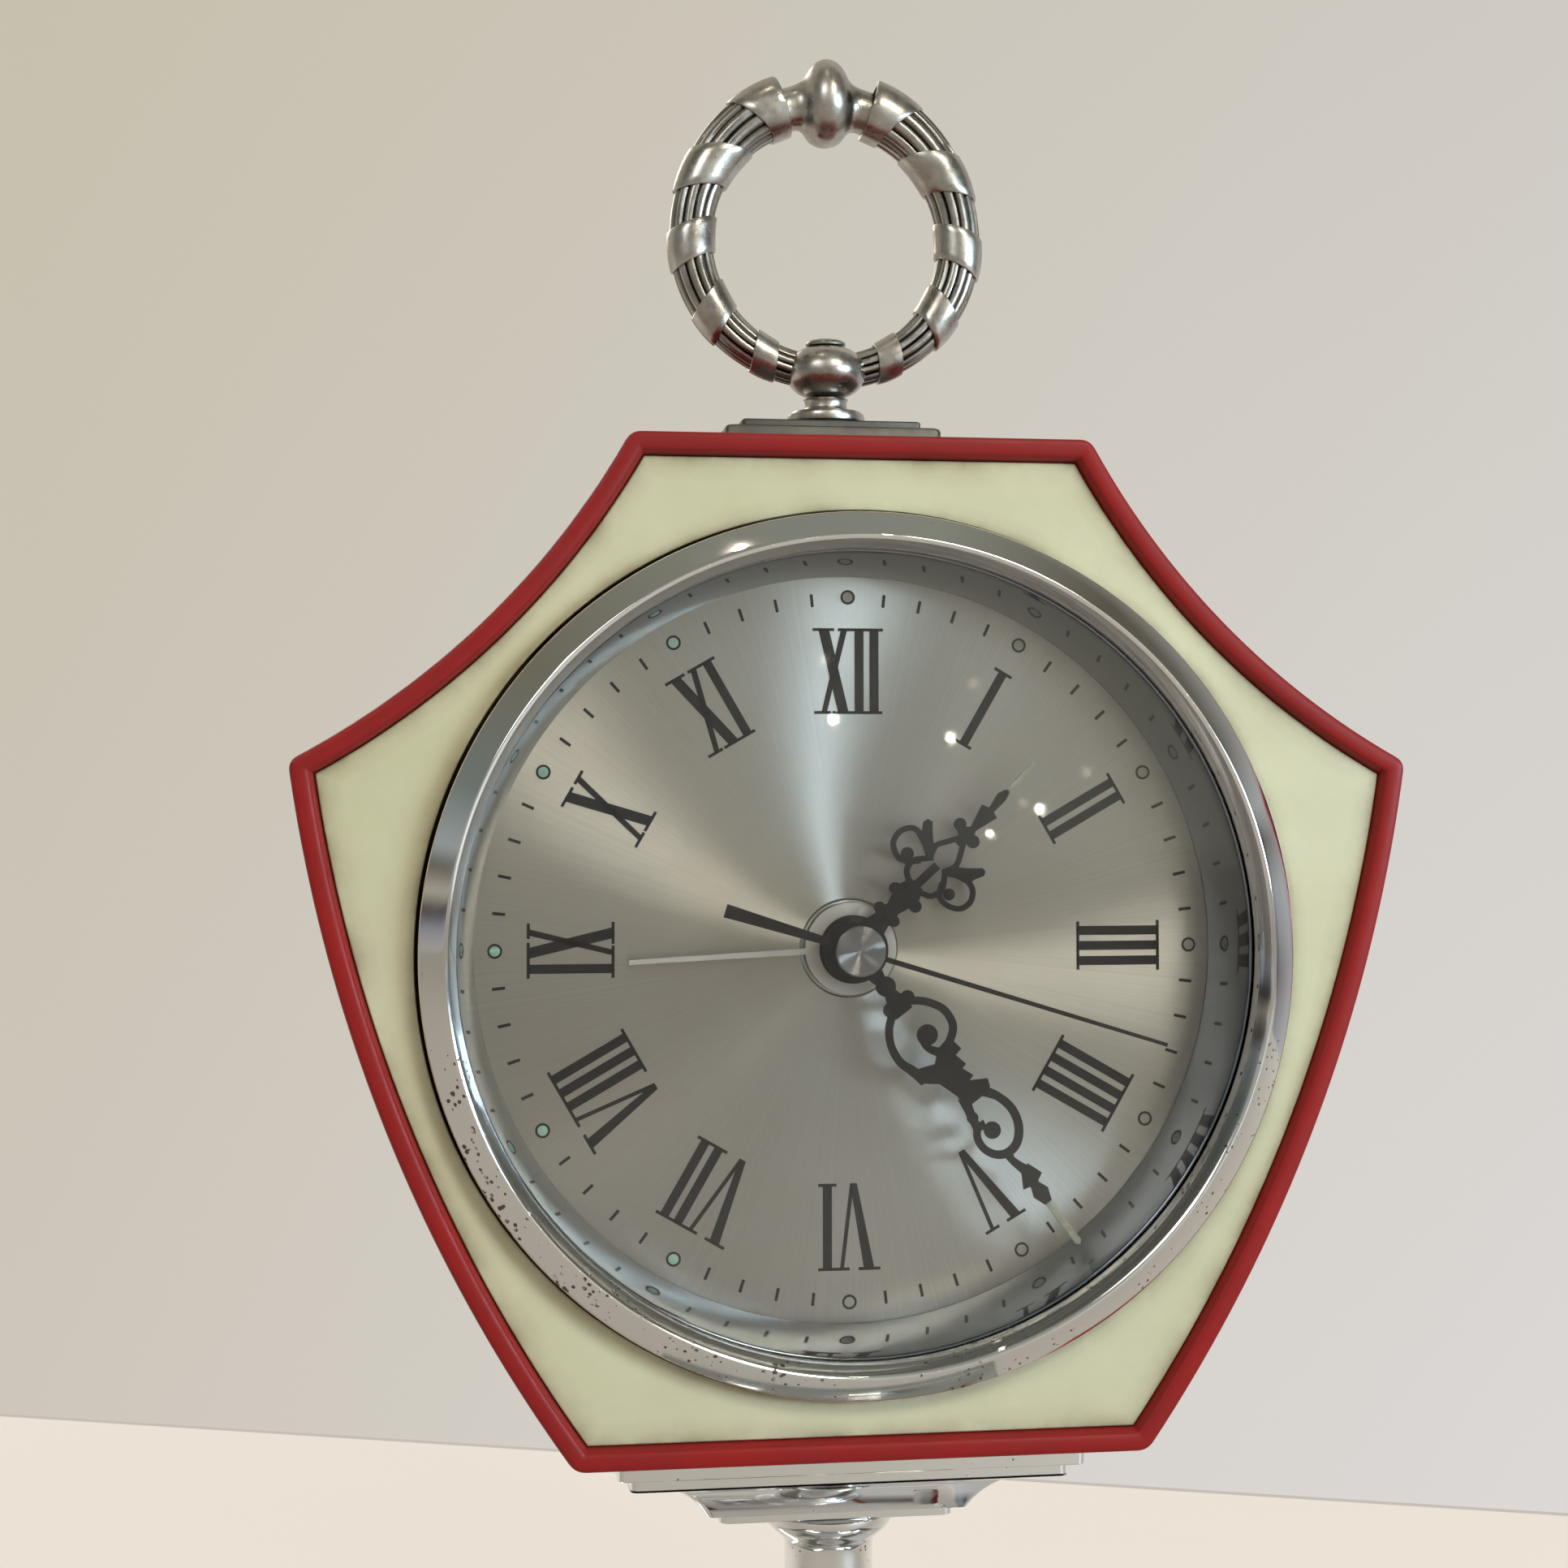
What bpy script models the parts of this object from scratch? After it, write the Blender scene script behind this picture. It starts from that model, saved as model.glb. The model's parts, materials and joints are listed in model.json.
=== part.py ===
"""A mechanical alarm clock: a six-sided case with curved sides, a ring handle and a column foot.

The model is in metres with +Z up. The origin lies on the surface that the clock stands on, under the
axis of its column, and the dial faces -Y. Depths are measured along Y, back from the front of the case,
and the movement's own places are measured sideways and up from the centre of the dial.
"""

import math

import bmesh
import bpy
from mathutils import Vector

MM = 0.001

# Gaps that all pieces share
SEAT = 0.1 * MM  # between two faces that lie on each other
PLAY = 0.15 * MM  # round a pivot or a pipe that turns
EASE = 0.6 * MM  # round a shaft that passes through the cover
MESH_GAP = 0.3 * MM  # between the tips of two wheels that gear with each other
OVERRUN = 1.0 * MM  # how far a cutter runs past the face that it cuts
WELD = 0.01 * MM  # points nearer than this are one point

# Sides of round things
ROUND_STEPS = 48
HUB_STEPS = 24
BORE_STEPS = 12
PIN_STEPS = 8  # of a thin arbor and of its hole
HEXAGON = 6

# Case: it is drawn round the bezel, by three corners of its right half, seen from the front
BEZEL_RADIUS = 46.5 * MM
CASE_TOP_MARGIN = 8.25 * MM  # from the bezel to the case's outline, above, beside and below it
CASE_SIDE_MARGIN = 13.2 * MM
CASE_FOOT_MARGIN = 6.5 * MM
CASE_TOP_HALF = 24.7 * MM
CASE_TOP_RISE = BEZEL_RADIUS + CASE_TOP_MARGIN
CASE_SIDE_HALF = BEZEL_RADIUS + CASE_SIDE_MARGIN
CASE_SIDE_RISE = 20.2 * MM
CASE_FOOT_HALF = 30.3 * MM
CASE_FOOT_DROP = BEZEL_RADIUS + CASE_FOOT_MARGIN
UPPER_SIDE_RADIUS = 86.0 * MM  # hollow sides above the corner
LOWER_SIDE_RADIUS = 163.6 * MM  # bulging sides below it
CORNER_ROUND = 1.0 * MM
SIDE_STEPS = 6
CASE_FRONT = -26.2 * MM
CASE_BACK = 19.5 * MM
CASE_WALL = 2.2 * MM
RIM_EDGE = 0.3 * MM  # rounding of the rim's outer edge
RIM_EDGE_DEPTH = 0.6 * MM
RIM_WIDTH = 2.05 * MM
RIM_FOOT_WIDTH = 2.39 * MM  # the rim widens a little towards the panel
LEDGE_CLEARANCE = 2.5 * MM  # from the bezel to the ledge, where they are nearest
LEDGE_WIDTH = CASE_FOOT_MARGIN - LEDGE_CLEARANCE
LEDGE_THICKNESS = 2.0 * MM
BOSS_INSET = 6.9 * MM  # of each screw boss from the case's side corner
BOSS_DROP = 1.6 * MM
BOSS_SIDE = CASE_SIDE_HALF - BOSS_INSET
BOSS_RISE = CASE_SIDE_RISE - BOSS_DROP
BOSS_RADIUS = 4.0 * MM
BOSS_LENGTH = 9.0 * MM

# Front panel, bezel, lens and reflector ring
PANEL_RECESS = 1.3 * MM
PANEL_THICKNESS = 1.6 * MM
PANEL_HOLE_RADIUS = BEZEL_RADIUS + EASE
BEZEL_EDGE_PROUD = 1.0 * MM
BEZEL_SLOPE_WIDTH = 2.7 * MM
BEZEL_RIDGE_RADIUS = BEZEL_RADIUS - BEZEL_SLOPE_WIDTH
BEZEL_RIDGE_WIDTH = 0.8 * MM
BEZEL_RIDGE_PROUD = 2.95 * MM
BEZEL_SHOULDER_PROUD = 2.7 * MM
BEZEL_THROAT_WIDTH = 1.2 * MM
BEZEL_MOUTH_RADIUS = BEZEL_RIDGE_RADIUS - BEZEL_THROAT_WIDTH
BEZEL_MOUTH_PROUD = 1.3 * MM
BEZEL_LIP_DEPTH = 0.6 * MM
BEZEL_FLANGE_WIDTH = 1.2 * MM  # behind the panel
BEZEL_FLANGE_RADIUS = PANEL_HOLE_RADIUS + BEZEL_FLANGE_WIDTH
BEZEL_FLANGE_THICKNESS = 1.0 * MM
LENS_OVERLAP = 1.2 * MM  # of the lens behind the bezel's mouth
LENS_CLEARANCE = 0.2 * MM
LENS_RADIUS = BEZEL_MOUTH_RADIUS + LENS_OVERLAP
BEZEL_POCKET_RADIUS = LENS_RADIUS + LENS_CLEARANCE
LENS_THICKNESS = 1.5 * MM
REFLECTOR_TAPER = 2.0 * MM
REFLECTOR_MOUTH_RADIUS = BEZEL_MOUTH_RADIUS - SEAT
REFLECTOR_THROAT_RADIUS = REFLECTOR_MOUTH_RADIUS - REFLECTOR_TAPER
REFLECTOR_WALL = 0.6 * MM
REFLECTOR_FLANGE_THICKNESS = 1.0 * MM
REFLECTOR_FOOT_WIDTH = 2.5 * MM
REFLECTOR_FOOT_RADIUS = REFLECTOR_THROAT_RADIUS + REFLECTOR_FOOT_WIDTH
REFLECTOR_FOOT_THICKNESS = 0.6 * MM

# Dial
DIAL_DEPTH = 11.4 * MM  # of its face, behind the front of the case
DIAL_INSET = 0.4 * MM  # of its edge from the edge of the reflector's foot
DIAL_RADIUS = REFLECTOR_FOOT_RADIUS - DIAL_INSET
DIAL_THICKNESS = 0.5 * MM
DIAL_HOLE_RADIUS = 2.9 * MM
DIAL_FOOT_RADIUS = 1.0 * MM
DIAL_FOOT_SIDE = 24.0 * MM
DIAL_FOOT_DROP = 10.0 * MM

# Rear cover and its screws
COVER_INSET = 0.4 * MM
COVER_THICKNESS = 1.9 * MM
SOUND_SLOT_OFFSET = 4.0 * MM  # inwards from the middle of the bell
SOUND_SLOT_RISE = 4.0 * MM
SOUND_SLOT_STEP = 3.6 * MM
SOUND_SLOT_HALF = 5.0 * MM
SOUND_SLOT_RADIUS = 0.9 * MM
SOUND_SLOTS = 3
SCREW_HEAD_RADIUS = 2.4 * MM
SCREW_HEAD_THICKNESS = 1.2 * MM
SCREW_RADIUS = 1.1 * MM
SCREW_LENGTH = 8.0 * MM

# Handle
HANDLE_STEP_HALF = 12.4 * MM
HANDLE_STEP_DEPTH = 6.2 * MM  # half depth
HANDLE_STEP_HEIGHT = 3.8 * MM
HANDLE_STEP_BEVEL = 0.5 * MM
HANDLE_TREAD_HALF = 2.1 * MM  # of the upper step from the edge of the lower one
HANDLE_TREAD_DEPTH = 1.4 * MM
HANDLE_TOP_HALF = HANDLE_STEP_HALF - HANDLE_TREAD_HALF
HANDLE_TOP_DEPTH = HANDLE_STEP_DEPTH - HANDLE_TREAD_DEPTH
HANDLE_TOP_HEIGHT = 0.85 * MM
PEDESTAL_FLANGE_RADIUS = 4.5 * MM
PEDESTAL_FLANGE_HEIGHT = 1.5 * MM
PEDESTAL_NECK_RADIUS = 2.45 * MM
PEDESTAL_NECK_HEIGHT = 1.4 * MM
BALL_RADIUS = 4.66 * MM
BALL_HALF_HEIGHT = 3.1 * MM
RING_INNER_RADIUS = 12.9 * MM
RING_CUFF_DIAMETER = 7.5 * MM
RING_SIDE_DIAMETER = 5.6 * MM
RING_FOOT_DIAMETER = 4.5 * MM
RING_CUFF_ANGLE = math.radians(18)  # from the top of the ring to the end of each cuff
RING_STATIONS = 21
RING_SIDES = 10
KNOB_RADIUS = 5.1 * MM
KNOB_HALF_WIDTH = 2.2 * MM
KNOB_NECK_RADIUS = 2.75 * MM
KNOB_SPAN_HALF = 6.0 * MM
KNOB_DROP = 0.35 * MM  # of its axis below the middle of the cuffs' circle
KNOB_NECK_LEAD = 0.55 * MM
KNOB_FLARE = 1.8 * MM
KNOB_CUFF_STEP = 0.55 * MM
HANDLE_SCREW_RADIUS = 1.5 * MM
HANDLE_SCREW_HEAD_RADIUS = 2.35 * MM
HANDLE_SCREW_HEAD_HEIGHT = 0.8 * MM
HANDLE_NUT_RADIUS = 3.2 * MM
HANDLE_NUT_HEIGHT = 2.4 * MM
THREAD_PROUD = 0.8 * MM  # of a screw or rod past its nut

# Bracket under the case, column and base, from the case down to the floor
BRACKET_WIDE_HALF = 25.4 * MM
BRACKET_WIDE_DEPTH = 18.9 * MM
BRACKET_WIDE_HEIGHT = 2.85 * MM
BRACKET_TREAD_HALF = 1.5 * MM
BRACKET_TREAD_DEPTH = 2.1 * MM
BRACKET_NARROW_HALF = BRACKET_WIDE_HALF - BRACKET_TREAD_HALF
BRACKET_NARROW_DEPTH = BRACKET_WIDE_DEPTH - BRACKET_TREAD_DEPTH
BRACKET_NARROW_HEIGHT = 1.55 * MM
BRACKET_COVE_HEIGHT = 5.4 * MM
BRACKET_COLLAR_HALF = 13.15 * MM
BRACKET_COLLAR_DEPTH = 6.3 * MM
BRACKET_COLLAR_HEIGHT = 1.05 * MM
BRACKET_COVE_MARGIN = 1.3 * MM  # of the narrow end of the cove, in front of and behind the collar
BRACKET_COVE_REACH = BRACKET_NARROW_DEPTH - BRACKET_COLLAR_DEPTH - BRACKET_COVE_MARGIN
COLUMN_RADIUS = 5.0 * MM
COLUMN_BOWL_RADIUS = 7.6 * MM
COLUMN_BOWL_HEIGHT = 5.1 * MM
COLUMN_SHAFT_HEIGHT = 13.9 * MM
BASE_COLLAR_HALF = 14.5 * MM
BASE_COLLAR_DEPTH = 8.5 * MM
BASE_COLLAR_HEIGHT = 1.2 * MM
BASE_TREAD = 2.5 * MM  # of each step of the base from the edge of the one below
BASE_LOWER_HALF = 41.0 * MM
BASE_LOWER_DEPTH = 32.0 * MM
BASE_UPPER_HALF = BASE_LOWER_HALF - BASE_TREAD
BASE_UPPER_DEPTH = BASE_LOWER_DEPTH - BASE_TREAD
BASE_UPPER_HEIGHT = 2.4 * MM
BASE_COVE_HALF = BASE_UPPER_HALF - BASE_TREAD
BASE_COVE_DEPTH = BASE_UPPER_DEPTH - BASE_TREAD
BASE_COVE_HEIGHT = 9.0 * MM
BASE_COVE_MARGIN = 0.5 * MM  # of the narrow end of the cove, in front of and behind the collar
BASE_COVE_REACH = BASE_COVE_DEPTH - BASE_COLLAR_DEPTH - BASE_COVE_MARGIN
BASE_LOWER_HEIGHT = 4.5 * MM
PAD_INSET = 2.0 * MM
PAD_THICKNESS = 0.8 * MM
PLATE_CORNER = 0.9 * MM  # corner rounding of the bracket's and the base's plates
COVE_STEPS = 6
TIE_ROD_RADIUS = 2.0 * MM
TIE_ROD_HEAD_RADIUS = 4.0 * MM
TIE_ROD_HEAD_HEIGHT = 2.6 * MM
TIE_ROD_NUT_HEIGHT = 3.0 * MM
COUNTERBORE_RADIUS = 5.0 * MM

# Hands: angles are clockwise from twelve, and they show 1:24 with the alarm set just before nine
# Each hand's length as a share of the dial's radius
HAND_LENGTH_SHARES = {"hour": 0.6784, "minute": 0.946, "second": 0.8357, "alarm": 0.5657}
HOUR_HAND_LENGTH = DIAL_RADIUS * HAND_LENGTH_SHARES["hour"]
HOUR_HAND_ANGLE = math.radians(45.0)
HOUR_HAND_FRONT = -18.0 * MM
HOUR_HUB_RADIUS = 3.7 * MM
MINUTE_HAND_LENGTH = DIAL_RADIUS * HAND_LENGTH_SHARES["minute"]
MINUTE_HAND_ANGLE = math.radians(142.5)
MINUTE_HAND_FRONT = -19.8 * MM
MINUTE_HUB_RADIUS = 3.5 * MM
SECOND_HAND_LENGTH = DIAL_RADIUS * HAND_LENGTH_SHARES["second"]
SECOND_HAND_TAIL = 14.9 * MM
SECOND_HAND_ANGLE = math.radians(107.2)
SECOND_HAND_FRONT = -21.2 * MM
SECOND_HAND_TIP_HALF = 0.2 * MM
SECOND_HAND_TAIL_HALF = 0.75 * MM
SECOND_HUB_RADIUS = 1.6 * MM
ALARM_HAND_LENGTH = DIAL_RADIUS * HAND_LENGTH_SHARES["alarm"]
ALARM_HAND_ANGLE = math.radians(267.0)
ALARM_HAND_FRONT = -16.4 * MM
ALARM_HAND_HALF = 0.3 * MM
ALARM_HUB_RADIUS = 5.0 * MM
HAND_THICKNESS = 0.3 * MM
PIPE_PROUD = 0.2 * MM  # of each pipe in front of the hand that it carries
CAP_RADIUS = 2.7 * MM
CAP_FRONT = -23.0 * MM
CAP_EDGE = 0.5 * MM
CAP_CONE_HEIGHT = 1.1 * MM
CAP_CROWN = 0.4 * MM  # metal left over the end of the arbor

# Nested arbors and pipes at the centre, from the inside out
SECOND_ARBOR_RADIUS = 0.5 * MM
PIPE_WALL = 0.35 * MM

# Movement plates and pillars
PLATE_THICKNESS = 1.2 * MM
FRONT_PLATE_FRONT = -9.7 * MM
REAR_PLATE_BACK = 9.7 * MM
PLATE_TOP_INSET = 8.2 * MM  # of its upper corners from the middle of the case's upper sides
PLATE_TOP_DROP = 4.475 * MM
PLATE_TOP_HALF = (CASE_TOP_HALF + CASE_SIDE_HALF) / 2 - PLATE_TOP_INSET
PLATE_TOP_RISE = (CASE_TOP_RISE + CASE_SIDE_RISE) / 2 - PLATE_TOP_DROP
PLATE_WIDE_HALF = 43.0 * MM
PLATE_WIDE_DROP = 8.0 * MM
PLATE_FOOT_HALF = 29.0 * MM
PLATE_FOOT_DROP = 38.0 * MM
PILLAR_RADIUS = 1.6 * MM
PILLAR_TENON_RADIUS = 1.0 * MM
PILLAR_INSET = 5.0 * MM  # of each pillar from the edges of the plates
PILLAR_TOP_SIDE = PLATE_TOP_HALF - PILLAR_INSET
PILLAR_TOP_RISE = PLATE_TOP_RISE - PILLAR_INSET
PILLAR_FOOT_SIDE = 1.0 * MM
PILLAR_FOOT_DROP = PLATE_FOOT_DROP - PILLAR_INSET

# Going train: tooth counts, and how far apart and in which direction the arbors stand
CENTRE_TEETH = 48
THIRD_TEETH = 45
FOURTH_TEETH = 60
GREAT_TEETH = 64
ESCAPE_TEETH = 15
PINION_LEAVES = 6
CENTRE_PINION_LEAVES = 8
ESCAPE_PINION_LEAVES = 6
THIRD_DISTANCE = 14.0 * MM
THIRD_DIRECTION = math.radians(60)
ESCAPE_DISTANCE = 13.4 * MM
ESCAPE_DIRECTION = math.radians(-28)
GREAT_DISTANCE = 24.0 * MM
GREAT_DIRECTION = math.radians(232.5)
PALLET_DISTANCE = 8.2 * MM
PALLET_DIRECTION = math.radians(48.6)
BALANCE_DISTANCE = 8.77 * MM
ARBOR_RADIUS = 0.6 * MM
WINDING_ARBOR_RADIUS = 1.2 * MM
WHEEL_THICKNESS = 0.8 * MM
GREAT_THICKNESS = 1.0 * MM
TOOTH_DEPTH = 0.7 * MM
CROSSING_RIM = 1.6 * MM
CROSSING_HUB = 2.0 * MM
CROSSING_ARM = 1.0 * MM
CROSSINGS = 4
CENTRE_LEVEL = -7.7 * MM
GREAT_LEVEL = -5.4 * MM
CENTRE_PINION_LEVEL = -5.9 * MM
CENTRE_PINION_LENGTH = 2.0 * MM
PINION_LENGTH = 1.4 * MM
PINION_LEAD = 0.3 * MM  # of a pinion in front of the wheel that it gears with
THIRD_LEVEL = -1.4 * MM
FOURTH_LEVEL = 2.2 * MM
ESCAPE_LEVEL = 5.0 * MM
ESCAPE_RADIUS = 5.6 * MM
ESCAPE_THICKNESS = 0.7 * MM
BALANCE_LEVEL = 1.0 * MM
BALANCE_THICKNESS = 1.2 * MM
BALANCE_RADIUS = 7.8 * MM
BALANCE_RIM = 1.0 * MM
ROLLER_RADIUS = 1.2 * MM
HAIRSPRING_LEVEL = 6.6 * MM
HAIRSPRING_WIDTH = 0.8 * MM
HAIRSPRING_INNER = 1.6 * MM
HAIRSPRING_OUTER = 4.8 * MM
HAIRSPRING_THICKNESS = 0.15 * MM
HAIRSPRING_TURNS = 4
PALLET_REACH = 5.3 * MM  # sideways to the face of each pallet
PALLET_DROP = 4.26 * MM  # from its pivot towards the escape wheel
PALLET_ARM = 0.6 * MM
SPRING_FRONT = -2.6 * MM
SPRING_WIDTH = 9.2 * MM
SPRING_THICKNESS = 0.35 * MM
SPRING_INNER = 1.8 * MM
MAINSPRING_OUTER = 11.3 * MM
MAINSPRING_TURNS = 5
SPIRAL_STEPS = 12

# Motion work and setting wheels, in front of the front plate
CANNON_TEETH = 8
MINUTE_TEETH = 24
MINUTE_PINION_LEAVES = 6
HOUR_TEETH = 24
MOTION_DISTANCE = 10.0 * MM
MOTION_DIRECTION = math.radians(171.7)
TIME_SET_TEETH = 20
TIME_SET_DISTANCE = 13.75 * MM
TIME_SET_DIRECTION = math.radians(171.8)
ALARM_TEETH = 26
ALARM_SET_TEETH = 24
ALARM_SET_DISTANCE = 17.5 * MM
ALARM_SET_DIRECTION = math.radians(-52)
MINUTE_LEVEL = -11.05 * MM
HOUR_LEVEL = -12.4 * MM
ALARM_LEVEL = -13.75 * MM
SETTING_SHAFT_RADIUS = 0.9 * MM

# Alarm train
ALARM_SPRING_SIDE = 21.0 * MM
ALARM_SPRING_DROP = 15.6 * MM
ALARM_GREAT_TEETH = 45
ALARM_SPRING_OUTER = 11.0 * MM
ALARM_SPRING_TURNS = 4
ALARM_ESCAPE_DISTANCE = 16.2 * MM
ALARM_ESCAPE_DIRECTION = math.radians(20)
ALARM_ESCAPE_TEETH = 12
ALARM_ESCAPE_RADIUS = 4.5 * MM
HAMMER_SIDE = 29.5 * MM
HAMMER_RISE = 7.0 * MM
HAMMER_HEAD_SIDE = 5.7 * MM  # of the head from the hammer's pivot
HAMMER_HEAD_RISE = 5.5 * MM
HAMMER_HEAD_RADIUS = 1.6 * MM
HAMMER_HEAD_HALF = 1.0 * MM
HAMMER_ARM = 0.5 * MM
HAMMER_PALLET_REACH = 3.0 * MM
HAMMER_GAP = 0.6 * MM  # between the hammer's head at rest and the bell
BELL_CLEARANCE = 5.1 * MM  # from the bell to the side corner of the case
BELL_LEFT = HAMMER_SIDE + HAMMER_HEAD_SIDE + HAMMER_HEAD_RADIUS + HAMMER_GAP
BELL_RIGHT = CASE_SIDE_HALF - BELL_CLEARANCE
BELL_SIDE = (BELL_LEFT + BELL_RIGHT) / 2
BELL_RISE = 13.0 * MM
BELL_RADIUS = (BELL_RIGHT - BELL_LEFT) / 2
SOUND_SLOT_SIDE = BELL_SIDE - SOUND_SLOT_OFFSET
BELL_WALL = 0.8 * MM
BELL_FRONT = -4.5 * MM
BELL_DEPTH = 7.5 * MM
BELL_STUD_RADIUS = 1.2 * MM
BELL_EAR_HALF = 4.5 * MM

# Keys, knobs, button and regulator on the back
KEY_GAP = 0.6 * MM
KEY_HUB_RADIUS = 3.0 * MM
KEY_HUB_LENGTH = 2.0 * MM
KEY_WING_HALF = 8.5 * MM
KEY_WING_LENGTH = 7.0 * MM
KEY_WING_THICKNESS = 1.5 * MM
KEY_CROWN = 2.0 * MM  # metal left over the end of the winding arbor
KNOB_BACK_RADIUS = 4.2 * MM
KNOB_BACK_LENGTH = 5.5 * MM
KNOB_FLUTES = 16
KNOB_FLUTE_DEPTH = 0.35 * MM
STOP_INSET = 10.0 * MM  # of the stop button's rod from the upper corner of the rear plate
STOP_DROP = 11.0 * MM
STOP_SIDE = PLATE_TOP_HALF - STOP_INSET
STOP_RISE = PLATE_TOP_RISE - STOP_DROP
STOP_ROD_RADIUS = 0.8 * MM
STOP_ROD_FRONT = 4.0 * MM
STOP_BUTTON_RADIUS = 3.5 * MM
STOP_BUTTON_LENGTH = 4.0 * MM
REGULATOR_HUB_RADIUS = 2.2 * MM
REGULATOR_THICKNESS = 0.6 * MM
REGULATOR_REACH = 11.0 * MM
REGULATOR_TAB_HALF = 0.8 * MM
REGULATOR_TAB_THICKNESS = 0.4 * MM  # half
REGULATOR_TAB_PROUD = 1.6 * MM
REGULATOR_SWING = math.radians(18)
REGULATOR_SLOT_SPARE = math.radians(9)

# Places that follow from the sizes above
FLOOR = 0.0
PAD_TOP = FLOOR + PAD_THICKNESS
BASE_BOTTOM = PAD_TOP + SEAT
BASE_SHOULDER = BASE_BOTTOM + BASE_LOWER_HEIGHT
BASE_TOP = BASE_SHOULDER + BASE_UPPER_HEIGHT
BASE_COVE_BOTTOM = BASE_TOP + SEAT
BASE_COVE_TOP = BASE_COVE_BOTTOM + BASE_COVE_HEIGHT
BASE_COLLAR_BOTTOM = BASE_COVE_TOP + SEAT
BASE_COLLAR_TOP = BASE_COLLAR_BOTTOM + BASE_COLLAR_HEIGHT
COLUMN_BOTTOM = BASE_COLLAR_TOP + SEAT
COLUMN_TOP = COLUMN_BOTTOM + COLUMN_SHAFT_HEIGHT + 2 * COLUMN_BOWL_HEIGHT
BRACKET_COLLAR_BOTTOM = COLUMN_TOP + SEAT
BRACKET_COLLAR_TOP = BRACKET_COLLAR_BOTTOM + BRACKET_COLLAR_HEIGHT
BRACKET_COVE_BOTTOM = BRACKET_COLLAR_TOP + SEAT
BRACKET_COVE_TOP = BRACKET_COVE_BOTTOM + BRACKET_COVE_HEIGHT
BRACKET_BOTTOM = BRACKET_COVE_TOP + SEAT
BRACKET_SHOULDER = BRACKET_BOTTOM + BRACKET_NARROW_HEIGHT
BRACKET_TOP = BRACKET_SHOULDER + BRACKET_WIDE_HEIGHT
CASE_BOTTOM = BRACKET_TOP + SEAT
DIAL_Z = CASE_BOTTOM + CASE_FOOT_DROP
CASE_TOP = DIAL_Z + CASE_TOP_RISE
HANDLE_BOTTOM = CASE_TOP + SEAT
HANDLE_SHOULDER = HANDLE_BOTTOM + HANDLE_STEP_HEIGHT
HANDLE_TOP = HANDLE_SHOULDER + HANDLE_TOP_HEIGHT
PEDESTAL_BOTTOM = HANDLE_TOP + SEAT
PEDESTAL_TOP = PEDESTAL_BOTTOM + PEDESTAL_FLANGE_HEIGHT + PEDESTAL_NECK_HEIGHT
BALL_Z = PEDESTAL_TOP + SEAT + BALL_HALF_HEIGHT
RING_Z = BALL_Z + RING_FOOT_DIAMETER / 2 + RING_INNER_RADIUS
HANDLE_SCREW_SEAT = BALL_Z + BALL_HALF_HEIGHT + SEAT
PANEL_FRONT = CASE_FRONT + PANEL_RECESS
PANEL_BACK = PANEL_FRONT + PANEL_THICKNESS
LEDGE_FRONT = PANEL_BACK + SEAT
LEDGE_BACK = LEDGE_FRONT + LEDGE_THICKNESS
LENS_FRONT = CASE_FRONT + BEZEL_LIP_DEPTH + SEAT
LENS_BACK = LENS_FRONT + LENS_THICKNESS
REFLECTOR_FRONT = LENS_BACK + SEAT
DIAL_FRONT = CASE_FRONT + DIAL_DEPTH
DIAL_BACK = DIAL_FRONT + DIAL_THICKNESS
REFLECTOR_BACK = DIAL_FRONT - SEAT
COVER_FRONT = CASE_BACK + SEAT
COVER_BACK = COVER_FRONT + COVER_THICKNESS
FRONT_PLATE_BACK = FRONT_PLATE_FRONT + PLATE_THICKNESS
REAR_PLATE_FRONT = REAR_PLATE_BACK - PLATE_THICKNESS
PIVOT_FRONT = FRONT_PLATE_FRONT + SEAT  # where arbors end, just inside the plates' outer faces
PIVOT_BACK = REAR_PLATE_BACK - SEAT
CENTRE_PIPE_BORE = SECOND_ARBOR_RADIUS + PLAY
CENTRE_PIPE_RADIUS = CENTRE_PIPE_BORE + PIPE_WALL
CANNON_BORE = CENTRE_PIPE_RADIUS + PLAY
CANNON_RADIUS = CANNON_BORE + PIPE_WALL
HOUR_BORE = CANNON_RADIUS + PLAY
HOUR_PIPE_RADIUS = HOUR_BORE + PIPE_WALL
ALARM_BORE = HOUR_PIPE_RADIUS + PLAY
ALARM_PIPE_RADIUS = ALARM_BORE + PIPE_WALL
KEY_FRONT = COVER_BACK + KEY_GAP
KEY_WING_FRONT = KEY_FRONT + KEY_HUB_LENGTH
KEY_BACK = KEY_WING_FRONT + KEY_WING_LENGTH
KNOB_FRONT = COVER_BACK + KEY_GAP
KNOB_BACK = KNOB_FRONT + KNOB_BACK_LENGTH


def towards(place, distance, direction):
    """The point at a distance from a place, in a direction that is clockwise from straight up."""
    side, rise = place
    return side + distance * math.sin(direction), rise + distance * math.cos(direction)


CENTRE = (0.0, 0.0)
THIRD_PLACE = towards(CENTRE, THIRD_DISTANCE, THIRD_DIRECTION)
ESCAPE_PLACE = towards(CENTRE, ESCAPE_DISTANCE, ESCAPE_DIRECTION)
GREAT_PLACE = towards(CENTRE, GREAT_DISTANCE, GREAT_DIRECTION)
PALLET_PLACE = towards(ESCAPE_PLACE, PALLET_DISTANCE, PALLET_DIRECTION)
BALANCE_PLACE = towards(PALLET_PLACE, BALANCE_DISTANCE, PALLET_DIRECTION)
MINUTE_PLACE = towards(CENTRE, MOTION_DISTANCE, MOTION_DIRECTION)
TIME_SET_PLACE = towards(MINUTE_PLACE, TIME_SET_DISTANCE, TIME_SET_DIRECTION)
ALARM_SET_PLACE = towards(CENTRE, ALARM_SET_DISTANCE, ALARM_SET_DIRECTION)
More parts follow.
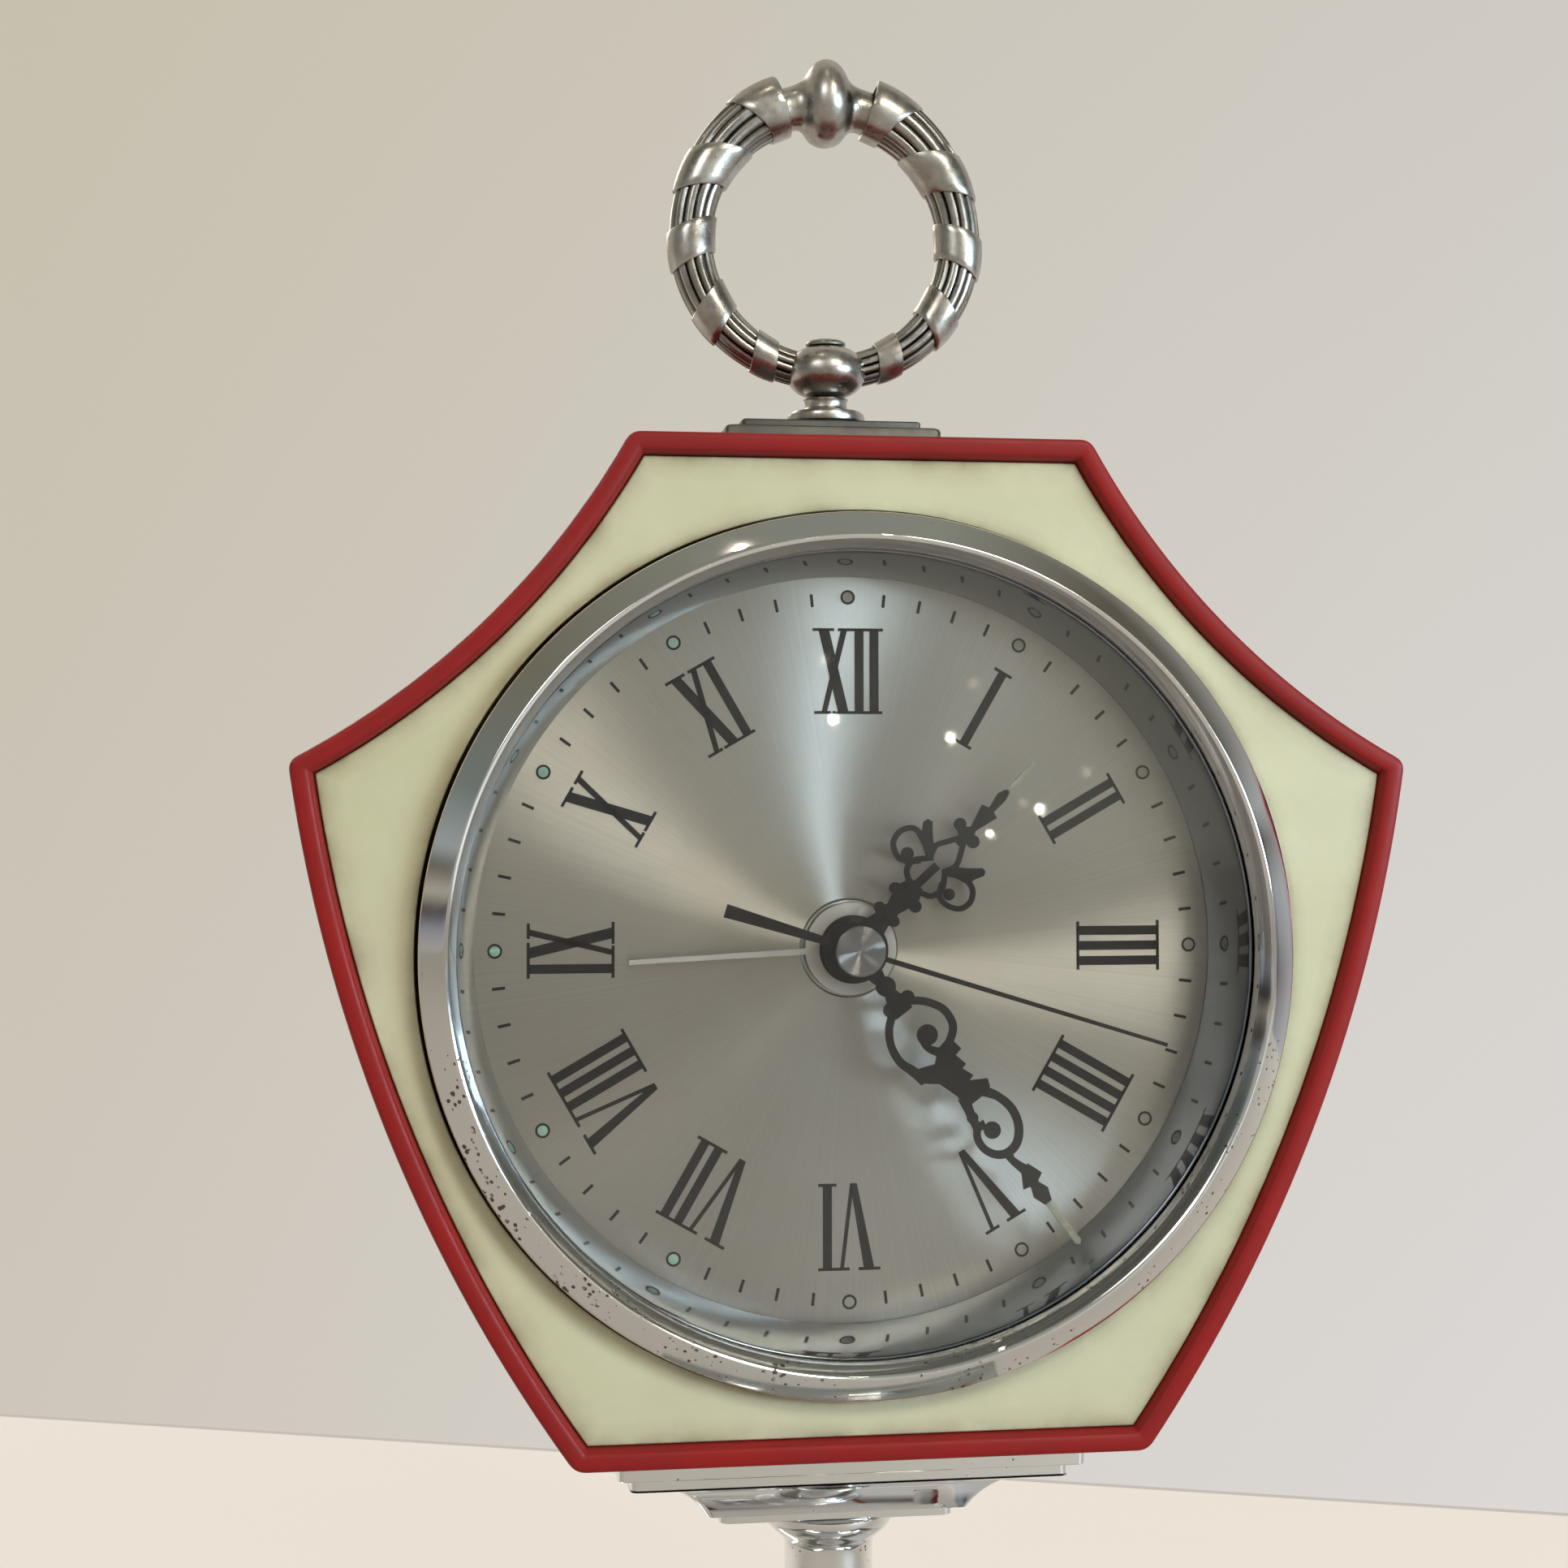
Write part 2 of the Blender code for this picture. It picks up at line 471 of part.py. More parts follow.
ALARM_SPRING_PLACE = (ALARM_SPRING_SIDE, -ALARM_SPRING_DROP)
ALARM_ESCAPE_PLACE = towards(ALARM_SPRING_PLACE, ALARM_ESCAPE_DISTANCE, ALARM_ESCAPE_DIRECTION)
HAMMER_PLACE = (HAMMER_SIDE, HAMMER_RISE)
BELL_PLACE = (BELL_SIDE, BELL_RISE)
STOP_PLACE = (STOP_SIDE, STOP_RISE)
PILLAR_PLACES = (
    (-PILLAR_TOP_SIDE, PILLAR_TOP_RISE),
    (PILLAR_TOP_SIDE, PILLAR_TOP_RISE),
    (PILLAR_FOOT_SIDE, -PILLAR_FOOT_DROP),
)
SCREW_PLACES = ((-BOSS_SIDE, BOSS_RISE), (BOSS_SIDE, BOSS_RISE))


# Tools of the bench


def clear_scene():
    for thing in list(bpy.data.objects):
        bpy.data.objects.remove(thing, do_unlink=True)


def material(name, colour, roughness, metallic=0.0, transmission=0.0):
    made = bpy.data.materials.get(name)
    if made is None:
        made = bpy.data.materials.new(name)
        made.use_nodes = True
        shader = made.node_tree.nodes["Principled BSDF"]
        shader.inputs["Base Color"].default_value = (*colour, 1.0)
        shader.inputs["Roughness"].default_value = roughness
        shader.inputs["Metallic"].default_value = metallic
        shader.inputs["Transmission Weight"].default_value = transmission
    return made


def red_plastic():
    return material("red_plastic", (0.30, 0.02, 0.02), 0.35)


def cream_panel():
    return material("cream_panel", (0.60, 0.58, 0.42), 0.45)


def chrome():
    return material("chrome", (0.80, 0.80, 0.82), 0.08, 1.0)


def satin_chrome():
    return material("satin_chrome", (0.62, 0.62, 0.62), 0.30, 1.0)


def clear_lens():
    return material("clear_lens", (1.0, 1.0, 1.0), 0.02, 0.0, 1.0)


def silver_dial():
    return material("silver_dial", (0.62, 0.62, 0.58), 0.32, 0.85)


def black_paint():
    return material("black_paint", (0.02, 0.02, 0.02), 0.5)


def pale_paint():
    return material("pale_paint", (0.70, 0.70, 0.66), 0.5)


def aged_silver():
    return material("aged_silver", (0.48, 0.46, 0.42), 0.38, 1.0)


def brass():
    return material("brass", (0.72, 0.52, 0.22), 0.3, 1.0)


def steel():
    return material("steel", (0.55, 0.55, 0.56), 0.28, 1.0)


def black_rubber():
    return material("black_rubber", (0.03, 0.03, 0.03), 0.85)


def cover_plastic():
    return material("cover_plastic", (0.22, 0.02, 0.02), 0.5)


def place_mesh(name, mesh_data, paint, location, sharp=math.radians(32)):
    """Makes an object of a bmesh, with its faces pointing out and its curved faces smooth."""
    bmesh.ops.recalc_face_normals(mesh_data, faces=mesh_data.faces)
    mesh = bpy.data.meshes.new(name)
    mesh_data.to_mesh(mesh)
    mesh_data.free()
    mesh.shade_smooth()
    mesh.set_sharp_from_angle(angle=sharp)
    if paint is not None:
        mesh.materials.append(paint)
    thing = bpy.data.objects.new(name, mesh)
    thing.location = location
    bpy.context.scene.collection.objects.link(thing)
    return thing


def at(place, depth=0.0):
    """The point in the clock that lies at a side and a rise from the centre of the dial."""
    return place[0], depth, DIAL_Z + place[1]


def hide(helper):
    helper.hide_render = True
    helper.display_type = "WIRE"
    return helper


def combine(body, helper, operation):
    """Joins a helper to a body, or cuts it from the body, with a live Boolean."""
    step = body.modifiers.new(helper.name, "BOOLEAN")
    step.object = hide(helper)
    step.operation = operation
    step.solver = "EXACT"


def circle(radius, count=HUB_STEPS, middle=CENTRE):
    angles = [2 * math.pi * step / count for step in range(count)]
    return [(middle[0] + radius * math.cos(a), middle[1] + radius * math.sin(a)) for a in angles]


def arc(middle, radius, start, end, steps):
    """Points along an arc, both ends included, between angles from the +X direction."""
    angles = [start + (end - start) * step / steps for step in range(steps + 1)]
    return [(middle[0] + radius * math.cos(a), middle[1] + radius * math.sin(a)) for a in angles]


def rectangle(half_width, half_depth, corner=0.0):
    """A rectangle about the middle, with each corner cut or, if its radius is not zero, rounded."""
    if corner == 0.0:
        return [(half_width, half_depth), (-half_width, half_depth),
                (-half_width, -half_depth), (half_width, -half_depth)]
    points = []
    for quarter in range(4):
        across = half_width - corner if quarter in (0, 3) else corner - half_width
        along = half_depth - corner if quarter in (0, 1) else corner - half_depth
        start = quarter * math.pi / 2
        points += arc((across, along), corner, start, start + math.pi / 2, 3)
    return points


def ring_of(bench, outline, height, axis):
    """Adds the corners of an outline to the bmesh at a height along the axis."""
    if axis == "Y":
        return [bench.verts.new((u, height, v)) for u, v in outline]
    return [bench.verts.new((u, v, height)) for u, v in outline]


def fill(bench, rings):
    """Closes the flat space inside the first ring, around the others."""
    edges = []
    for ring in rings:
        for corner, following in zip(ring, ring[1:] + ring[:1]):
            known = bench.edges.get((corner, following))
            edges.append(known or bench.edges.new((corner, following)))
    bmesh.ops.triangle_fill(bench, use_beauty=True, use_dissolve=False, edges=edges)


def wall(bench, first, second):
    """Joins two rings of as many corners with a band of faces."""
    for number in range(len(first)):
        bench.faces.new((first[number - 1], first[number], second[number], second[number - 1]))


def stack(levels, axis="Y", holes=(), posts=()):
    """One closed body of outlines that stand on each other along an axis.

    A level is (start, end, outline) or (start, end, outline, end outline). A hole is (start, end,
    outline) and opens in the faces at both its ends. A post, or a blind hole, is (root, end, outline)
    and is closed at its end.
    """
    bench = bmesh.new()
    openings = {}
    for start, end, outline in holes:
        first = ring_of(bench, outline, start, axis)
        second = ring_of(bench, outline, end, axis)
        wall(bench, first, second)
        openings.setdefault(start, []).append(first)
        openings.setdefault(end, []).append(second)
    for root, end, outline in posts:
        first = ring_of(bench, outline, root, axis)
        second = ring_of(bench, outline, end, axis)
        wall(bench, first, second)
        fill(bench, [second])
        openings.setdefault(root, []).append(first)
    below = None
    for level in levels:
        start, end, outline = level[:3]
        last = level[3] if len(level) > 3 else outline
        if below is not None and below[0] is outline:
            first = below[1]
        else:
            first = ring_of(bench, outline, start, axis)
            rings = [first] if below is None else [below[1], first]
            fill(bench, rings + openings.pop(start, []))
        second = ring_of(bench, last, end, axis)
        wall(bench, first, second)
        below = (last, second)
    fill(bench, [below[1]] + openings.pop(levels[-1][1], []))
    return bench


def turned(profile, axis="Y", count=ROUND_STEPS, closed=False):
    """A body of revolution. The profile is a list of (radius, height), closed or from axis to axis."""
    bench = bmesh.new()
    makers = {
        "Y": lambda r, t: (r, t, 0.0),
        "Z": lambda r, t: (r, 0.0, t),
        "X": lambda r, t: (t, r, 0.0),
    }
    lines = {"Y": (0, 1, 0), "Z": (0, 0, 1), "X": (1, 0, 0)}
    corners = [bench.verts.new(makers[axis](r, t)) for r, t in profile]
    pairs = list(zip(corners, corners[1:]))
    if closed:
        pairs.append((corners[-1], corners[0]))
    edges = [bench.edges.new(pair) for pair in pairs]
    bmesh.ops.spin(bench, geom=corners + edges, cent=(0, 0, 0), axis=lines[axis], dvec=(0, 0, 0),
                   angle=2 * math.pi, steps=count, use_merge=True)
    bmesh.ops.remove_doubles(bench, verts=bench.verts, dist=WELD)
    return bench


def gear_radius(teeth, other_teeth, distance):
    """The tip radius of a wheel that stands at a distance from the one that it gears with."""
    return distance * teeth / (teeth + other_teeth) - MESH_GAP / 2


def gear(teeth, radius, depth=TOOTH_DEPTH):
    points = []
    for tooth in range(teeth):
        tip = 2 * math.pi * tooth / teeth
        root = tip + math.pi / teeth
        points.append((radius * math.cos(tip), radius * math.sin(tip)))
        points.append(((radius - depth) * math.cos(root), (radius - depth) * math.sin(root)))
    return points


def crossings(rim_radius, hub_radius, arm=CROSSING_ARM, count=CROSSINGS):
    """The windows between the arms of a wheel."""
    windows = []
    for number in range(count):
        start = 2 * math.pi * number / count
        end = start + 2 * math.pi / count
        outer = math.asin(arm / 2 / rim_radius)
        inner = math.asin(arm / 2 / hub_radius)
        window = arc(CENTRE, rim_radius, start + outer, end - outer, 3)
        window += arc(CENTRE, hub_radius, end - inner, start + inner, 1)
        windows.append(window)
    return windows


def spiral(inner, outer, turns, thickness):
    """The outline of a strip that winds outwards."""
    near = []
    far = []
    for step in range(turns * SPIRAL_STEPS + 1):
        angle = 2 * math.pi * step / SPIRAL_STEPS
        middle = inner + (outer - inner) * step / (turns * SPIRAL_STEPS)
        for side, radius in ((near, middle - thickness / 2), (far, middle + thickness / 2)):
            side.append((radius * math.cos(angle), radius * math.sin(angle)))
    return far + near[::-1]


def circle_meeting(first, first_radius, second, second_radius, near):
    """Of the two points where two circles meet, the one nearer to a given point."""
    gap = Vector(second) - Vector(first)
    along = (gap.length_squared + first_radius**2 - second_radius**2) / (2 * gap.length)
    across = math.sqrt(first_radius**2 - along**2)
    unit = gap.normalized()
    foot = Vector(first) + unit * along
    side = Vector((-unit.y, unit.x)) * across
    return min((foot + side, foot - side), key=lambda point: (point - Vector(near)).length)


def arc_middle(first, second, radius, turn):
    """The centre of an arc through two points. It lies to the left of the way from first to second."""
    chord = Vector(second) - Vector(first)
    rise = math.sqrt(radius**2 - chord.length_squared / 4)
    left = Vector((-chord.y, chord.x)).normalized()
    return (Vector(first) + Vector(second)) / 2 + left * rise * turn


# Case


def case_outline(inset):
    """The case's outline, drawn in by an inset, counted from the right end of its top edge."""
    top_corner = (CASE_TOP_HALF, CASE_TOP_RISE)
    side_corner = (CASE_SIDE_HALF, CASE_SIDE_RISE)
    foot_corner = (CASE_FOOT_HALF, -CASE_FOOT_DROP)
    upper = arc_middle(top_corner, side_corner, UPPER_SIDE_RADIUS, 1)
    lower = arc_middle(side_corner, foot_corner, LOWER_SIDE_RADIUS, -1)
    upper_radius = UPPER_SIDE_RADIUS + inset
    lower_radius = LOWER_SIDE_RADIUS - inset
    top_z = CASE_TOP_RISE - inset
    foot_z = inset - CASE_FOOT_DROP
    top = Vector((upper.x - math.sqrt(upper_radius**2 - (top_z - upper.y) ** 2), top_z))
    foot = Vector((lower.x + math.sqrt(lower_radius**2 - (foot_z - lower.y) ** 2), foot_z))
    side = circle_meeting(upper, upper_radius, lower, lower_radius, side_corner)

    def between(middle, radius, start, end):
        """The side's curve, from one rounding to the next."""
        first = math.atan2(start.y - middle.y, start.x - middle.x)
        last = math.atan2(end.y - middle.y, end.x - middle.x)
        last += 2 * math.pi * round((first - last) / (2 * math.pi))
        trim = math.copysign(CORNER_ROUND / radius, last - first)
        return [Vector(p) for p in arc(middle, radius, first + trim, last - trim, SIDE_STEPS)]

    upper_side = between(upper, upper_radius, top, side)
    lower_side = between(lower, lower_radius, side, foot)
    top_end = top - Vector((CORNER_ROUND, 0))
    foot_end = foot - Vector((CORNER_ROUND, 0))

    def softened(before, corner, after):
        return (before + corner * 2 + after) / 4

    half = [top_end, softened(top_end, top, upper_side[0])]
    half += upper_side
    half += [softened(upper_side[-1], side, lower_side[0])]
    half += lower_side
    half += [softened(lower_side[-1], foot, foot_end), foot_end]
    right = [(point.x, point.y) for point in half]
    return right + [(-x, y) for x, y in reversed(right)]


def make_case_frame():
    bench = bmesh.new()
    loops = (
        (RIM_EDGE, CASE_FRONT),
        (0.0, CASE_FRONT + RIM_EDGE_DEPTH),
        (0.0, CASE_BACK),
        (CASE_WALL, CASE_BACK),
        (CASE_WALL, LEDGE_BACK),
        (LEDGE_WIDTH, LEDGE_BACK),
        (LEDGE_WIDTH, LEDGE_FRONT),
        (RIM_FOOT_WIDTH, LEDGE_FRONT),
        (RIM_FOOT_WIDTH, PANEL_FRONT),
        (RIM_WIDTH, CASE_FRONT),
    )
    rings = [ring_of(bench, case_outline(inset), depth, "Y") for inset, depth in loops]
    for number, ring in enumerate(rings):
        wall(bench, rings[number - 1], ring)
    case = place_mesh("case_frame", bench, red_plastic(), at(CENTRE))
    boss_front = CASE_BACK - BOSS_LENGTH
    hole_radius = SCREW_RADIUS + PLAY
    for number, place in enumerate(SCREW_PLACES):
        boss = stack([(boss_front, CASE_BACK, circle(BOSS_RADIUS, BORE_STEPS))],
                     posts=[(CASE_BACK, CASE_BACK - SCREW_LENGTH, circle(hole_radius, BORE_STEPS))])
        combine(case, place_mesh(f"boss_{number + 1}", boss, None, at(place)), "UNION")
    holes = (
        ("handle_hole", HANDLE_SCREW_RADIUS, CASE_TOP_RISE - CASE_WALL, CASE_TOP_RISE),
        ("foot_hole", TIE_ROD_RADIUS, -CASE_FOOT_DROP, CASE_WALL - CASE_FOOT_DROP),
    )
    for name, radius, low, high in holes:
        drill = stack([(low - OVERRUN, high + OVERRUN, circle(radius + PLAY, BORE_STEPS))], "Z")
        combine(case, place_mesh(name, drill, None, at(CENTRE)), "DIFFERENCE")


def make_front_panel():
    hole = circle(PANEL_HOLE_RADIUS, ROUND_STEPS)
    plate = stack([(PANEL_FRONT, PANEL_BACK, case_outline(RIM_FOOT_WIDTH + SEAT))],
                  holes=[(PANEL_FRONT, PANEL_BACK, hole)])
    place_mesh("front_panel", plate, cream_panel(), at(CENTRE))


def make_bezel():
    flange_front = LEDGE_FRONT
    flange_back = flange_front + BEZEL_FLANGE_THICKNESS
    shoulder = CASE_FRONT - BEZEL_SHOULDER_PROUD
    profile = [
        (BEZEL_RADIUS, CASE_FRONT - BEZEL_EDGE_PROUD),
        (BEZEL_RIDGE_RADIUS + BEZEL_RIDGE_WIDTH / 2, shoulder),
        (BEZEL_RIDGE_RADIUS, CASE_FRONT - BEZEL_RIDGE_PROUD),
        (BEZEL_RIDGE_RADIUS - BEZEL_RIDGE_WIDTH / 2, shoulder),
        (BEZEL_MOUTH_RADIUS, CASE_FRONT - BEZEL_MOUTH_PROUD),
        (BEZEL_MOUTH_RADIUS, CASE_FRONT + BEZEL_LIP_DEPTH),
        (BEZEL_POCKET_RADIUS, CASE_FRONT + BEZEL_LIP_DEPTH),
        (BEZEL_POCKET_RADIUS, flange_back),
        (BEZEL_FLANGE_RADIUS, flange_back),
        (BEZEL_FLANGE_RADIUS, flange_front),
        (BEZEL_RADIUS, flange_front),
    ]
    place_mesh("bezel", turned(profile, closed=True), chrome(), at(CENTRE))


def make_lens():
    glass = stack([(LENS_FRONT, LENS_BACK, circle(LENS_RADIUS, ROUND_STEPS))])
    place_mesh("lens", glass, clear_lens(), at(CENTRE))


def make_reflector_ring():
    depth = REFLECTOR_BACK - REFLECTOR_FRONT
    taper = (REFLECTOR_MOUTH_RADIUS - REFLECTOR_THROAT_RADIUS) / depth
    flange_back = REFLECTOR_FRONT + REFLECTOR_FLANGE_THICKNESS
    foot_front = REFLECTOR_BACK - REFLECTOR_FOOT_THICKNESS

    def outside(y):
        return REFLECTOR_MOUTH_RADIUS - taper * (y - REFLECTOR_FRONT) + REFLECTOR_WALL

    profile = [
        (REFLECTOR_MOUTH_RADIUS, REFLECTOR_FRONT),
        (REFLECTOR_THROAT_RADIUS, REFLECTOR_BACK),
        (REFLECTOR_FOOT_RADIUS, REFLECTOR_BACK),
        (REFLECTOR_FOOT_RADIUS, foot_front),
        (outside(foot_front), foot_front),
        (outside(flange_back), flange_back),
        (LENS_RADIUS, flange_back),
        (LENS_RADIUS, REFLECTOR_FRONT),
    ]
    place_mesh("reflector_ring", turned(profile, closed=True), satin_chrome(), at(CENTRE))


def make_dial_plate():
    foot_end = FRONT_PLATE_FRONT - SEAT
    feet = [(DIAL_BACK, foot_end, circle(DIAL_FOOT_RADIUS, PIN_STEPS, (side, -DIAL_FOOT_DROP)))
            for side in (-DIAL_FOOT_SIDE, DIAL_FOOT_SIDE)]
    plate = stack([(DIAL_FRONT, DIAL_BACK, circle(DIAL_RADIUS, ROUND_STEPS))],
                  holes=[(DIAL_FRONT, DIAL_BACK, circle(DIAL_HOLE_RADIUS))], posts=feet)
    place_mesh("dial_plate", plate, silver_dial(), at(CENTRE))


def slot_outline(middle, half_length, radius):
    """A level slot with round ends."""
    right = arc((middle[0] + half_length, middle[1]), radius, -math.pi / 2, math.pi / 2, 4)
    left = arc((middle[0] - half_length, middle[1]), radius, math.pi / 2, 3 * math.pi / 2, 4)
    return right + left


def regulator_slot():
    """The curved slot in which the regulator's tab swings."""
    half = REGULATOR_TAB_THICKNESS + EASE
    swing = REGULATOR_SWING + REGULATOR_SLOT_SPARE
    up = math.pi / 2
    outer = arc(BALANCE_PLACE, REGULATOR_REACH + half, up - swing, up + swing, 6)
    inner = arc(BALANCE_PLACE, REGULATOR_REACH - half, up + swing, up - swing, 6)
    return outer + inner


def make_rear_cover():
    openings = [
        circle(WINDING_ARBOR_RADIUS + EASE, BORE_STEPS, GREAT_PLACE),
        circle(WINDING_ARBOR_RADIUS + EASE, BORE_STEPS, ALARM_SPRING_PLACE),
        circle(SETTING_SHAFT_RADIUS + EASE, BORE_STEPS, TIME_SET_PLACE),
        circle(SETTING_SHAFT_RADIUS + EASE, BORE_STEPS, ALARM_SET_PLACE),
        circle(STOP_ROD_RADIUS + EASE, BORE_STEPS, STOP_PLACE),
        regulator_slot(),
    ]
    openings += [circle(SCREW_RADIUS + PLAY, BORE_STEPS, place) for place in SCREW_PLACES]
    for number in range(SOUND_SLOTS):
        middle = (SOUND_SLOT_SIDE, SOUND_SLOT_RISE + number * SOUND_SLOT_STEP)
        openings.append(slot_outline(middle, SOUND_SLOT_HALF, SOUND_SLOT_RADIUS))
    plate = stack([(COVER_FRONT, COVER_BACK, case_outline(COVER_INSET))],
                  holes=[(COVER_FRONT, COVER_BACK, opening) for opening in openings])
    place_mesh("rear_cover", plate, cover_plastic(), at(CENTRE))


def make_cover_screws():
    head_front = COVER_BACK + SEAT
    head_back = head_front + SCREW_HEAD_THICKNESS
    tip = CASE_BACK - SCREW_LENGTH + SEAT
    for number, place in enumerate(SCREW_PLACES):
        screw = stack([(tip, head_front, circle(SCREW_RADIUS, BORE_STEPS)),
                       (head_front, head_back, circle(SCREW_HEAD_RADIUS, BORE_STEPS))])
        place_mesh(f"cover_screw_{number + 1}", screw, steel(), at(place))


# Handle


def make_handle_plate():
    bore = circle(HANDLE_SCREW_RADIUS + PLAY, BORE_STEPS)
    foot = rectangle(HANDLE_STEP_HALF, HANDLE_STEP_DEPTH)
    shoulder = rectangle(HANDLE_STEP_HALF - HANDLE_STEP_BEVEL, HANDLE_STEP_DEPTH - HANDLE_STEP_BEVEL)
    upper = rectangle(HANDLE_TOP_HALF, HANDLE_TOP_DEPTH)
    bevel_z = HANDLE_SHOULDER - HANDLE_STEP_BEVEL
    plate = stack([(HANDLE_BOTTOM, bevel_z, foot), (bevel_z, HANDLE_SHOULDER, foot, shoulder),
                   (HANDLE_SHOULDER, HANDLE_TOP, upper)],
                  "Z", holes=[(HANDLE_BOTTOM, HANDLE_TOP, bore)])
    place_mesh("handle_plate", plate, aged_silver(), (0, 0, 0))


def make_handle_pedestal():
    bore = HANDLE_SCREW_RADIUS + PLAY
    flange_top = PEDESTAL_BOTTOM + PEDESTAL_FLANGE_HEIGHT
    bead = PEDESTAL_FLANGE_HEIGHT / 3
    profile = [
        (bore, PEDESTAL_BOTTOM),
        (PEDESTAL_FLANGE_RADIUS - bead, PEDESTAL_BOTTOM),
        (PEDESTAL_FLANGE_RADIUS, PEDESTAL_BOTTOM + bead),
        (PEDESTAL_FLANGE_RADIUS, flange_top - bead),
        (PEDESTAL_FLANGE_RADIUS - bead, flange_top),
        (PEDESTAL_NECK_RADIUS, flange_top + bead / 2),
        (PEDESTAL_NECK_RADIUS, PEDESTAL_TOP - bead),
        (PEDESTAL_NECK_RADIUS + bead / 2, PEDESTAL_TOP),
        (bore, PEDESTAL_TOP),
    ]
    place_mesh("handle_pedestal", turned(profile, "Z", HUB_STEPS, closed=True), aged_silver(), (0, 0, 0))


def ring_diameter(angle):
    """The ring's thickness at an angle from its top: stout at the cuffs, slim at the foot."""
    share = abs(angle) / math.pi
    if share < 0.5:
        blend = (1 + math.cos(2 * math.pi * share)) / 2
        return RING_SIDE_DIAMETER + (RING_CUFF_DIAMETER - RING_SIDE_DIAMETER) * blend
    blend = (1 - math.cos(2 * math.pi * (share - 0.5))) / 2
    return RING_SIDE_DIAMETER + (RING_FOOT_DIAMETER - RING_SIDE_DIAMETER) * blend


KNOB_CROWN_SHARES = ((1.0, 0.0), (0.96, 0.5), (0.78, 1.0))


def make_handle_ring():
    bench = bmesh.new()
    rings = []
    for station in range(RING_STATIONS):
        share = station / (RING_STATIONS - 1)
        angle = RING_CUFF_ANGLE + (2 * math.pi - 2 * RING_CUFF_ANGLE) * share
        from_top = angle if angle <= math.pi else angle - 2 * math.pi
        radius = ring_diameter(from_top) / 2
        corners = []
        for across, along in circle(radius, RING_SIDES):
            reach = RING_INNER_RADIUS + radius + across
            corners.append(bench.verts.new((reach * math.sin(angle), along, reach * math.cos(angle))))
        rings.append(corners)
    for first, second in zip(rings, rings[1:]):
        wall(bench, first, second)
    fill(bench, [rings[0]])
    fill(bench, [rings[-1]])
    ring = place_mesh("handle_ring", bench, aged_silver(), (0, 0, RING_Z))
    ball = turned([(BALL_RADIUS * math.sin(a), -BALL_HALF_HEIGHT * math.cos(a))
                   for a in [math.pi * step / 6 for step in range(7)]], "Z", BORE_STEPS)
    combine(ring, place_mesh("ring_ball", ball, None, (0, 0, BALL_Z)), "UNION")
    cuff_radius = RING_CUFF_DIAMETER / 2
    knob_z = RING_Z + (RING_INNER_RADIUS + cuff_radius) - KNOB_DROP
    half = [(KNOB_RADIUS * across, KNOB_HALF_WIDTH * along) for across, along in KNOB_CROWN_SHARES]
    half += [(KNOB_NECK_RADIUS, KNOB_HALF_WIDTH + KNOB_NECK_LEAD),
             (KNOB_NECK_RADIUS, KNOB_SPAN_HALF - KNOB_FLARE),
             (cuff_radius - KNOB_CUFF_STEP, KNOB_SPAN_HALF), (0.0, KNOB_SPAN_HALF)]
    profile = [(r, -t) for r, t in reversed(half[1:])] + half
    knob = place_mesh("ring_knob", turned(profile, "X", BORE_STEPS), None, (0, 0, knob_z))
    combine(ring, knob, "UNION")
    reach = BALL_HALF_HEIGHT + OVERRUN
    drill = stack([(-reach, reach, circle(HANDLE_SCREW_RADIUS + PLAY, BORE_STEPS))], "Z")
    combine(ring, place_mesh("ring_drill", drill, None, (0, 0, BALL_Z)), "DIFFERENCE")


def make_handle_screw():
    nut_top = CASE_TOP - CASE_WALL - SEAT
    tip = nut_top - HANDLE_NUT_HEIGHT - THREAD_PROUD
    head_top = HANDLE_SCREW_SEAT + HANDLE_SCREW_HEAD_HEIGHT
    screw = stack([(tip, HANDLE_SCREW_SEAT, circle(HANDLE_SCREW_RADIUS, BORE_STEPS)),
                   (HANDLE_SCREW_SEAT, head_top, circle(HANDLE_SCREW_HEAD_RADIUS))], "Z")
    place_mesh("handle_screw", screw, aged_silver(), (0, 0, 0))
    nut_bottom = nut_top - HANDLE_NUT_HEIGHT
    bore = circle(HANDLE_SCREW_RADIUS + SEAT, BORE_STEPS)
    nut = stack([(nut_bottom, nut_top, circle(HANDLE_NUT_RADIUS, HEXAGON))], "Z",
                holes=[(nut_bottom, nut_top, bore)])
    place_mesh("handle_nut", nut, steel(), (0, 0, 0))


# Bracket, column and base


def cove_levels(bottom, height, narrow, wide, wide_on_top):
    """Levels of a hollow moulding between a narrow and a wide rectangle, square to the wide one."""
    reach = wide[0] - narrow[0]
    radius = (reach**2 + height**2) / (2 * height)
    outlines = []
    for step in range(COVE_STEPS + 1):
        drawn_in = reach * step / COVE_STEPS
        drop = radius - math.sqrt(radius**2 - drawn_in**2)
        outline = rectangle(wide[0] - drawn_in, wide[1] - drawn_in)
        outlines.append((bottom + height - drop if wide_on_top else bottom + drop, outline))
    if wide_on_top:
        outlines.reverse()
    return [(low[0], high[0], low[1], high[1]) for low, high in zip(outlines, outlines[1:])]


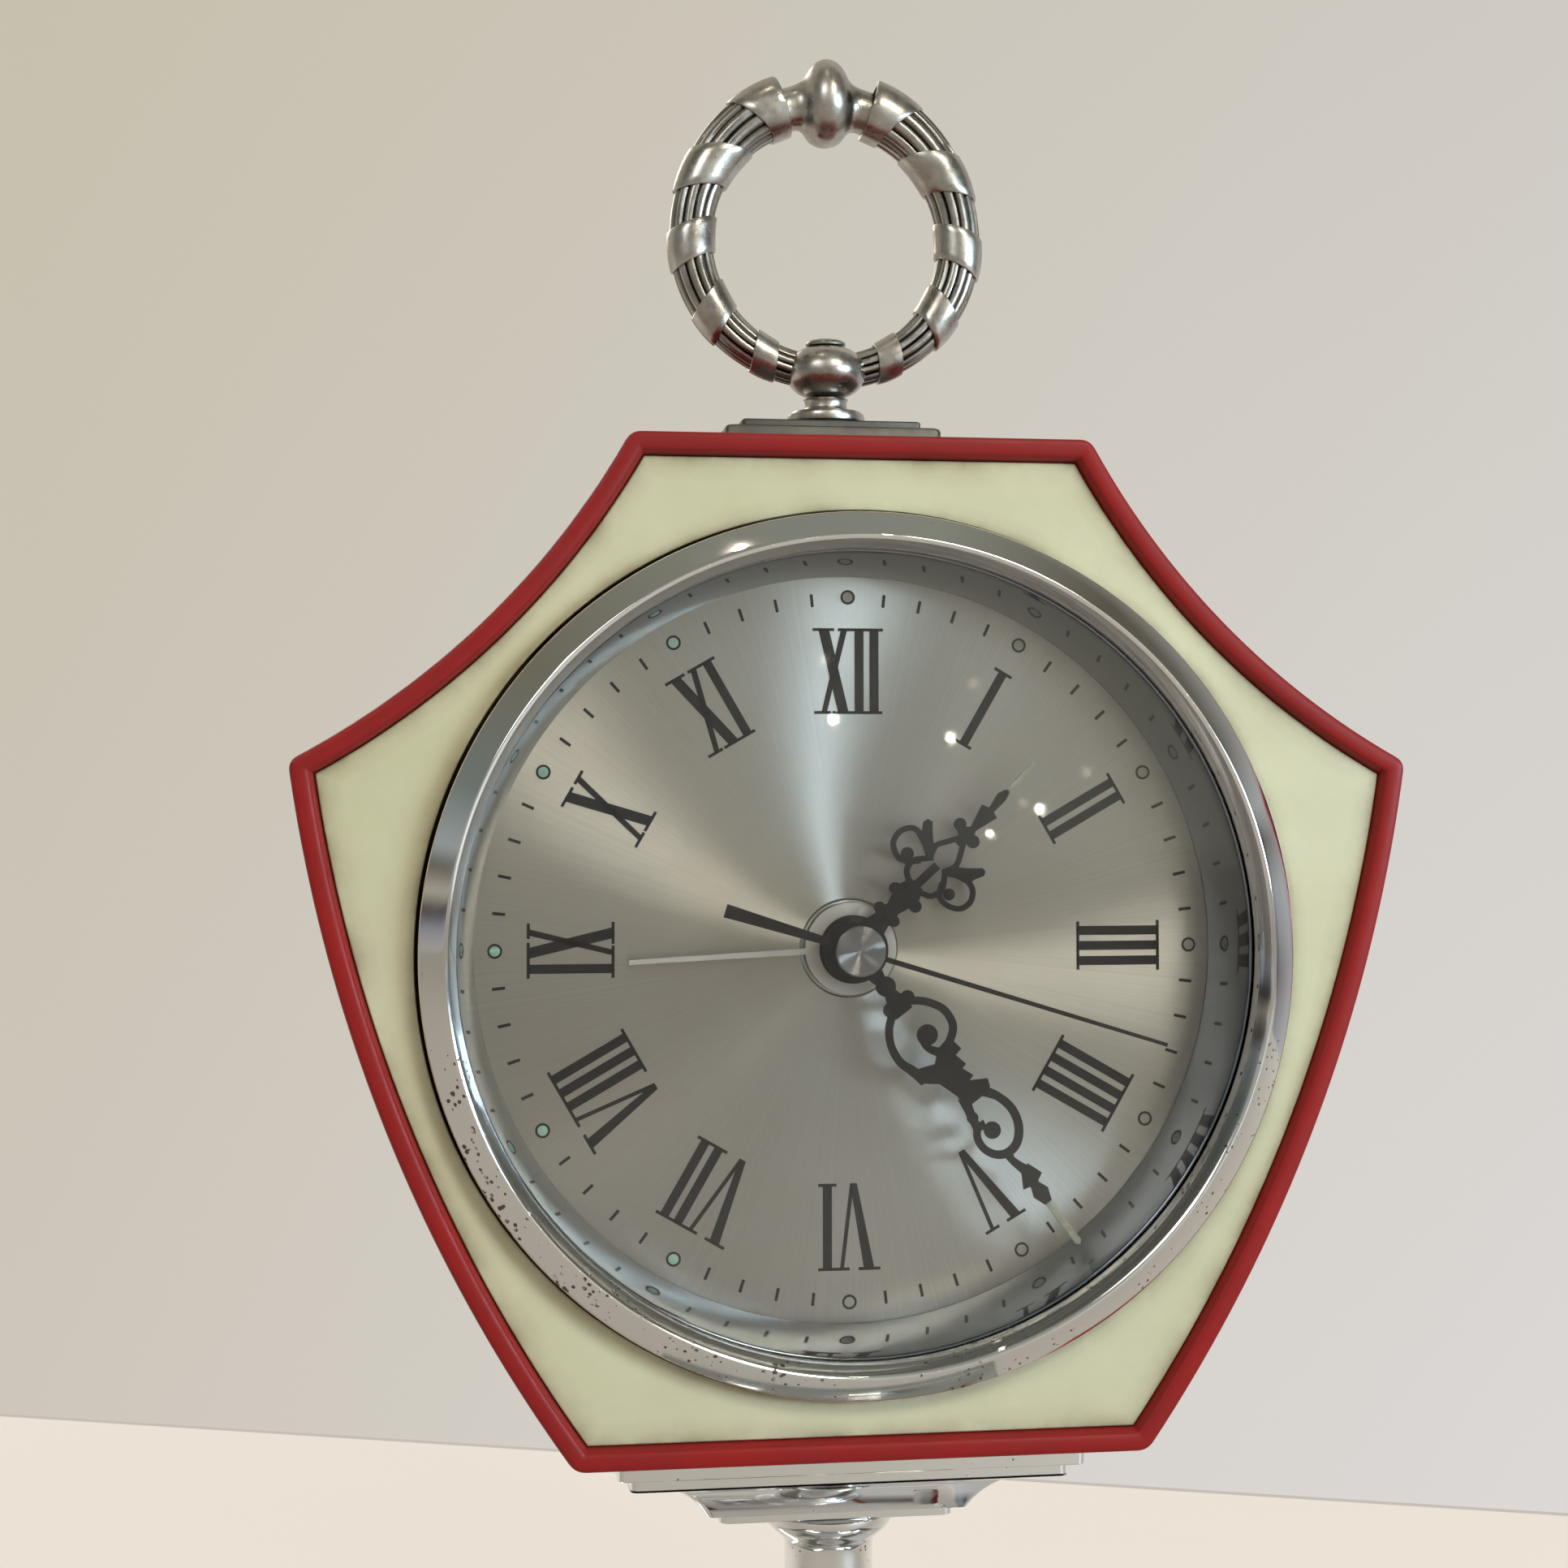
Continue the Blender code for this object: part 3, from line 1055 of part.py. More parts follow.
def make_bracket():
    bore = circle(TIE_ROD_RADIUS + PLAY, BORE_STEPS)
    narrow = rectangle(BRACKET_NARROW_HALF, BRACKET_NARROW_DEPTH, PLATE_CORNER)
    wide = rectangle(BRACKET_WIDE_HALF, BRACKET_WIDE_DEPTH, PLATE_CORNER)
    plates = stack([(BRACKET_BOTTOM, BRACKET_SHOULDER, narrow), (BRACKET_SHOULDER, BRACKET_TOP, wide)],
                   "Z", holes=[(BRACKET_BOTTOM, BRACKET_TOP, bore)])
    place_mesh("bracket_plates", plates, chrome(), (0, 0, 0))
    foot = (BRACKET_NARROW_HALF - BRACKET_COVE_REACH, BRACKET_NARROW_DEPTH - BRACKET_COVE_REACH)
    levels = cove_levels(BRACKET_COVE_BOTTOM, BRACKET_COVE_HEIGHT, foot,
                         (BRACKET_NARROW_HALF, BRACKET_NARROW_DEPTH), True)
    cove = stack(levels, "Z", holes=[(levels[0][0], levels[-1][1], bore)])
    place_mesh("bracket_cove", cove, chrome(), (0, 0, 0))
    collar = rectangle(BRACKET_COLLAR_HALF, BRACKET_COLLAR_DEPTH, PLATE_CORNER)
    plate = stack([(BRACKET_COLLAR_BOTTOM, BRACKET_COLLAR_TOP, collar)], "Z",
                  holes=[(BRACKET_COLLAR_BOTTOM, BRACKET_COLLAR_TOP, bore)])
    place_mesh("bracket_collar", plate, chrome(), (0, 0, 0))


COLUMN_BOWL_SHARES = ((0.0, 1.0), (0.34, 0.89), (0.63, 0.56), (0.83, 0.33), (1.0, 0.0))


def make_column():
    bore = TIE_ROD_RADIUS + PLAY
    flare = COLUMN_BOWL_RADIUS - COLUMN_RADIUS
    bowl = [(COLUMN_RADIUS + flare * width, COLUMN_BOWL_HEIGHT * rise)
            for rise, width in COLUMN_BOWL_SHARES]
    profile = [(radius, COLUMN_BOTTOM + height) for radius, height in bowl]
    profile += [(radius, COLUMN_TOP - height) for radius, height in reversed(bowl)]
    profile += [(bore, COLUMN_TOP), (bore, COLUMN_BOTTOM)]
    place_mesh("column", turned(profile, "Z", HUB_STEPS, closed=True), chrome(), (0, 0, 0))


def make_base():
    bore = circle(TIE_ROD_RADIUS + PLAY, BORE_STEPS)
    collar = rectangle(BASE_COLLAR_HALF, BASE_COLLAR_DEPTH, PLATE_CORNER)
    plate = stack([(BASE_COLLAR_BOTTOM, BASE_COLLAR_TOP, collar)], "Z",
                  holes=[(BASE_COLLAR_BOTTOM, BASE_COLLAR_TOP, bore)])
    place_mesh("base_collar", plate, chrome(), (0, 0, 0))
    top = (BASE_COVE_HALF - BASE_COVE_REACH, BASE_COVE_DEPTH - BASE_COVE_REACH)
    levels = cove_levels(BASE_COVE_BOTTOM, BASE_COVE_HEIGHT, top,
                         (BASE_COVE_HALF, BASE_COVE_DEPTH), False)
    cove = stack(levels, "Z", holes=[(levels[0][0], levels[-1][1], bore)])
    place_mesh("base_cove", cove, chrome(), (0, 0, 0))
    lower = rectangle(BASE_LOWER_HALF, BASE_LOWER_DEPTH, PLATE_CORNER)
    upper = rectangle(BASE_UPPER_HALF, BASE_UPPER_DEPTH, PLATE_CORNER)
    steps = stack([(BASE_BOTTOM, BASE_SHOULDER, lower), (BASE_SHOULDER, BASE_TOP, upper)], "Z")
    base = place_mesh("base_plate", steps, chrome(), (0, 0, 0))
    recess_top = BASE_BOTTOM + TIE_ROD_HEAD_HEIGHT + 2 * SEAT
    drill = stack([(BASE_BOTTOM - OVERRUN, recess_top, circle(COUNTERBORE_RADIUS)),
                   (recess_top, BASE_TOP + OVERRUN, bore)], "Z")
    combine(base, place_mesh("base_drill", drill, None, (0, 0, 0)), "DIFFERENCE")
    pad = stack([(FLOOR, PAD_TOP, rectangle(BASE_LOWER_HALF - PAD_INSET, BASE_LOWER_DEPTH - PAD_INSET,
                                            PLATE_CORNER))], "Z")
    place_mesh("base_pad", pad, black_rubber(), (0, 0, 0))


def make_tie_rod():
    head_bottom = BASE_BOTTOM + SEAT
    head_top = head_bottom + TIE_ROD_HEAD_HEIGHT
    nut_bottom = CASE_BOTTOM + CASE_WALL + SEAT
    nut_top = nut_bottom + TIE_ROD_NUT_HEIGHT
    rod = stack([(head_bottom, head_top, circle(TIE_ROD_HEAD_RADIUS, HEXAGON)),
                 (head_top, nut_top + THREAD_PROUD, circle(TIE_ROD_RADIUS, BORE_STEPS))], "Z")
    place_mesh("tie_rod", rod, steel(), (0, 0, 0))
    bore = circle(TIE_ROD_RADIUS + SEAT, BORE_STEPS)
    nut = stack([(nut_bottom, nut_top, circle(TIE_ROD_HEAD_RADIUS, HEXAGON))], "Z",
                holes=[(nut_bottom, nut_top, bore)])
    place_mesh("tie_rod_nut", nut, steel(), (0, 0, 0))


# Hands. Shares are of the hand's length: the first runs out along the hand, the second across it.

HOUR_EDGE_SHARES = (
    (0.16, 0.038), (0.185, 0.060), (0.22, 0.032), (0.27, 0.072), (0.30, 0.080), (0.34, 0.060),
    (0.365, 0.095), (0.365, 0.150), (0.39, 0.190), (0.43, 0.205), (0.475, 0.185), (0.495, 0.165),
    (0.55, 0.160), (0.52, 0.120), (0.51, 0.085), (0.55, 0.045), (0.58, 0.045), (0.60, 0.075),
    (0.625, 0.065), (0.635, 0.020), (0.73, 0.038), (0.735, 0.015), (0.80, 0.025), (0.84, 0.011),
    (1.0, 0.011),
)
HOUR_OPENING_SHARES = (
    ((0.385, 0.115), (0.385, 0.150), (0.405, 0.173), (0.435, 0.177), (0.460, 0.163), (0.472, 0.135),
     (0.455, 0.105), (0.425, 0.095)),
    ((0.36, 0.030), (0.385, 0.060), (0.42, 0.055), (0.42, 0.025), (0.39, 0.018)),
)
HOUR_MIDDLE_SHARES = ((0.445, 0.0), (0.48, 0.040), (0.525, 0.0), (0.48, -0.040))
MINUTE_LEFT_SHARES = (
    (0.100, 0.018), (0.126, 0.026), (0.155, 0.018), (0.172, 0.048), (0.200, 0.046), (0.225, 0.080),
    (0.260, 0.098), (0.300, 0.100), (0.335, 0.088), (0.360, 0.078), (0.385, 0.062), (0.425, 0.050),
    (0.460, 0.042), (0.480, 0.075), (0.505, 0.072), (0.520, 0.058), (0.570, 0.074), (0.630, 0.076),
    (0.675, 0.045), (0.700, 0.018), (0.740, 0.012), (0.780, 0.034), (0.795, 0.014), (0.822, 0.025),
    (0.855, 0.010), (1.0, 0.008),
)
MINUTE_RIGHT_SHARES = (
    (1.0, 0.008), (0.855, 0.010), (0.822, 0.025), (0.795, 0.014), (0.788, 0.030), (0.745, 0.010),
    (0.695, 0.025), (0.665, 0.052), (0.630, 0.064), (0.590, 0.058), (0.565, 0.038), (0.545, 0.038),
    (0.515, 0.025), (0.450, 0.042), (0.395, 0.080), (0.355, 0.086), (0.310, 0.098), (0.250, 0.092),
    (0.205, 0.055), (0.190, 0.044), (0.172, 0.042), (0.155, 0.018), (0.126, 0.026), (0.100, 0.018),
)
MINUTE_OPENING_SHARES = (
    ((0.220, 0.005), (0.228, -0.030), (0.250, -0.064), (0.290, -0.078), (0.320, -0.066),
     (0.322, -0.048), (0.305, -0.046), (0.280, -0.038), (0.268, -0.014), (0.280, 0.010),
     (0.305, 0.015), (0.330, 0.002), (0.355, -0.008), (0.365, 0.025), (0.360, 0.050), (0.345, 0.060),
     (0.310, 0.072), (0.265, 0.064), (0.235, 0.038)),
    ((0.535, -0.030), (0.585, -0.053), (0.628, -0.053), (0.665, -0.020), (0.660, 0.015),
     (0.638, 0.034), (0.638, 0.005), (0.625, -0.020), (0.600, -0.023), (0.578, -0.010),
     (0.560, -0.014)),
)


def turned_out(points, length, angle):
    """Takes shares along and across a hand to places on the dial."""
    out = (math.sin(angle), math.cos(angle))
    right = (math.cos(angle), -math.sin(angle))
    return [(length * (a * out[0] + b * right[0]), length * (a * out[1] + b * right[1]))
            for a, b in points]


def hand_outline(left, right, length, hub_radius, angle):
    """A hand's edge: round its hub, out along its left side and back along its right."""
    share = hub_radius / length
    start = math.asin(left[0][1] / share)
    hub = [(share * math.cos(a), share * math.sin(a)) for a in
           [start + (2 * math.pi - 2 * start) * step / 18 for step in range(19)]]
    edge = hub + [(a, -b) for a, b in left[1:]] + [(a, b) for a, b in right[:-1]]
    return turned_out(edge, length, angle)


def make_hour_hand():
    back = HOUR_HAND_FRONT + HAND_THICKNESS
    right = HOUR_EDGE_SHARES[::-1]
    outline = hand_outline(HOUR_EDGE_SHARES, right, HOUR_HAND_LENGTH, HOUR_HUB_RADIUS, HOUR_HAND_ANGLE)
    openings = [HOUR_MIDDLE_SHARES]
    for opening in HOUR_OPENING_SHARES:
        openings += [opening, [(a, -b) for a, b in opening]]
    holes = [(HOUR_HAND_FRONT, back, turned_out(opening, HOUR_HAND_LENGTH, HOUR_HAND_ANGLE))
             for opening in openings]
    holes.append((HOUR_HAND_FRONT, back, circle(HOUR_PIPE_RADIUS + SEAT)))
    place_mesh("hour_hand", stack([(HOUR_HAND_FRONT, back, outline)], holes=holes),
               black_paint(), at(CENTRE))


def make_minute_hand():
    back = MINUTE_HAND_FRONT + HAND_THICKNESS
    outline = hand_outline(MINUTE_LEFT_SHARES, MINUTE_RIGHT_SHARES, MINUTE_HAND_LENGTH,
                           MINUTE_HUB_RADIUS, MINUTE_HAND_ANGLE)
    holes = [(MINUTE_HAND_FRONT, back, turned_out(opening, MINUTE_HAND_LENGTH, MINUTE_HAND_ANGLE))
             for opening in MINUTE_OPENING_SHARES]
    holes.append((MINUTE_HAND_FRONT, back, circle(CANNON_RADIUS + SEAT)))
    place_mesh("minute_hand", stack([(MINUTE_HAND_FRONT, back, outline)], holes=holes),
               black_paint(), at(CENTRE))


def make_second_hand():
    back = SECOND_HAND_FRONT + HAND_THICKNESS
    length = SECOND_HAND_LENGTH
    hub = SECOND_HUB_RADIUS / length
    tip = SECOND_HAND_TIP_HALF / length
    tail = SECOND_HAND_TAIL_HALF / length
    root = (tip + tail) / 2
    reach = math.sqrt(hub**2 - root**2)
    start = math.atan2(root, reach)
    upper = [(hub * math.cos(a), hub * math.sin(a)) for a in
             [start + (math.pi - 2 * start) * step / 6 for step in range(7)]]
    end = SECOND_HAND_TAIL / length
    points = [(1.0, tip)] + upper + [(-end, tail), (-end, -tail)]
    points += [(a, -b) for a, b in reversed(upper)] + [(1.0, -tip)]
    outline = turned_out(points, length, SECOND_HAND_ANGLE)
    bore = circle(SECOND_ARBOR_RADIUS + SEAT, PIN_STEPS)
    hand = stack([(SECOND_HAND_FRONT, back, outline)], holes=[(SECOND_HAND_FRONT, back, bore)])
    place_mesh("second_hand", hand, black_paint(), at(CENTRE))


def make_hand_cap():
    bore = SECOND_ARBOR_RADIUS + SEAT
    shoulder = CAP_FRONT + CAP_CONE_HEIGHT
    bore_end = CAP_FRONT + CAP_CROWN
    profile = [(0.0, CAP_FRONT), (CAP_RADIUS, shoulder), (CAP_RADIUS, shoulder + CAP_EDGE),
               (bore, shoulder + CAP_EDGE), (bore, bore_end), (0.0, bore_end)]
    place_mesh("hand_cap", turned(profile, "Y", HUB_STEPS), satin_chrome(), at(CENTRE))


def make_alarm_hand():
    back = ALARM_HAND_FRONT + HAND_THICKNESS
    share = ALARM_HUB_RADIUS / ALARM_HAND_LENGTH
    half = ALARM_HAND_HALF / ALARM_HAND_LENGTH
    edge = ((share, half), (1.0, half))
    outline = hand_outline(edge, edge[::-1], ALARM_HAND_LENGTH, ALARM_HUB_RADIUS, ALARM_HAND_ANGLE)
    bore = circle(ALARM_PIPE_RADIUS + SEAT)
    hand = stack([(ALARM_HAND_FRONT, back, outline)], holes=[(ALARM_HAND_FRONT, back, bore)])
    place_mesh("alarm_hand", hand, pale_paint(), at(CENTRE))


# Movement


def plate_outline(with_ear):
    """A plate of the movement. The front one has an ear at the right that carries the bell."""
    right = [(PLATE_TOP_HALF, PLATE_TOP_RISE)]
    if with_ear:
        root = (PLATE_TOP_HALF + PLATE_WIDE_HALF) / 2
        reach = BELL_SIDE + BELL_EAR_HALF
        right += [(root, BELL_RISE + BELL_EAR_HALF), (reach, BELL_RISE + BELL_EAR_HALF),
                  (reach, BELL_RISE - BELL_EAR_HALF), (PLATE_WIDE_HALF, BELL_RISE - BELL_EAR_HALF)]
    right += [(PLATE_WIDE_HALF, -PLATE_WIDE_DROP), (PLATE_FOOT_HALF, -PLATE_FOOT_DROP)]
    left = [(-PLATE_FOOT_HALF, -PLATE_FOOT_DROP), (-PLATE_WIDE_HALF, -PLATE_WIDE_DROP),
            (-PLATE_TOP_HALF, PLATE_TOP_RISE)]
    return right + left


def make_plates():
    thin = (THIRD_PLACE, ESCAPE_PLACE, PALLET_PLACE, BALANCE_PLACE, ALARM_ESCAPE_PLACE, HAMMER_PLACE)
    pivots = [circle(ARBOR_RADIUS + PLAY, PIN_STEPS, place) for place in thin]
    pivots += [circle(WINDING_ARBOR_RADIUS + PLAY, PIN_STEPS, place)
               for place in (GREAT_PLACE, ALARM_SPRING_PLACE)]
    pivots += [circle(SETTING_SHAFT_RADIUS + PLAY, PIN_STEPS, place)
               for place in (TIME_SET_PLACE, ALARM_SET_PLACE)]
    pivots += [circle(PILLAR_TENON_RADIUS + SEAT, PIN_STEPS, place) for place in PILLAR_PLACES]
    only_front = [circle(CENTRE_PIPE_RADIUS + PLAY, BORE_STEPS),
                  circle(ARBOR_RADIUS + PLAY, PIN_STEPS, MINUTE_PLACE)]
    only_rear = [circle(SECOND_ARBOR_RADIUS + PLAY, PIN_STEPS),
                 circle(STOP_ROD_RADIUS + PLAY, PIN_STEPS, STOP_PLACE)]
    sides = (
        ("front_plate", FRONT_PLATE_FRONT, FRONT_PLATE_BACK, True, only_front),
        ("rear_plate", REAR_PLATE_FRONT, REAR_PLATE_BACK, False, only_rear),
    )
    for name, start, end, with_ear, own in sides:
        holes = [(start, end, outline) for outline in pivots + own]
        plate = stack([(start, end, plate_outline(with_ear))], holes=holes)
        place_mesh(name, plate, brass(), at(CENTRE))


def make_pillars():
    shoulder_front = FRONT_PLATE_BACK + SEAT
    shoulder_back = REAR_PLATE_FRONT - SEAT
    for number, place in enumerate(PILLAR_PLACES):
        tenon = circle(PILLAR_TENON_RADIUS, PIN_STEPS)
        pillar = stack([(PIVOT_FRONT, shoulder_front, tenon),
                        (shoulder_front, shoulder_back, circle(PILLAR_RADIUS, PIN_STEPS)),
                        (shoulder_back, PIVOT_BACK, tenon)])
        place_mesh(f"plate_pillar_{number + 1}", pillar, brass(), at(place))


def wheel_windows(start, radius, hub_radius=CROSSING_HUB, thickness=WHEEL_THICKNESS):
    rim = radius - TOOTH_DEPTH - CROSSING_RIM
    return [(start, start + thickness, window) for window in crossings(rim, hub_radius)]


def make_going_arbor():
    end = KEY_BACK - KEY_CROWN
    arbor = stack([(PIVOT_FRONT, end, circle(WINDING_ARBOR_RADIUS, PIN_STEPS))])
    place_mesh("going_arbor", arbor, steel(), at(GREAT_PLACE))
    strip = spiral(SPRING_INNER, MAINSPRING_OUTER, MAINSPRING_TURNS, SPRING_THICKNESS)
    spring = stack([(SPRING_FRONT, SPRING_FRONT + SPRING_WIDTH, strip)])
    place_mesh("mainspring", spring, steel(), at(GREAT_PLACE))
    radius = gear_radius(GREAT_TEETH, CENTRE_PINION_LEAVES, GREAT_DISTANCE)
    back = GREAT_LEVEL + GREAT_THICKNESS
    bore = (GREAT_LEVEL, back, circle(WINDING_ARBOR_RADIUS + PLAY, PIN_STEPS))
    wheel = stack([(GREAT_LEVEL, back, gear(GREAT_TEETH, radius))], holes=[bore])
    place_mesh("great_wheel", wheel, brass(), at(GREAT_PLACE))


def make_centre_wheel():
    pipe = circle(CENTRE_PIPE_RADIUS, BORE_STEPS)
    wheel_radius = gear_radius(CENTRE_TEETH, PINION_LEAVES, THIRD_DISTANCE)
    pinion_radius = gear_radius(CENTRE_PINION_LEAVES, GREAT_TEETH, GREAT_DISTANCE)
    wheel_back = CENTRE_LEVEL + WHEEL_THICKNESS
    pinion_back = CENTRE_PINION_LEVEL + CENTRE_PINION_LENGTH
    pipe_front = ALARM_HAND_FRONT
    holes = wheel_windows(CENTRE_LEVEL, wheel_radius)
    holes.append((pipe_front, pinion_back, circle(CENTRE_PIPE_BORE, PIN_STEPS)))
    wheel = stack([(pipe_front, CENTRE_LEVEL, pipe),
                   (CENTRE_LEVEL, wheel_back, gear(CENTRE_TEETH, wheel_radius)),
                   (wheel_back, CENTRE_PINION_LEVEL, pipe),
                   (CENTRE_PINION_LEVEL, pinion_back, gear(CENTRE_PINION_LEAVES, pinion_radius))],
                  holes=holes)
    place_mesh("centre_wheel", wheel, brass(), at(CENTRE))


def make_third_wheel():
    arbor = circle(ARBOR_RADIUS, PIN_STEPS)
    pinion_front = CENTRE_LEVEL - PINION_LEAD
    pinion_back = pinion_front + PINION_LENGTH
    pinion_radius = gear_radius(PINION_LEAVES, CENTRE_TEETH, THIRD_DISTANCE)
    radius = gear_radius(THIRD_TEETH, PINION_LEAVES, THIRD_DISTANCE)
    back = THIRD_LEVEL + WHEEL_THICKNESS
    wheel = stack([(PIVOT_FRONT, pinion_front, arbor),
                   (pinion_front, pinion_back, gear(PINION_LEAVES, pinion_radius, TOOTH_DEPTH / 2)),
                   (pinion_back, THIRD_LEVEL, arbor),
                   (THIRD_LEVEL, back, gear(THIRD_TEETH, radius)),
                   (back, PIVOT_BACK, arbor)], holes=wheel_windows(THIRD_LEVEL, radius))
    place_mesh("third_wheel", wheel, brass(), at(THIRD_PLACE))


def make_fourth_wheel():
    arbor = circle(SECOND_ARBOR_RADIUS, PIN_STEPS)
    pinion_front = THIRD_LEVEL - PINION_LEAD
    pinion_back = pinion_front + PINION_LENGTH
    pinion_radius = gear_radius(PINION_LEAVES, THIRD_TEETH, THIRD_DISTANCE)
    radius = gear_radius(FOURTH_TEETH, ESCAPE_PINION_LEAVES, ESCAPE_DISTANCE)
    back = FOURTH_LEVEL + WHEEL_THICKNESS
    tip = CAP_FRONT + CAP_CROWN + SEAT
    wheel = stack([(tip, pinion_front, arbor),
                   (pinion_front, pinion_back, gear(PINION_LEAVES, pinion_radius, TOOTH_DEPTH / 2)),
                   (pinion_back, FOURTH_LEVEL, arbor),
                   (FOURTH_LEVEL, back, gear(FOURTH_TEETH, radius)),
                   (back, PIVOT_BACK, arbor)], holes=wheel_windows(FOURTH_LEVEL, radius))
    place_mesh("fourth_wheel", wheel, brass(), at(CENTRE))


def make_escape_wheel():
    arbor = circle(ARBOR_RADIUS, PIN_STEPS)
    pinion_front = FOURTH_LEVEL - PINION_LEAD
    pinion_back = pinion_front + PINION_LENGTH
    pinion_radius = gear_radius(ESCAPE_PINION_LEAVES, FOURTH_TEETH, ESCAPE_DISTANCE)
    back = ESCAPE_LEVEL + ESCAPE_THICKNESS
    leaves = gear(ESCAPE_PINION_LEAVES, pinion_radius, TOOTH_DEPTH / 4)
    wheel = stack([(PIVOT_FRONT, pinion_front, arbor), (pinion_front, pinion_back, leaves),
                   (pinion_back, ESCAPE_LEVEL, arbor),
                   (ESCAPE_LEVEL, back, gear(ESCAPE_TEETH, ESCAPE_RADIUS, 2 * TOOTH_DEPTH)),
                   (back, PIVOT_BACK, arbor)])
    place_mesh("escape_wheel", wheel, brass(), at(ESCAPE_PLACE))


def make_pallet_lever():
    """The lever rocks between the escape wheel and the roller of the balance."""
    arbor = circle(ARBOR_RADIUS, PIN_STEPS)
    fork = BALANCE_DISTANCE - ROLLER_RADIUS - 2 * MESH_GAP
    arm = PALLET_ARM
    half = [(fork, arm * 1.8), (fork - 2 * arm, arm * 0.8), (2 * arm, arm), (arm, 2 * arm),
            (-arm, PALLET_REACH), (-PALLET_DROP, PALLET_REACH + arm), (-PALLET_DROP, PALLET_REACH),
            (-3 * arm, PALLET_REACH - arm), (-2 * arm, 0.0)]
    outline = half + [(a, -b) for a, b in reversed(half[:-1])]
    turned_points = turned_out(outline, 1.0, PALLET_DIRECTION)
    back = ESCAPE_LEVEL + ESCAPE_THICKNESS
    lever = stack([(PIVOT_FRONT, ESCAPE_LEVEL, arbor), (ESCAPE_LEVEL, back, turned_points),
                   (back, PIVOT_BACK, arbor)])
    place_mesh("pallet_lever", lever, steel(), at(PALLET_PLACE))


def make_balance():
    staff = circle(ARBOR_RADIUS, PIN_STEPS)
    collar = circle(ROLLER_RADIUS, BORE_STEPS)
    back = BALANCE_LEVEL + BALANCE_THICKNESS
    windows = [(BALANCE_LEVEL, back, window)
               for window in crossings(BALANCE_RADIUS - BALANCE_RIM, CROSSING_HUB)]
    collet_back = HAIRSPRING_LEVEL + HAIRSPRING_WIDTH
    wheel = stack([(PIVOT_FRONT, BALANCE_LEVEL, staff),
                   (BALANCE_LEVEL, back, circle(BALANCE_RADIUS, ROUND_STEPS)),
                   (back, ESCAPE_LEVEL, staff), (ESCAPE_LEVEL, ESCAPE_LEVEL + ESCAPE_THICKNESS, collar),
                   (ESCAPE_LEVEL + ESCAPE_THICKNESS, HAIRSPRING_LEVEL, staff),
                   (HAIRSPRING_LEVEL, collet_back, collar), (collet_back, PIVOT_BACK, staff)],
                  holes=windows)
    place_mesh("balance_wheel", wheel, brass(), at(BALANCE_PLACE))
    strip = spiral(HAIRSPRING_INNER, HAIRSPRING_OUTER, HAIRSPRING_TURNS, HAIRSPRING_THICKNESS)
    spring = stack([(HAIRSPRING_LEVEL, collet_back, strip)])
    place_mesh("hairspring", spring, steel(), at(BALANCE_PLACE))


def make_motion_work():
    minute_back = MINUTE_LEVEL + WHEEL_THICKNESS
    hour_back = HOUR_LEVEL + WHEEL_THICKNESS
    alarm_back = ALARM_LEVEL + WHEEL_THICKNESS
    cannon_front = MINUTE_HAND_FRONT - PIPE_PROUD
    cannon_tip = gear_radius(CANNON_TEETH, MINUTE_TEETH, MOTION_DISTANCE)
    cannon = stack([(cannon_front, MINUTE_LEVEL, circle(CANNON_RADIUS, BORE_STEPS)),
                    (MINUTE_LEVEL, minute_back, gear(CANNON_TEETH, cannon_tip, TOOTH_DEPTH / 2))],
                   holes=[(cannon_front, minute_back, circle(CANNON_BORE, BORE_STEPS))])
    place_mesh("cannon_pinion", cannon, steel(), at(CENTRE))

    hour_front = HOUR_HAND_FRONT - PIPE_PROUD
    hour_tip = gear_radius(HOUR_TEETH, MINUTE_PINION_LEAVES, MOTION_DISTANCE)
    hour = stack([(hour_front, HOUR_LEVEL, circle(HOUR_PIPE_RADIUS, BORE_STEPS)),
                  (HOUR_LEVEL, hour_back, gear(HOUR_TEETH, hour_tip))],
                 holes=[(hour_front, hour_back, circle(HOUR_BORE, BORE_STEPS))])
    place_mesh("hour_wheel", hour, brass(), at(CENTRE))

    alarm_front = ALARM_HAND_FRONT - PIPE_PROUD
    alarm_tip = gear_radius(ALARM_TEETH, ALARM_SET_TEETH, ALARM_SET_DISTANCE)
    alarm = stack([(alarm_front, ALARM_LEVEL, circle(ALARM_PIPE_RADIUS, BORE_STEPS)),
                   (ALARM_LEVEL, alarm_back, gear(ALARM_TEETH, alarm_tip))],
                  holes=[(alarm_front, alarm_back, circle(ALARM_BORE, BORE_STEPS))])
    place_mesh("alarm_wheel", alarm, brass(), at(CENTRE))

    pinion_tip = gear_radius(MINUTE_PINION_LEAVES, HOUR_TEETH, MOTION_DISTANCE)
    minute_tip = gear_radius(MINUTE_TEETH, CANNON_TEETH, MOTION_DISTANCE)
    hub = circle(ARBOR_RADIUS, PIN_STEPS)
    minute = stack([(HOUR_LEVEL, hour_back, gear(MINUTE_PINION_LEAVES, pinion_tip, TOOTH_DEPTH / 2)),
                    (hour_back, MINUTE_LEVEL, hub),
                    (MINUTE_LEVEL, minute_back, gear(MINUTE_TEETH, minute_tip)),
                    (minute_back, FRONT_PLATE_BACK - SEAT, hub)])
    place_mesh("minute_wheel", minute, brass(), at(MINUTE_PLACE))


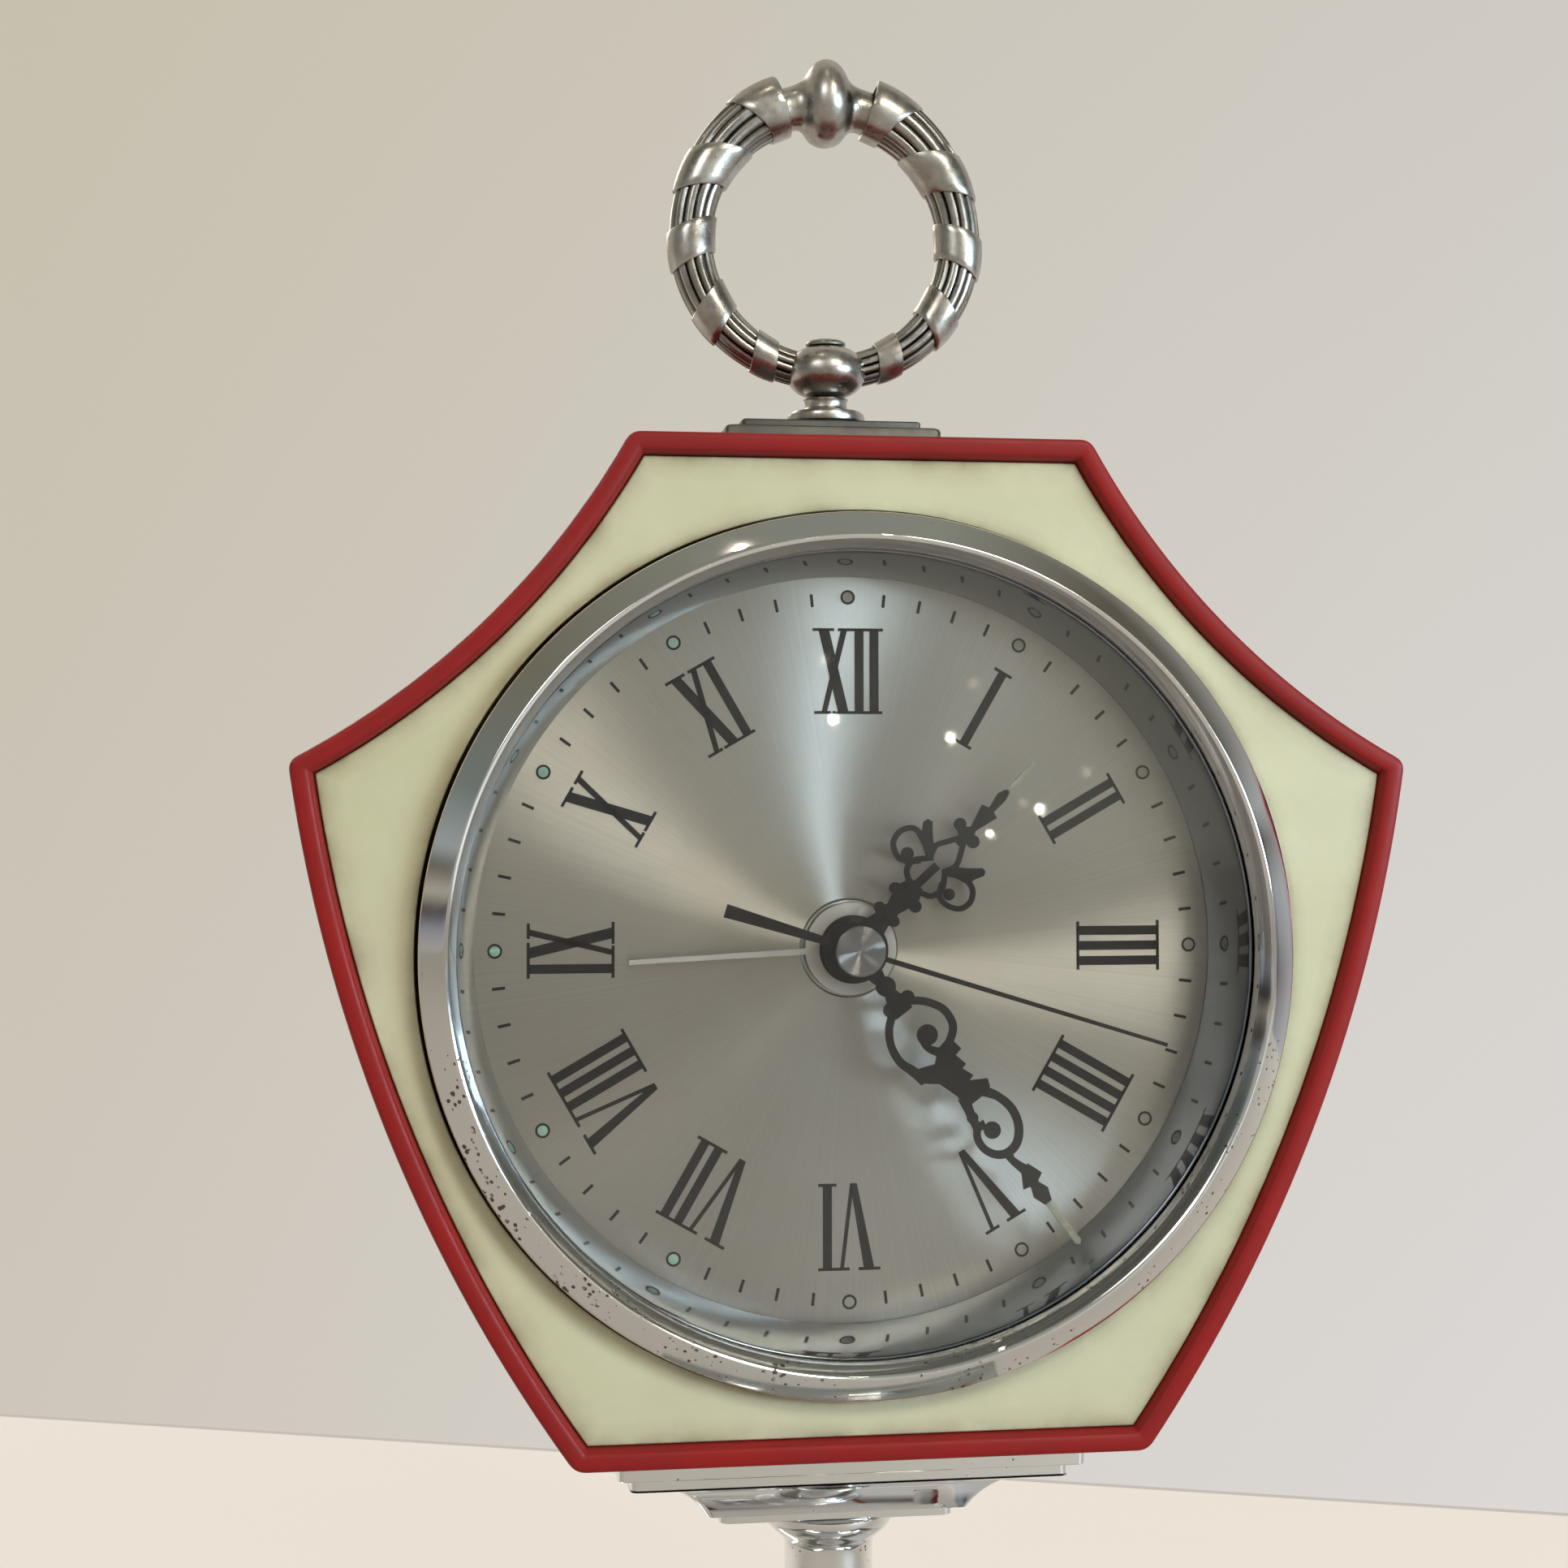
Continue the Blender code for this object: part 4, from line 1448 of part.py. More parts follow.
def setting_knob(name, place, level, teeth, tip_radius):
    """A shaft through the whole movement, with its wheel at the front and its knob behind the cover."""
    shaft = circle(SETTING_SHAFT_RADIUS, PIN_STEPS)
    back = level + WHEEL_THICKNESS
    flutes = gear(KNOB_FLUTES, KNOB_BACK_RADIUS, KNOB_FLUTE_DEPTH)
    knob = stack([(level, back, gear(teeth, tip_radius)), (back, KNOB_FRONT, shaft),
                  (KNOB_FRONT, KNOB_BACK, flutes)])
    place_mesh(name, knob, brass(), at(place))


def make_setting_knobs():
    time_tip = gear_radius(TIME_SET_TEETH, MINUTE_TEETH, TIME_SET_DISTANCE)
    setting_knob("time_set_knob", TIME_SET_PLACE, MINUTE_LEVEL, TIME_SET_TEETH, time_tip)
    alarm_tip = gear_radius(ALARM_SET_TEETH, ALARM_TEETH, ALARM_SET_DISTANCE)
    setting_knob("alarm_set_knob", ALARM_SET_PLACE, ALARM_LEVEL, ALARM_SET_TEETH, alarm_tip)


def key_outline():
    """The wings of a winding key, with a round boss at their middle."""
    boss = KEY_HUB_RADIUS + SEAT
    half = KEY_WING_THICKNESS / 2
    start = math.asin(half / boss)
    top = arc(CENTRE, boss, start, math.pi - start, 6)
    bottom = arc(CENTRE, boss, math.pi + start, 2 * math.pi - start, 6)
    return ([(KEY_WING_HALF, -half), (KEY_WING_HALF, half)] + top
            + [(-KEY_WING_HALF, half), (-KEY_WING_HALF, -half)] + bottom)


def make_keys():
    for name, place in (("time_winding_key", GREAT_PLACE), ("alarm_winding_key", ALARM_SPRING_PLACE)):
        socket_end = KEY_BACK - KEY_CROWN + SEAT
        key = stack([(KEY_FRONT, KEY_WING_FRONT, circle(KEY_HUB_RADIUS)),
                     (KEY_WING_FRONT, KEY_BACK, key_outline())],
                    posts=[(KEY_FRONT, socket_end, circle(WINDING_ARBOR_RADIUS + SEAT, PIN_STEPS))])
        place_mesh(name, key, brass(), at(place))


def make_alarm_train():
    place = ALARM_SPRING_PLACE
    arbor = stack([(PIVOT_FRONT, KEY_BACK - KEY_CROWN, circle(WINDING_ARBOR_RADIUS, PIN_STEPS))])
    place_mesh("alarm_arbor", arbor, steel(), at(place))
    strip = spiral(SPRING_INNER, ALARM_SPRING_OUTER, ALARM_SPRING_TURNS, SPRING_THICKNESS)
    place_mesh("alarm_spring", stack([(SPRING_FRONT, SPRING_FRONT + SPRING_WIDTH, strip)]),
               steel(), at(place))
    radius = gear_radius(ALARM_GREAT_TEETH, PINION_LEAVES, ALARM_ESCAPE_DISTANCE)
    back = GREAT_LEVEL + GREAT_THICKNESS
    bore = (GREAT_LEVEL, back, circle(WINDING_ARBOR_RADIUS + PLAY, PIN_STEPS))
    wheel = stack([(GREAT_LEVEL, back, gear(ALARM_GREAT_TEETH, radius))], holes=[bore])
    place_mesh("alarm_great_wheel", wheel, brass(), at(place))

    thin = circle(ARBOR_RADIUS, PIN_STEPS)
    star_back = CENTRE_LEVEL + WHEEL_THICKNESS
    pinion_back = CENTRE_PINION_LEVEL + CENTRE_PINION_LENGTH
    pinion_radius = gear_radius(PINION_LEAVES, ALARM_GREAT_TEETH, ALARM_ESCAPE_DISTANCE)
    star = gear(ALARM_ESCAPE_TEETH, ALARM_ESCAPE_RADIUS, 2 * TOOTH_DEPTH)
    leaves = gear(PINION_LEAVES, pinion_radius, TOOTH_DEPTH / 2)
    escape = stack([(PIVOT_FRONT, CENTRE_LEVEL, thin), (CENTRE_LEVEL, star_back, star),
                    (star_back, CENTRE_PINION_LEVEL, thin), (CENTRE_PINION_LEVEL, pinion_back, leaves),
                    (pinion_back, PIVOT_BACK, thin)])
    place_mesh("alarm_escape_wheel", escape, brass(), at(ALARM_ESCAPE_PLACE))


def lollipop(hub_radius, end, end_radius, half_width):
    """A round hub, a straight arm and a round head, from the pivot at the middle to the given end."""
    direction = math.atan2(end[1], end[0])
    hub_open = math.asin(half_width / hub_radius)
    end_open = math.asin(half_width / end_radius)
    points = arc(CENTRE, hub_radius, direction + hub_open, direction + 2 * math.pi - hub_open, 10)
    return points + arc(end, end_radius, direction + math.pi + end_open,
                        direction + 3 * math.pi - end_open, 10)


def make_alarm_hammer():
    """The hammer rocks on the alarm's escape wheel and strikes the bell with its head."""
    arbor = circle(ARBOR_RADIUS, PIN_STEPS)
    hub_radius = 2 * ARBOR_RADIUS
    star_back = CENTRE_LEVEL + WHEEL_THICKNESS
    drop = (ALARM_ESCAPE_PLACE[0] - HAMMER_SIDE, ALARM_ESCAPE_PLACE[1] - HAMMER_RISE)
    towards_star = math.atan2(drop[0], drop[1])
    pallet = turned_out([(-hub_radius, -HAMMER_ARM), (-hub_radius, HAMMER_ARM),
                         (hub_radius, hub_radius), (HAMMER_PALLET_REACH, hub_radius),
                         (HAMMER_PALLET_REACH - HAMMER_ARM, 0.0),
                         (HAMMER_PALLET_REACH, -hub_radius), (hub_radius, -hub_radius)],
                        1.0, towards_star)
    head = (HAMMER_HEAD_SIDE, HAMMER_HEAD_RISE)
    arm = lollipop(hub_radius, head, HAMMER_HEAD_RADIUS, HAMMER_ARM)
    hammer = stack([(PIVOT_FRONT, CENTRE_LEVEL, arbor), (CENTRE_LEVEL, star_back, pallet),
                    (star_back, -HAMMER_HEAD_HALF, arbor),
                    (-HAMMER_HEAD_HALF, HAMMER_HEAD_HALF, arm),
                    (HAMMER_HEAD_HALF, PIVOT_BACK, arbor)])
    place_mesh("alarm_hammer", hammer, steel(), at(HAMMER_PLACE))


BELL_SHARES = ((0.64, 0.05), (0.95, 0.3), (1.0, 0.6), (1.0, 1.0))


def make_alarm_bell():
    crown = BELL_FRONT
    outer = [(BELL_RADIUS * width, crown + BELL_DEPTH * drop) for width, drop in BELL_SHARES]
    shoulder = (outer[0][0] - BELL_WALL, outer[0][1] + BELL_WALL)
    inner = [shoulder] + [(r - BELL_WALL, t) for r, t in outer[1:]]
    stud_front = FRONT_PLATE_BACK + SEAT
    profile = [(0.0, stud_front), (BELL_STUD_RADIUS, stud_front), (BELL_STUD_RADIUS, crown)]
    profile += outer + inner[::-1] + [(0.0, crown + BELL_WALL)]
    place_mesh("alarm_bell", turned(profile, "Y", HUB_STEPS), chrome(), at(BELL_PLACE))


def make_stop_button():
    rod = circle(STOP_ROD_RADIUS, PIN_STEPS)
    button = stack([(STOP_ROD_FRONT, KNOB_FRONT, rod),
                    (KNOB_FRONT, KNOB_FRONT + STOP_BUTTON_LENGTH, circle(STOP_BUTTON_RADIUS))])
    place_mesh("alarm_stop_button", button, brass(), at(STOP_PLACE))


def make_regulator():
    """A flat arm on the rear plate, whose bent tab shows in the slot of the cover."""
    front = REAR_PLATE_BACK + SEAT
    back = front + REGULATOR_THICKNESS
    head_radius = REGULATOR_TAB_HALF + REGULATOR_TAB_THICKNESS
    arm = lollipop(REGULATOR_HUB_RADIUS, (0.0, REGULATOR_REACH), head_radius, REGULATOR_TAB_THICKNESS)
    tab = [(side * REGULATOR_TAB_HALF, REGULATOR_REACH + rise * REGULATOR_TAB_THICKNESS)
           for side, rise in ((1, 1), (-1, 1), (-1, -1), (1, -1))]
    lever = stack([(front, back, arm)],
                  holes=[(front, back, circle(ARBOR_RADIUS + PLAY, PIN_STEPS))],
                  posts=[(back, COVER_BACK + REGULATOR_TAB_PROUD, tab)])
    place_mesh("regulator_lever", lever, steel(), at(BALANCE_PLACE))


def main():
    clear_scene()
    make_case_frame()
    make_front_panel()
    make_bezel()
    make_lens()
    make_reflector_ring()
    make_dial_plate()
    make_rear_cover()
    make_cover_screws()
    make_handle_plate()
    make_handle_pedestal()
    make_handle_ring()
    make_handle_screw()
    make_bracket()
    make_column()
    make_base()
    make_tie_rod()
    make_hour_hand()
    make_minute_hand()
    make_second_hand()
    make_hand_cap()
    make_alarm_hand()
    make_plates()
    make_pillars()
    make_going_arbor()
    make_centre_wheel()
    make_third_wheel()
    make_fourth_wheel()
    make_escape_wheel()
    make_pallet_lever()
    make_balance()
    make_motion_work()
    make_setting_knobs()
    make_keys()
    make_alarm_train()
    make_alarm_hammer()
    make_alarm_bell()
    make_stop_button()
    make_regulator()


main()
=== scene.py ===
import json
import math

import bmesh
import bpy
from mathutils import Matrix, Vector, geometry


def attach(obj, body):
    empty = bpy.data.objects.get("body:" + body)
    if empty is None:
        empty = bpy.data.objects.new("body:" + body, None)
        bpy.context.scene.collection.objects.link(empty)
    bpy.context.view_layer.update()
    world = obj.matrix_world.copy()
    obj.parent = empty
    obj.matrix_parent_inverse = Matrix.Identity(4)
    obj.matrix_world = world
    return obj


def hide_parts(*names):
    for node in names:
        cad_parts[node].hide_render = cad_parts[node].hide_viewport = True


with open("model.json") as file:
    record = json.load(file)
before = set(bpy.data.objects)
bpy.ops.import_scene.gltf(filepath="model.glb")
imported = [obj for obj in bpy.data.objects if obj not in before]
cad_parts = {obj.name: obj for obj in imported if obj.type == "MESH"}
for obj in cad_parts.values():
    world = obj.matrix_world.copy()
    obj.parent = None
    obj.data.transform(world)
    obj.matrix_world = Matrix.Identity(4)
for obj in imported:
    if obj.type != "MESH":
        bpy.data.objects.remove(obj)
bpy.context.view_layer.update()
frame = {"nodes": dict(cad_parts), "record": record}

# Camera. It stands a little to the left of the clock and looks up at it by two degrees, as in the
# photograph, and its lens is shifted by what the photograph's framing needs. Sizes are in millimetres.
MM = 0.001
CAMERA_PLACE = Vector((-46.5, -296.4, 121.45))
CAMERA_TURN = math.radians(8.73)
CAMERA_PITCH = math.radians(2.16)
CAMERA_ROLL = math.radians(-0.12)
PHOTO_SIDE = 1932
AXIS_COLUMN = 1007.9
AXIS_ROW = 879.9
LENS_LENGTH = 59.76
SENSOR_WIDTH = 36.0
FOCAL_PIXELS = LENS_LENGTH / SENSOR_WIDTH * PHOTO_SIDE

ahead = Vector((
    math.sin(CAMERA_TURN) * math.cos(CAMERA_PITCH),
    math.cos(CAMERA_TURN) * math.cos(CAMERA_PITCH),
    math.sin(CAMERA_PITCH),
))
level = Vector((math.cos(CAMERA_TURN), -math.sin(CAMERA_TURN), 0))
upright = level.cross(ahead)
camera_right = math.cos(CAMERA_ROLL) * level + math.sin(CAMERA_ROLL) * upright
camera_up = math.cos(CAMERA_ROLL) * upright - math.sin(CAMERA_ROLL) * level
camera_data = bpy.data.cameras.new("camera")
camera_data.lens = LENS_LENGTH
camera_data.sensor_width = SENSOR_WIDTH
camera_data.shift_x = 0.5 - AXIS_COLUMN / PHOTO_SIDE
camera_data.shift_y = AXIS_ROW / PHOTO_SIDE - 0.5
camera_data.clip_start = 0.01
camera = bpy.data.objects.new("camera", camera_data)
turn = Matrix((camera_right, camera_up, -ahead)).transposed().to_4x4()
camera.matrix_world = Matrix.Translation(CAMERA_PLACE * MM) @ turn
bpy.context.scene.collection.objects.link(camera)
bpy.context.scene.camera = camera
bpy.context.scene.view_settings.view_transform = "Standard"

# Table. A pale plain table top, whose back edge lies where the photograph shows it behind the clock.
# Towards the front it is painted darker, as painted shade where the light falls off. Beyond it is a
# plain pale wall, which is the colour of the world.
TABLE_EDGE_ROWS = (1745, 1868)  # of its back edge, at the photograph's left and right sides
TABLE_REACH = 3000.0
TABLE_LIT = (95.0, 0.64)  # depth behind the clock, and how much of the daylight the table has there
TABLE_DIM = (-30.0, 0.2)
TABLE_PALE = (226, 216, 207)
TABLE_SHADY = (172, 162, 152)
TABLE_GLOW = (1.0, 0.925, 0.82)
EDGE_SHADE = (194, 186, 178)
EDGE_SHADE_HEIGHT = 0.5


def paint(red, green, blue):
    """The linear colour of an 8-bit one."""
    shares = [part / 255 for part in (red, green, blue)]
    return [s / 12.92 if s <= 0.04045 else ((s + 0.055) / 1.055) ** 2.4 for s in shares]


def finish(name, colour, metallic=0.0, roughness=0.5, **more):
    """A material with one Principled shader, whose sockets named here are set."""
    material = bpy.data.materials.new(name)
    material.use_nodes = True
    shader = material.node_tree.nodes["Principled BSDF"]
    sockets = {"Base Color": (*colour, 1), "Metallic": metallic, "Roughness": roughness}
    sockets.update({key.replace("_", " "): value for key, value in more.items()})
    for key, value in sockets.items():
        shader.inputs[key].default_value = value
    return material


def add(material, kind, settings=(), **sockets):
    """Adds a node to a material or a world and fills its sockets, with values or from other nodes."""
    tree = material.node_tree
    made = tree.nodes.new("ShaderNode" + kind)
    for key, value in dict(settings).items():
        setattr(made, key, value)
    for key, value in sockets.items():
        place = int(key[1:]) if key[1:].isdigit() else key.replace("_", " ")
        socket = made.inputs[place]
        if isinstance(value, bpy.types.NodeSocket):
            tree.links.new(value, socket)
        else:
            socket.default_value = value
    return made


def feed(material, socket, value):
    """Links a value to a socket of the material's Principled shader."""
    shader = material.node_tree.nodes["Principled BSDF"]
    material.node_tree.links.new(value, shader.inputs[socket])


def maths(material, operation, *values):
    """The result of a Math node, whose inputs are values or come from other nodes."""
    inputs = {f"i{index}": value for index, value in enumerate(values)}
    return add(material, "Math", {"operation": operation}, **inputs).outputs[0]


def surface_place(material):
    """The place on the piece, in metres."""
    return add(material, "TexCoord").outputs["Object"]


def coordinate(material, index):
    """One coordinate of the place on the piece: 0 is rightwards, 1 backwards and 2 upwards."""
    return add(material, "SeparateXYZ", Vector=surface_place(material)).outputs[index]


def between(material, value, low, high, out_low=0, out_high=1, curve="LINEAR"):
    """Takes a value's stretch from low to high to another stretch, and keeps it inside."""
    settings = {"clamp": True, "interpolation_type": curve}
    ends = {"i1": low, "i2": high, "i3": out_low, "i4": out_high}
    return add(material, "MapRange", settings, i0=value, **ends).outputs[0]


def blended(material, share, first, second):
    """Mixes two colours, each given as a colour or from a node."""
    made = add(material, "Mix", {"data_type": "RGBA"}, i0=share)
    for place, colour in ((6, first), (7, second)):
        if isinstance(colour, bpy.types.NodeSocket):
            material.node_tree.links.new(colour, made.inputs[place])
        else:
            made.inputs[place].default_value = (*colour[:3], 1)
    return made.outputs[2]


def table_point(column, row):
    """Where the camera's ray through a pixel of the photograph meets the table."""
    ray = ahead + camera_right * (column - AXIS_COLUMN) / FOCAL_PIXELS
    ray = ray + camera_up * (AXIS_ROW - row) / FOCAL_PIXELS
    return CAMERA_PLACE - ray * CAMERA_PLACE.z / ray.z


def sheet(name, corners, material):
    """A flat sheet through corners in millimetres."""
    bm = bmesh.new()
    bm.faces.new([bm.verts.new(corner * MM) for corner in corners])
    mesh = bpy.data.meshes.new(name)
    bm.to_mesh(mesh)
    mesh.materials.append(material)
    made = bpy.data.objects.new(name, mesh)
    bpy.context.scene.collection.objects.link(made)
    return made


table_paint = finish("table_paint", paint(*TABLE_PALE), roughness=0.6)
path = add(table_paint, "LightPath").outputs
seen = maths(table_paint, "MAXIMUM", path["Is Camera Ray"], path["Is Glossy Ray"])
seen = maths(table_paint, "MAXIMUM", seen, path["Is Transmission Ray"])
# Painted shade: towards the front, the table's colour goes darker and its glow weaker, as the light falls
# off.
depth = coordinate(table_paint, 1)
span = (TABLE_DIM[0] * MM, TABLE_LIT[0] * MM)
daylight = between(table_paint, depth, *span, TABLE_DIM[1], TABLE_LIT[1], "SMOOTHSTEP")
tone = blended(table_paint, between(table_paint, depth, *span), paint(*TABLE_SHADY), paint(*TABLE_PALE))
feed(table_paint, "Base Color", tone)
glow = add(table_paint, "Emission", Color=(*TABLE_GLOW, 1), Strength=1.0).outputs[0]
tree = table_paint.node_tree
lit = tree.nodes["Principled BSDF"].outputs[0]
share = maths(table_paint, "MULTIPLY", seen, daylight)
both = add(table_paint, "MixShader", i0=share, i1=lit, i2=glow).outputs[0]
tree.links.new(both, tree.nodes["Material Output"].inputs["Surface"])

edge_left = table_point(0, TABLE_EDGE_ROWS[0])
edge_right = table_point(PHOTO_SIDE, TABLE_EDGE_ROWS[1])
edge_run = (edge_right - edge_left).normalized() * TABLE_REACH
edge = [edge_left - edge_run, edge_right + edge_run]
near = [corner - Vector((0, 2 * TABLE_REACH, 0)) for corner in edge]
table_top = sheet("table_top", edge[::-1] + near, table_paint)
# Painted shadow: a thin strip that glows grey-brown along the back edge stands for the shade where the table
# meets the wall.
edge_glow = {"Emission_Color": (*paint(*EDGE_SHADE), 1), "Emission_Strength": 1.0}
above = [corner + Vector((0, 0, EDGE_SHADE_HEIGHT)) for corner in edge[::-1]]
edge_shade = sheet("table_edge_shade", edge + above, finish("edge_shade", (0, 0, 0), **edge_glow))

# Light. A cool window at the right and level with the dial, warm soft light from the ceiling, a weak
# lamp at the left and a few small warm lamps that show as sparks. The world is the pale wall behind the
# clock and, in front of it, the darker room that the chrome mirrors.
LIGHTS = (  # name, place, aim, width, height, watts, colour
    ("window", (520, -520, 195), (0, 0, 110), 340, 90, 3.5, (0.66, 0.85, 1.0)),
    ("left_lamp", (-420, -620, 560), (0, 0, 110), 300, 300, 1.2, (1.0, 0.98, 0.95)),
    ("ceiling", (300, -660, 580), (0, 0, 100), 200, 200, 2.0, (1.0, 0.95, 0.82)),
    ("back_lamp", (-260, 620, 480), (0, 0, 110), 300, 300, 0.9, (1.0, 0.97, 0.93)),
    ("lamp_1", (-107, -166, 725), (0, 0, 110), 10, 10, 0.08, (1.0, 0.86, 0.66)),
    ("lamp_2", (140, -460, 640), (0, 0, 110), 14, 14, 0.10, (1.0, 0.86, 0.66)),
    ("lamp_3", (182, -1208, 195), (0, 0, 110), 3.5, 3.5, 0.02, (1.0, 0.9, 0.75)),
    ("lamp_4", (260, -1200, 183), (0, 0, 110), 3.5, 3.5, 0.02, (1.0, 0.9, 0.75)),
    ("lamp_5", (319, -1195, 136), (0, 0, 110), 3.5, 3.5, 0.015, (1.0, 0.9, 0.75)),
    ("lamp_6", (286, -1200, 120), (0, 0, 110), 3, 3, 0.007, (1.0, 0.9, 0.75)),
)
for name, place, aim, width, height, watts, colour in LIGHTS:
    data = bpy.data.lights.new(name, "AREA")
    data.shape = "RECTANGLE"
    data.size, data.size_y = width * MM, height * MM
    data.energy = watts
    data.color = colour
    light = bpy.data.objects.new(name, data)
    turn = (Vector(aim) - Vector(place)).to_track_quat("-Z", "Y").to_matrix().to_4x4()
    light.matrix_world = Matrix.Translation(Vector(place) * MM) @ turn
    bpy.context.scene.collection.objects.link(light)

WALL_UPPER = (paint(199, 192, 174), paint(207, 203, 196))  # at the photograph's left and right
WALL_LOWER = (paint(206, 199, 189), paint(221, 218, 216))
WALL_SIDES = (-0.14, 0.43)  # of a line of sight of length one, how far it goes right where the wall changes
WALL_HEIGHTS = (0.3, -0.28)
WALL_DEPTHS = (-0.02, 0.3)  # from the room in front of the clock to the wall behind it
ROOM_AHEAD = ((0.46, 0.45, 0.42), (1.0, 0.96, 0.76))  # in what faces the camera, at the left and right
ROOM_AHEAD_SIDES = (0.06, 0.30)
ROOM_AHEAD_DEPTHS = (-0.62, -0.82)
ROOM_AHEAD_SHARE = 0.7
ROOM_ROUND = (  # degrees round the line of sight, 0 is up and 90 right, and the colour of the room there
    (-180, (150, 140, 128)), (-104, (196, 186, 170)), (-97, (70, 62, 56)), (-94, (188, 178, 160)),
    (-89, (150, 150, 158)), (-86, (52, 44, 38)), (-83, (178, 172, 156)), (-79, (96, 88, 78)),
    (-76, (160, 166, 164)), (-66, (118, 124, 118)), (-45, (118, 114, 98)), (-12, (136, 136, 124)),
    (20, (142, 143, 130)), (45, (98, 92, 80)), (68, (108, 106, 98)), (76, (160, 164, 164)),
    (80, (78, 76, 74)), (86, (150, 156, 160)), (96, (96, 92, 96)), (108, (150, 150, 156)),
    (180, (150, 140, 128)),
)
world = bpy.data.worlds.new("room")
world.use_nodes = True
bpy.context.scene.world = world
direction = add(world, "TexCoord").outputs["Generated"]
across, depth, height = add(world, "SeparateXYZ", Vector=direction).outputs
rightwards = between(world, across, *WALL_SIDES)
wall_rows = [blended(world, rightwards, *row) for row in (WALL_UPPER, WALL_LOWER)]
wall = blended(world, between(world, height, *WALL_HEIGHTS), *wall_rows)
around = maths(world, "ARCTAN2", across, height)
ramp = add(world, "ValToRGB", Fac=between(world, around, -math.pi, math.pi))
stops = ramp.color_ramp.elements
stops.remove(stops[1])
stops[0].position = 0
stops[0].color = (*paint(*ROOM_ROUND[0][1]), 1)
for degrees, colour in ROOM_ROUND[1:]:
    stops.new(degrees / 360 + 0.5).color = (*paint(*colour), 1)
past_camera = blended(world, between(world, across, *ROOM_AHEAD_SIDES), *ROOM_AHEAD)
ahead_share = between(world, depth, *ROOM_AHEAD_DEPTHS, 0, ROOM_AHEAD_SHARE)
room = blended(world, ahead_share, ramp.outputs["Color"], past_camera)
seen = blended(world, between(world, depth, *WALL_DEPTHS), room, wall)
world.node_tree.links.new(seen, world.node_tree.nodes["Background"].inputs["Color"])

# Case. One moulding of red plastic with six sides, two of them hollow and two bulging. Its rim stands
# round the panel, whose edge lies on a ledge inside, and two bosses take the screws of the cover.
DIAL_Z = 106.65
TOP_CORNER = Vector((24.7, 54.75))
SIDE_CORNER = Vector((59.7, 20.2))
FOOT_CORNER = Vector((30.3, -53.0))
UPPER_SIDE_RADIUS = 86.0
LOWER_SIDE_RADIUS = 163.6
CORNER_REACH = 1.15
LEAST_CORNER_REACH = 0.12
SIDE_STEPS = 40
CORNER_STEPS = 5
CASE_SECTION = (  # (inset from the outline, depth), round the wall, the rim and the ledge
    (0.3, 19.5), (0.0, 19.2), (0.0, -25.55), (0.04, -25.85), (0.14, -26.04), (0.3, -26.13),
    (0.65, -26.18), (1.05, -26.2), (1.45, -26.17), (1.75, -26.1), (1.95, -25.97), (2.05, -25.78),
    (2.37, -24.95), (2.39, -23.25), (2.5, -23.2), (6.1, -23.2), (6.2, -23.1), (6.2, -21.3),
    (6.1, -21.2), (2.4, -21.2), (2.2, -21.0), (2.2, 19.4), (2.3, 19.5),
)
BOSS_PLACES = ((-52.8, DIAL_Z + 18.6), (52.8, DIAL_Z + 18.6))
BOSS_RADIUS = 4.0
BOSS_BORE = 1.1
BOSS_FRONT, BOSS_BACK = 10.5, 19.45
WELD = 0.0005  # points of a mesh that lie nearer than this are one
MOST_EASED = 0.49  # of a side that the rounding of one corner may take
CASE_RED = paint(146, 30, 28)
CASE_RED_DULL = paint(130, 32, 32)


def arc_middle(first, second, radius, side):
    """The middle of the arc of this radius between two points."""
    chord = second - first
    rise = math.sqrt(radius**2 - chord.length_squared / 4)
    return (first + second) / 2 + Vector((-chord.y, chord.x)).normalized() * rise * side


def along(first, last, middle, share):
    """A point between two, on the line through them or on the arc round a middle."""
    if middle is None:
        return first.lerp(last, share)
    start, end = first - middle, last - middle
    whole = start.angle(end)
    bend = start * math.sin((1 - share) * whole) + end * math.sin(share * whole)
    return middle + bend / math.sin(whole)


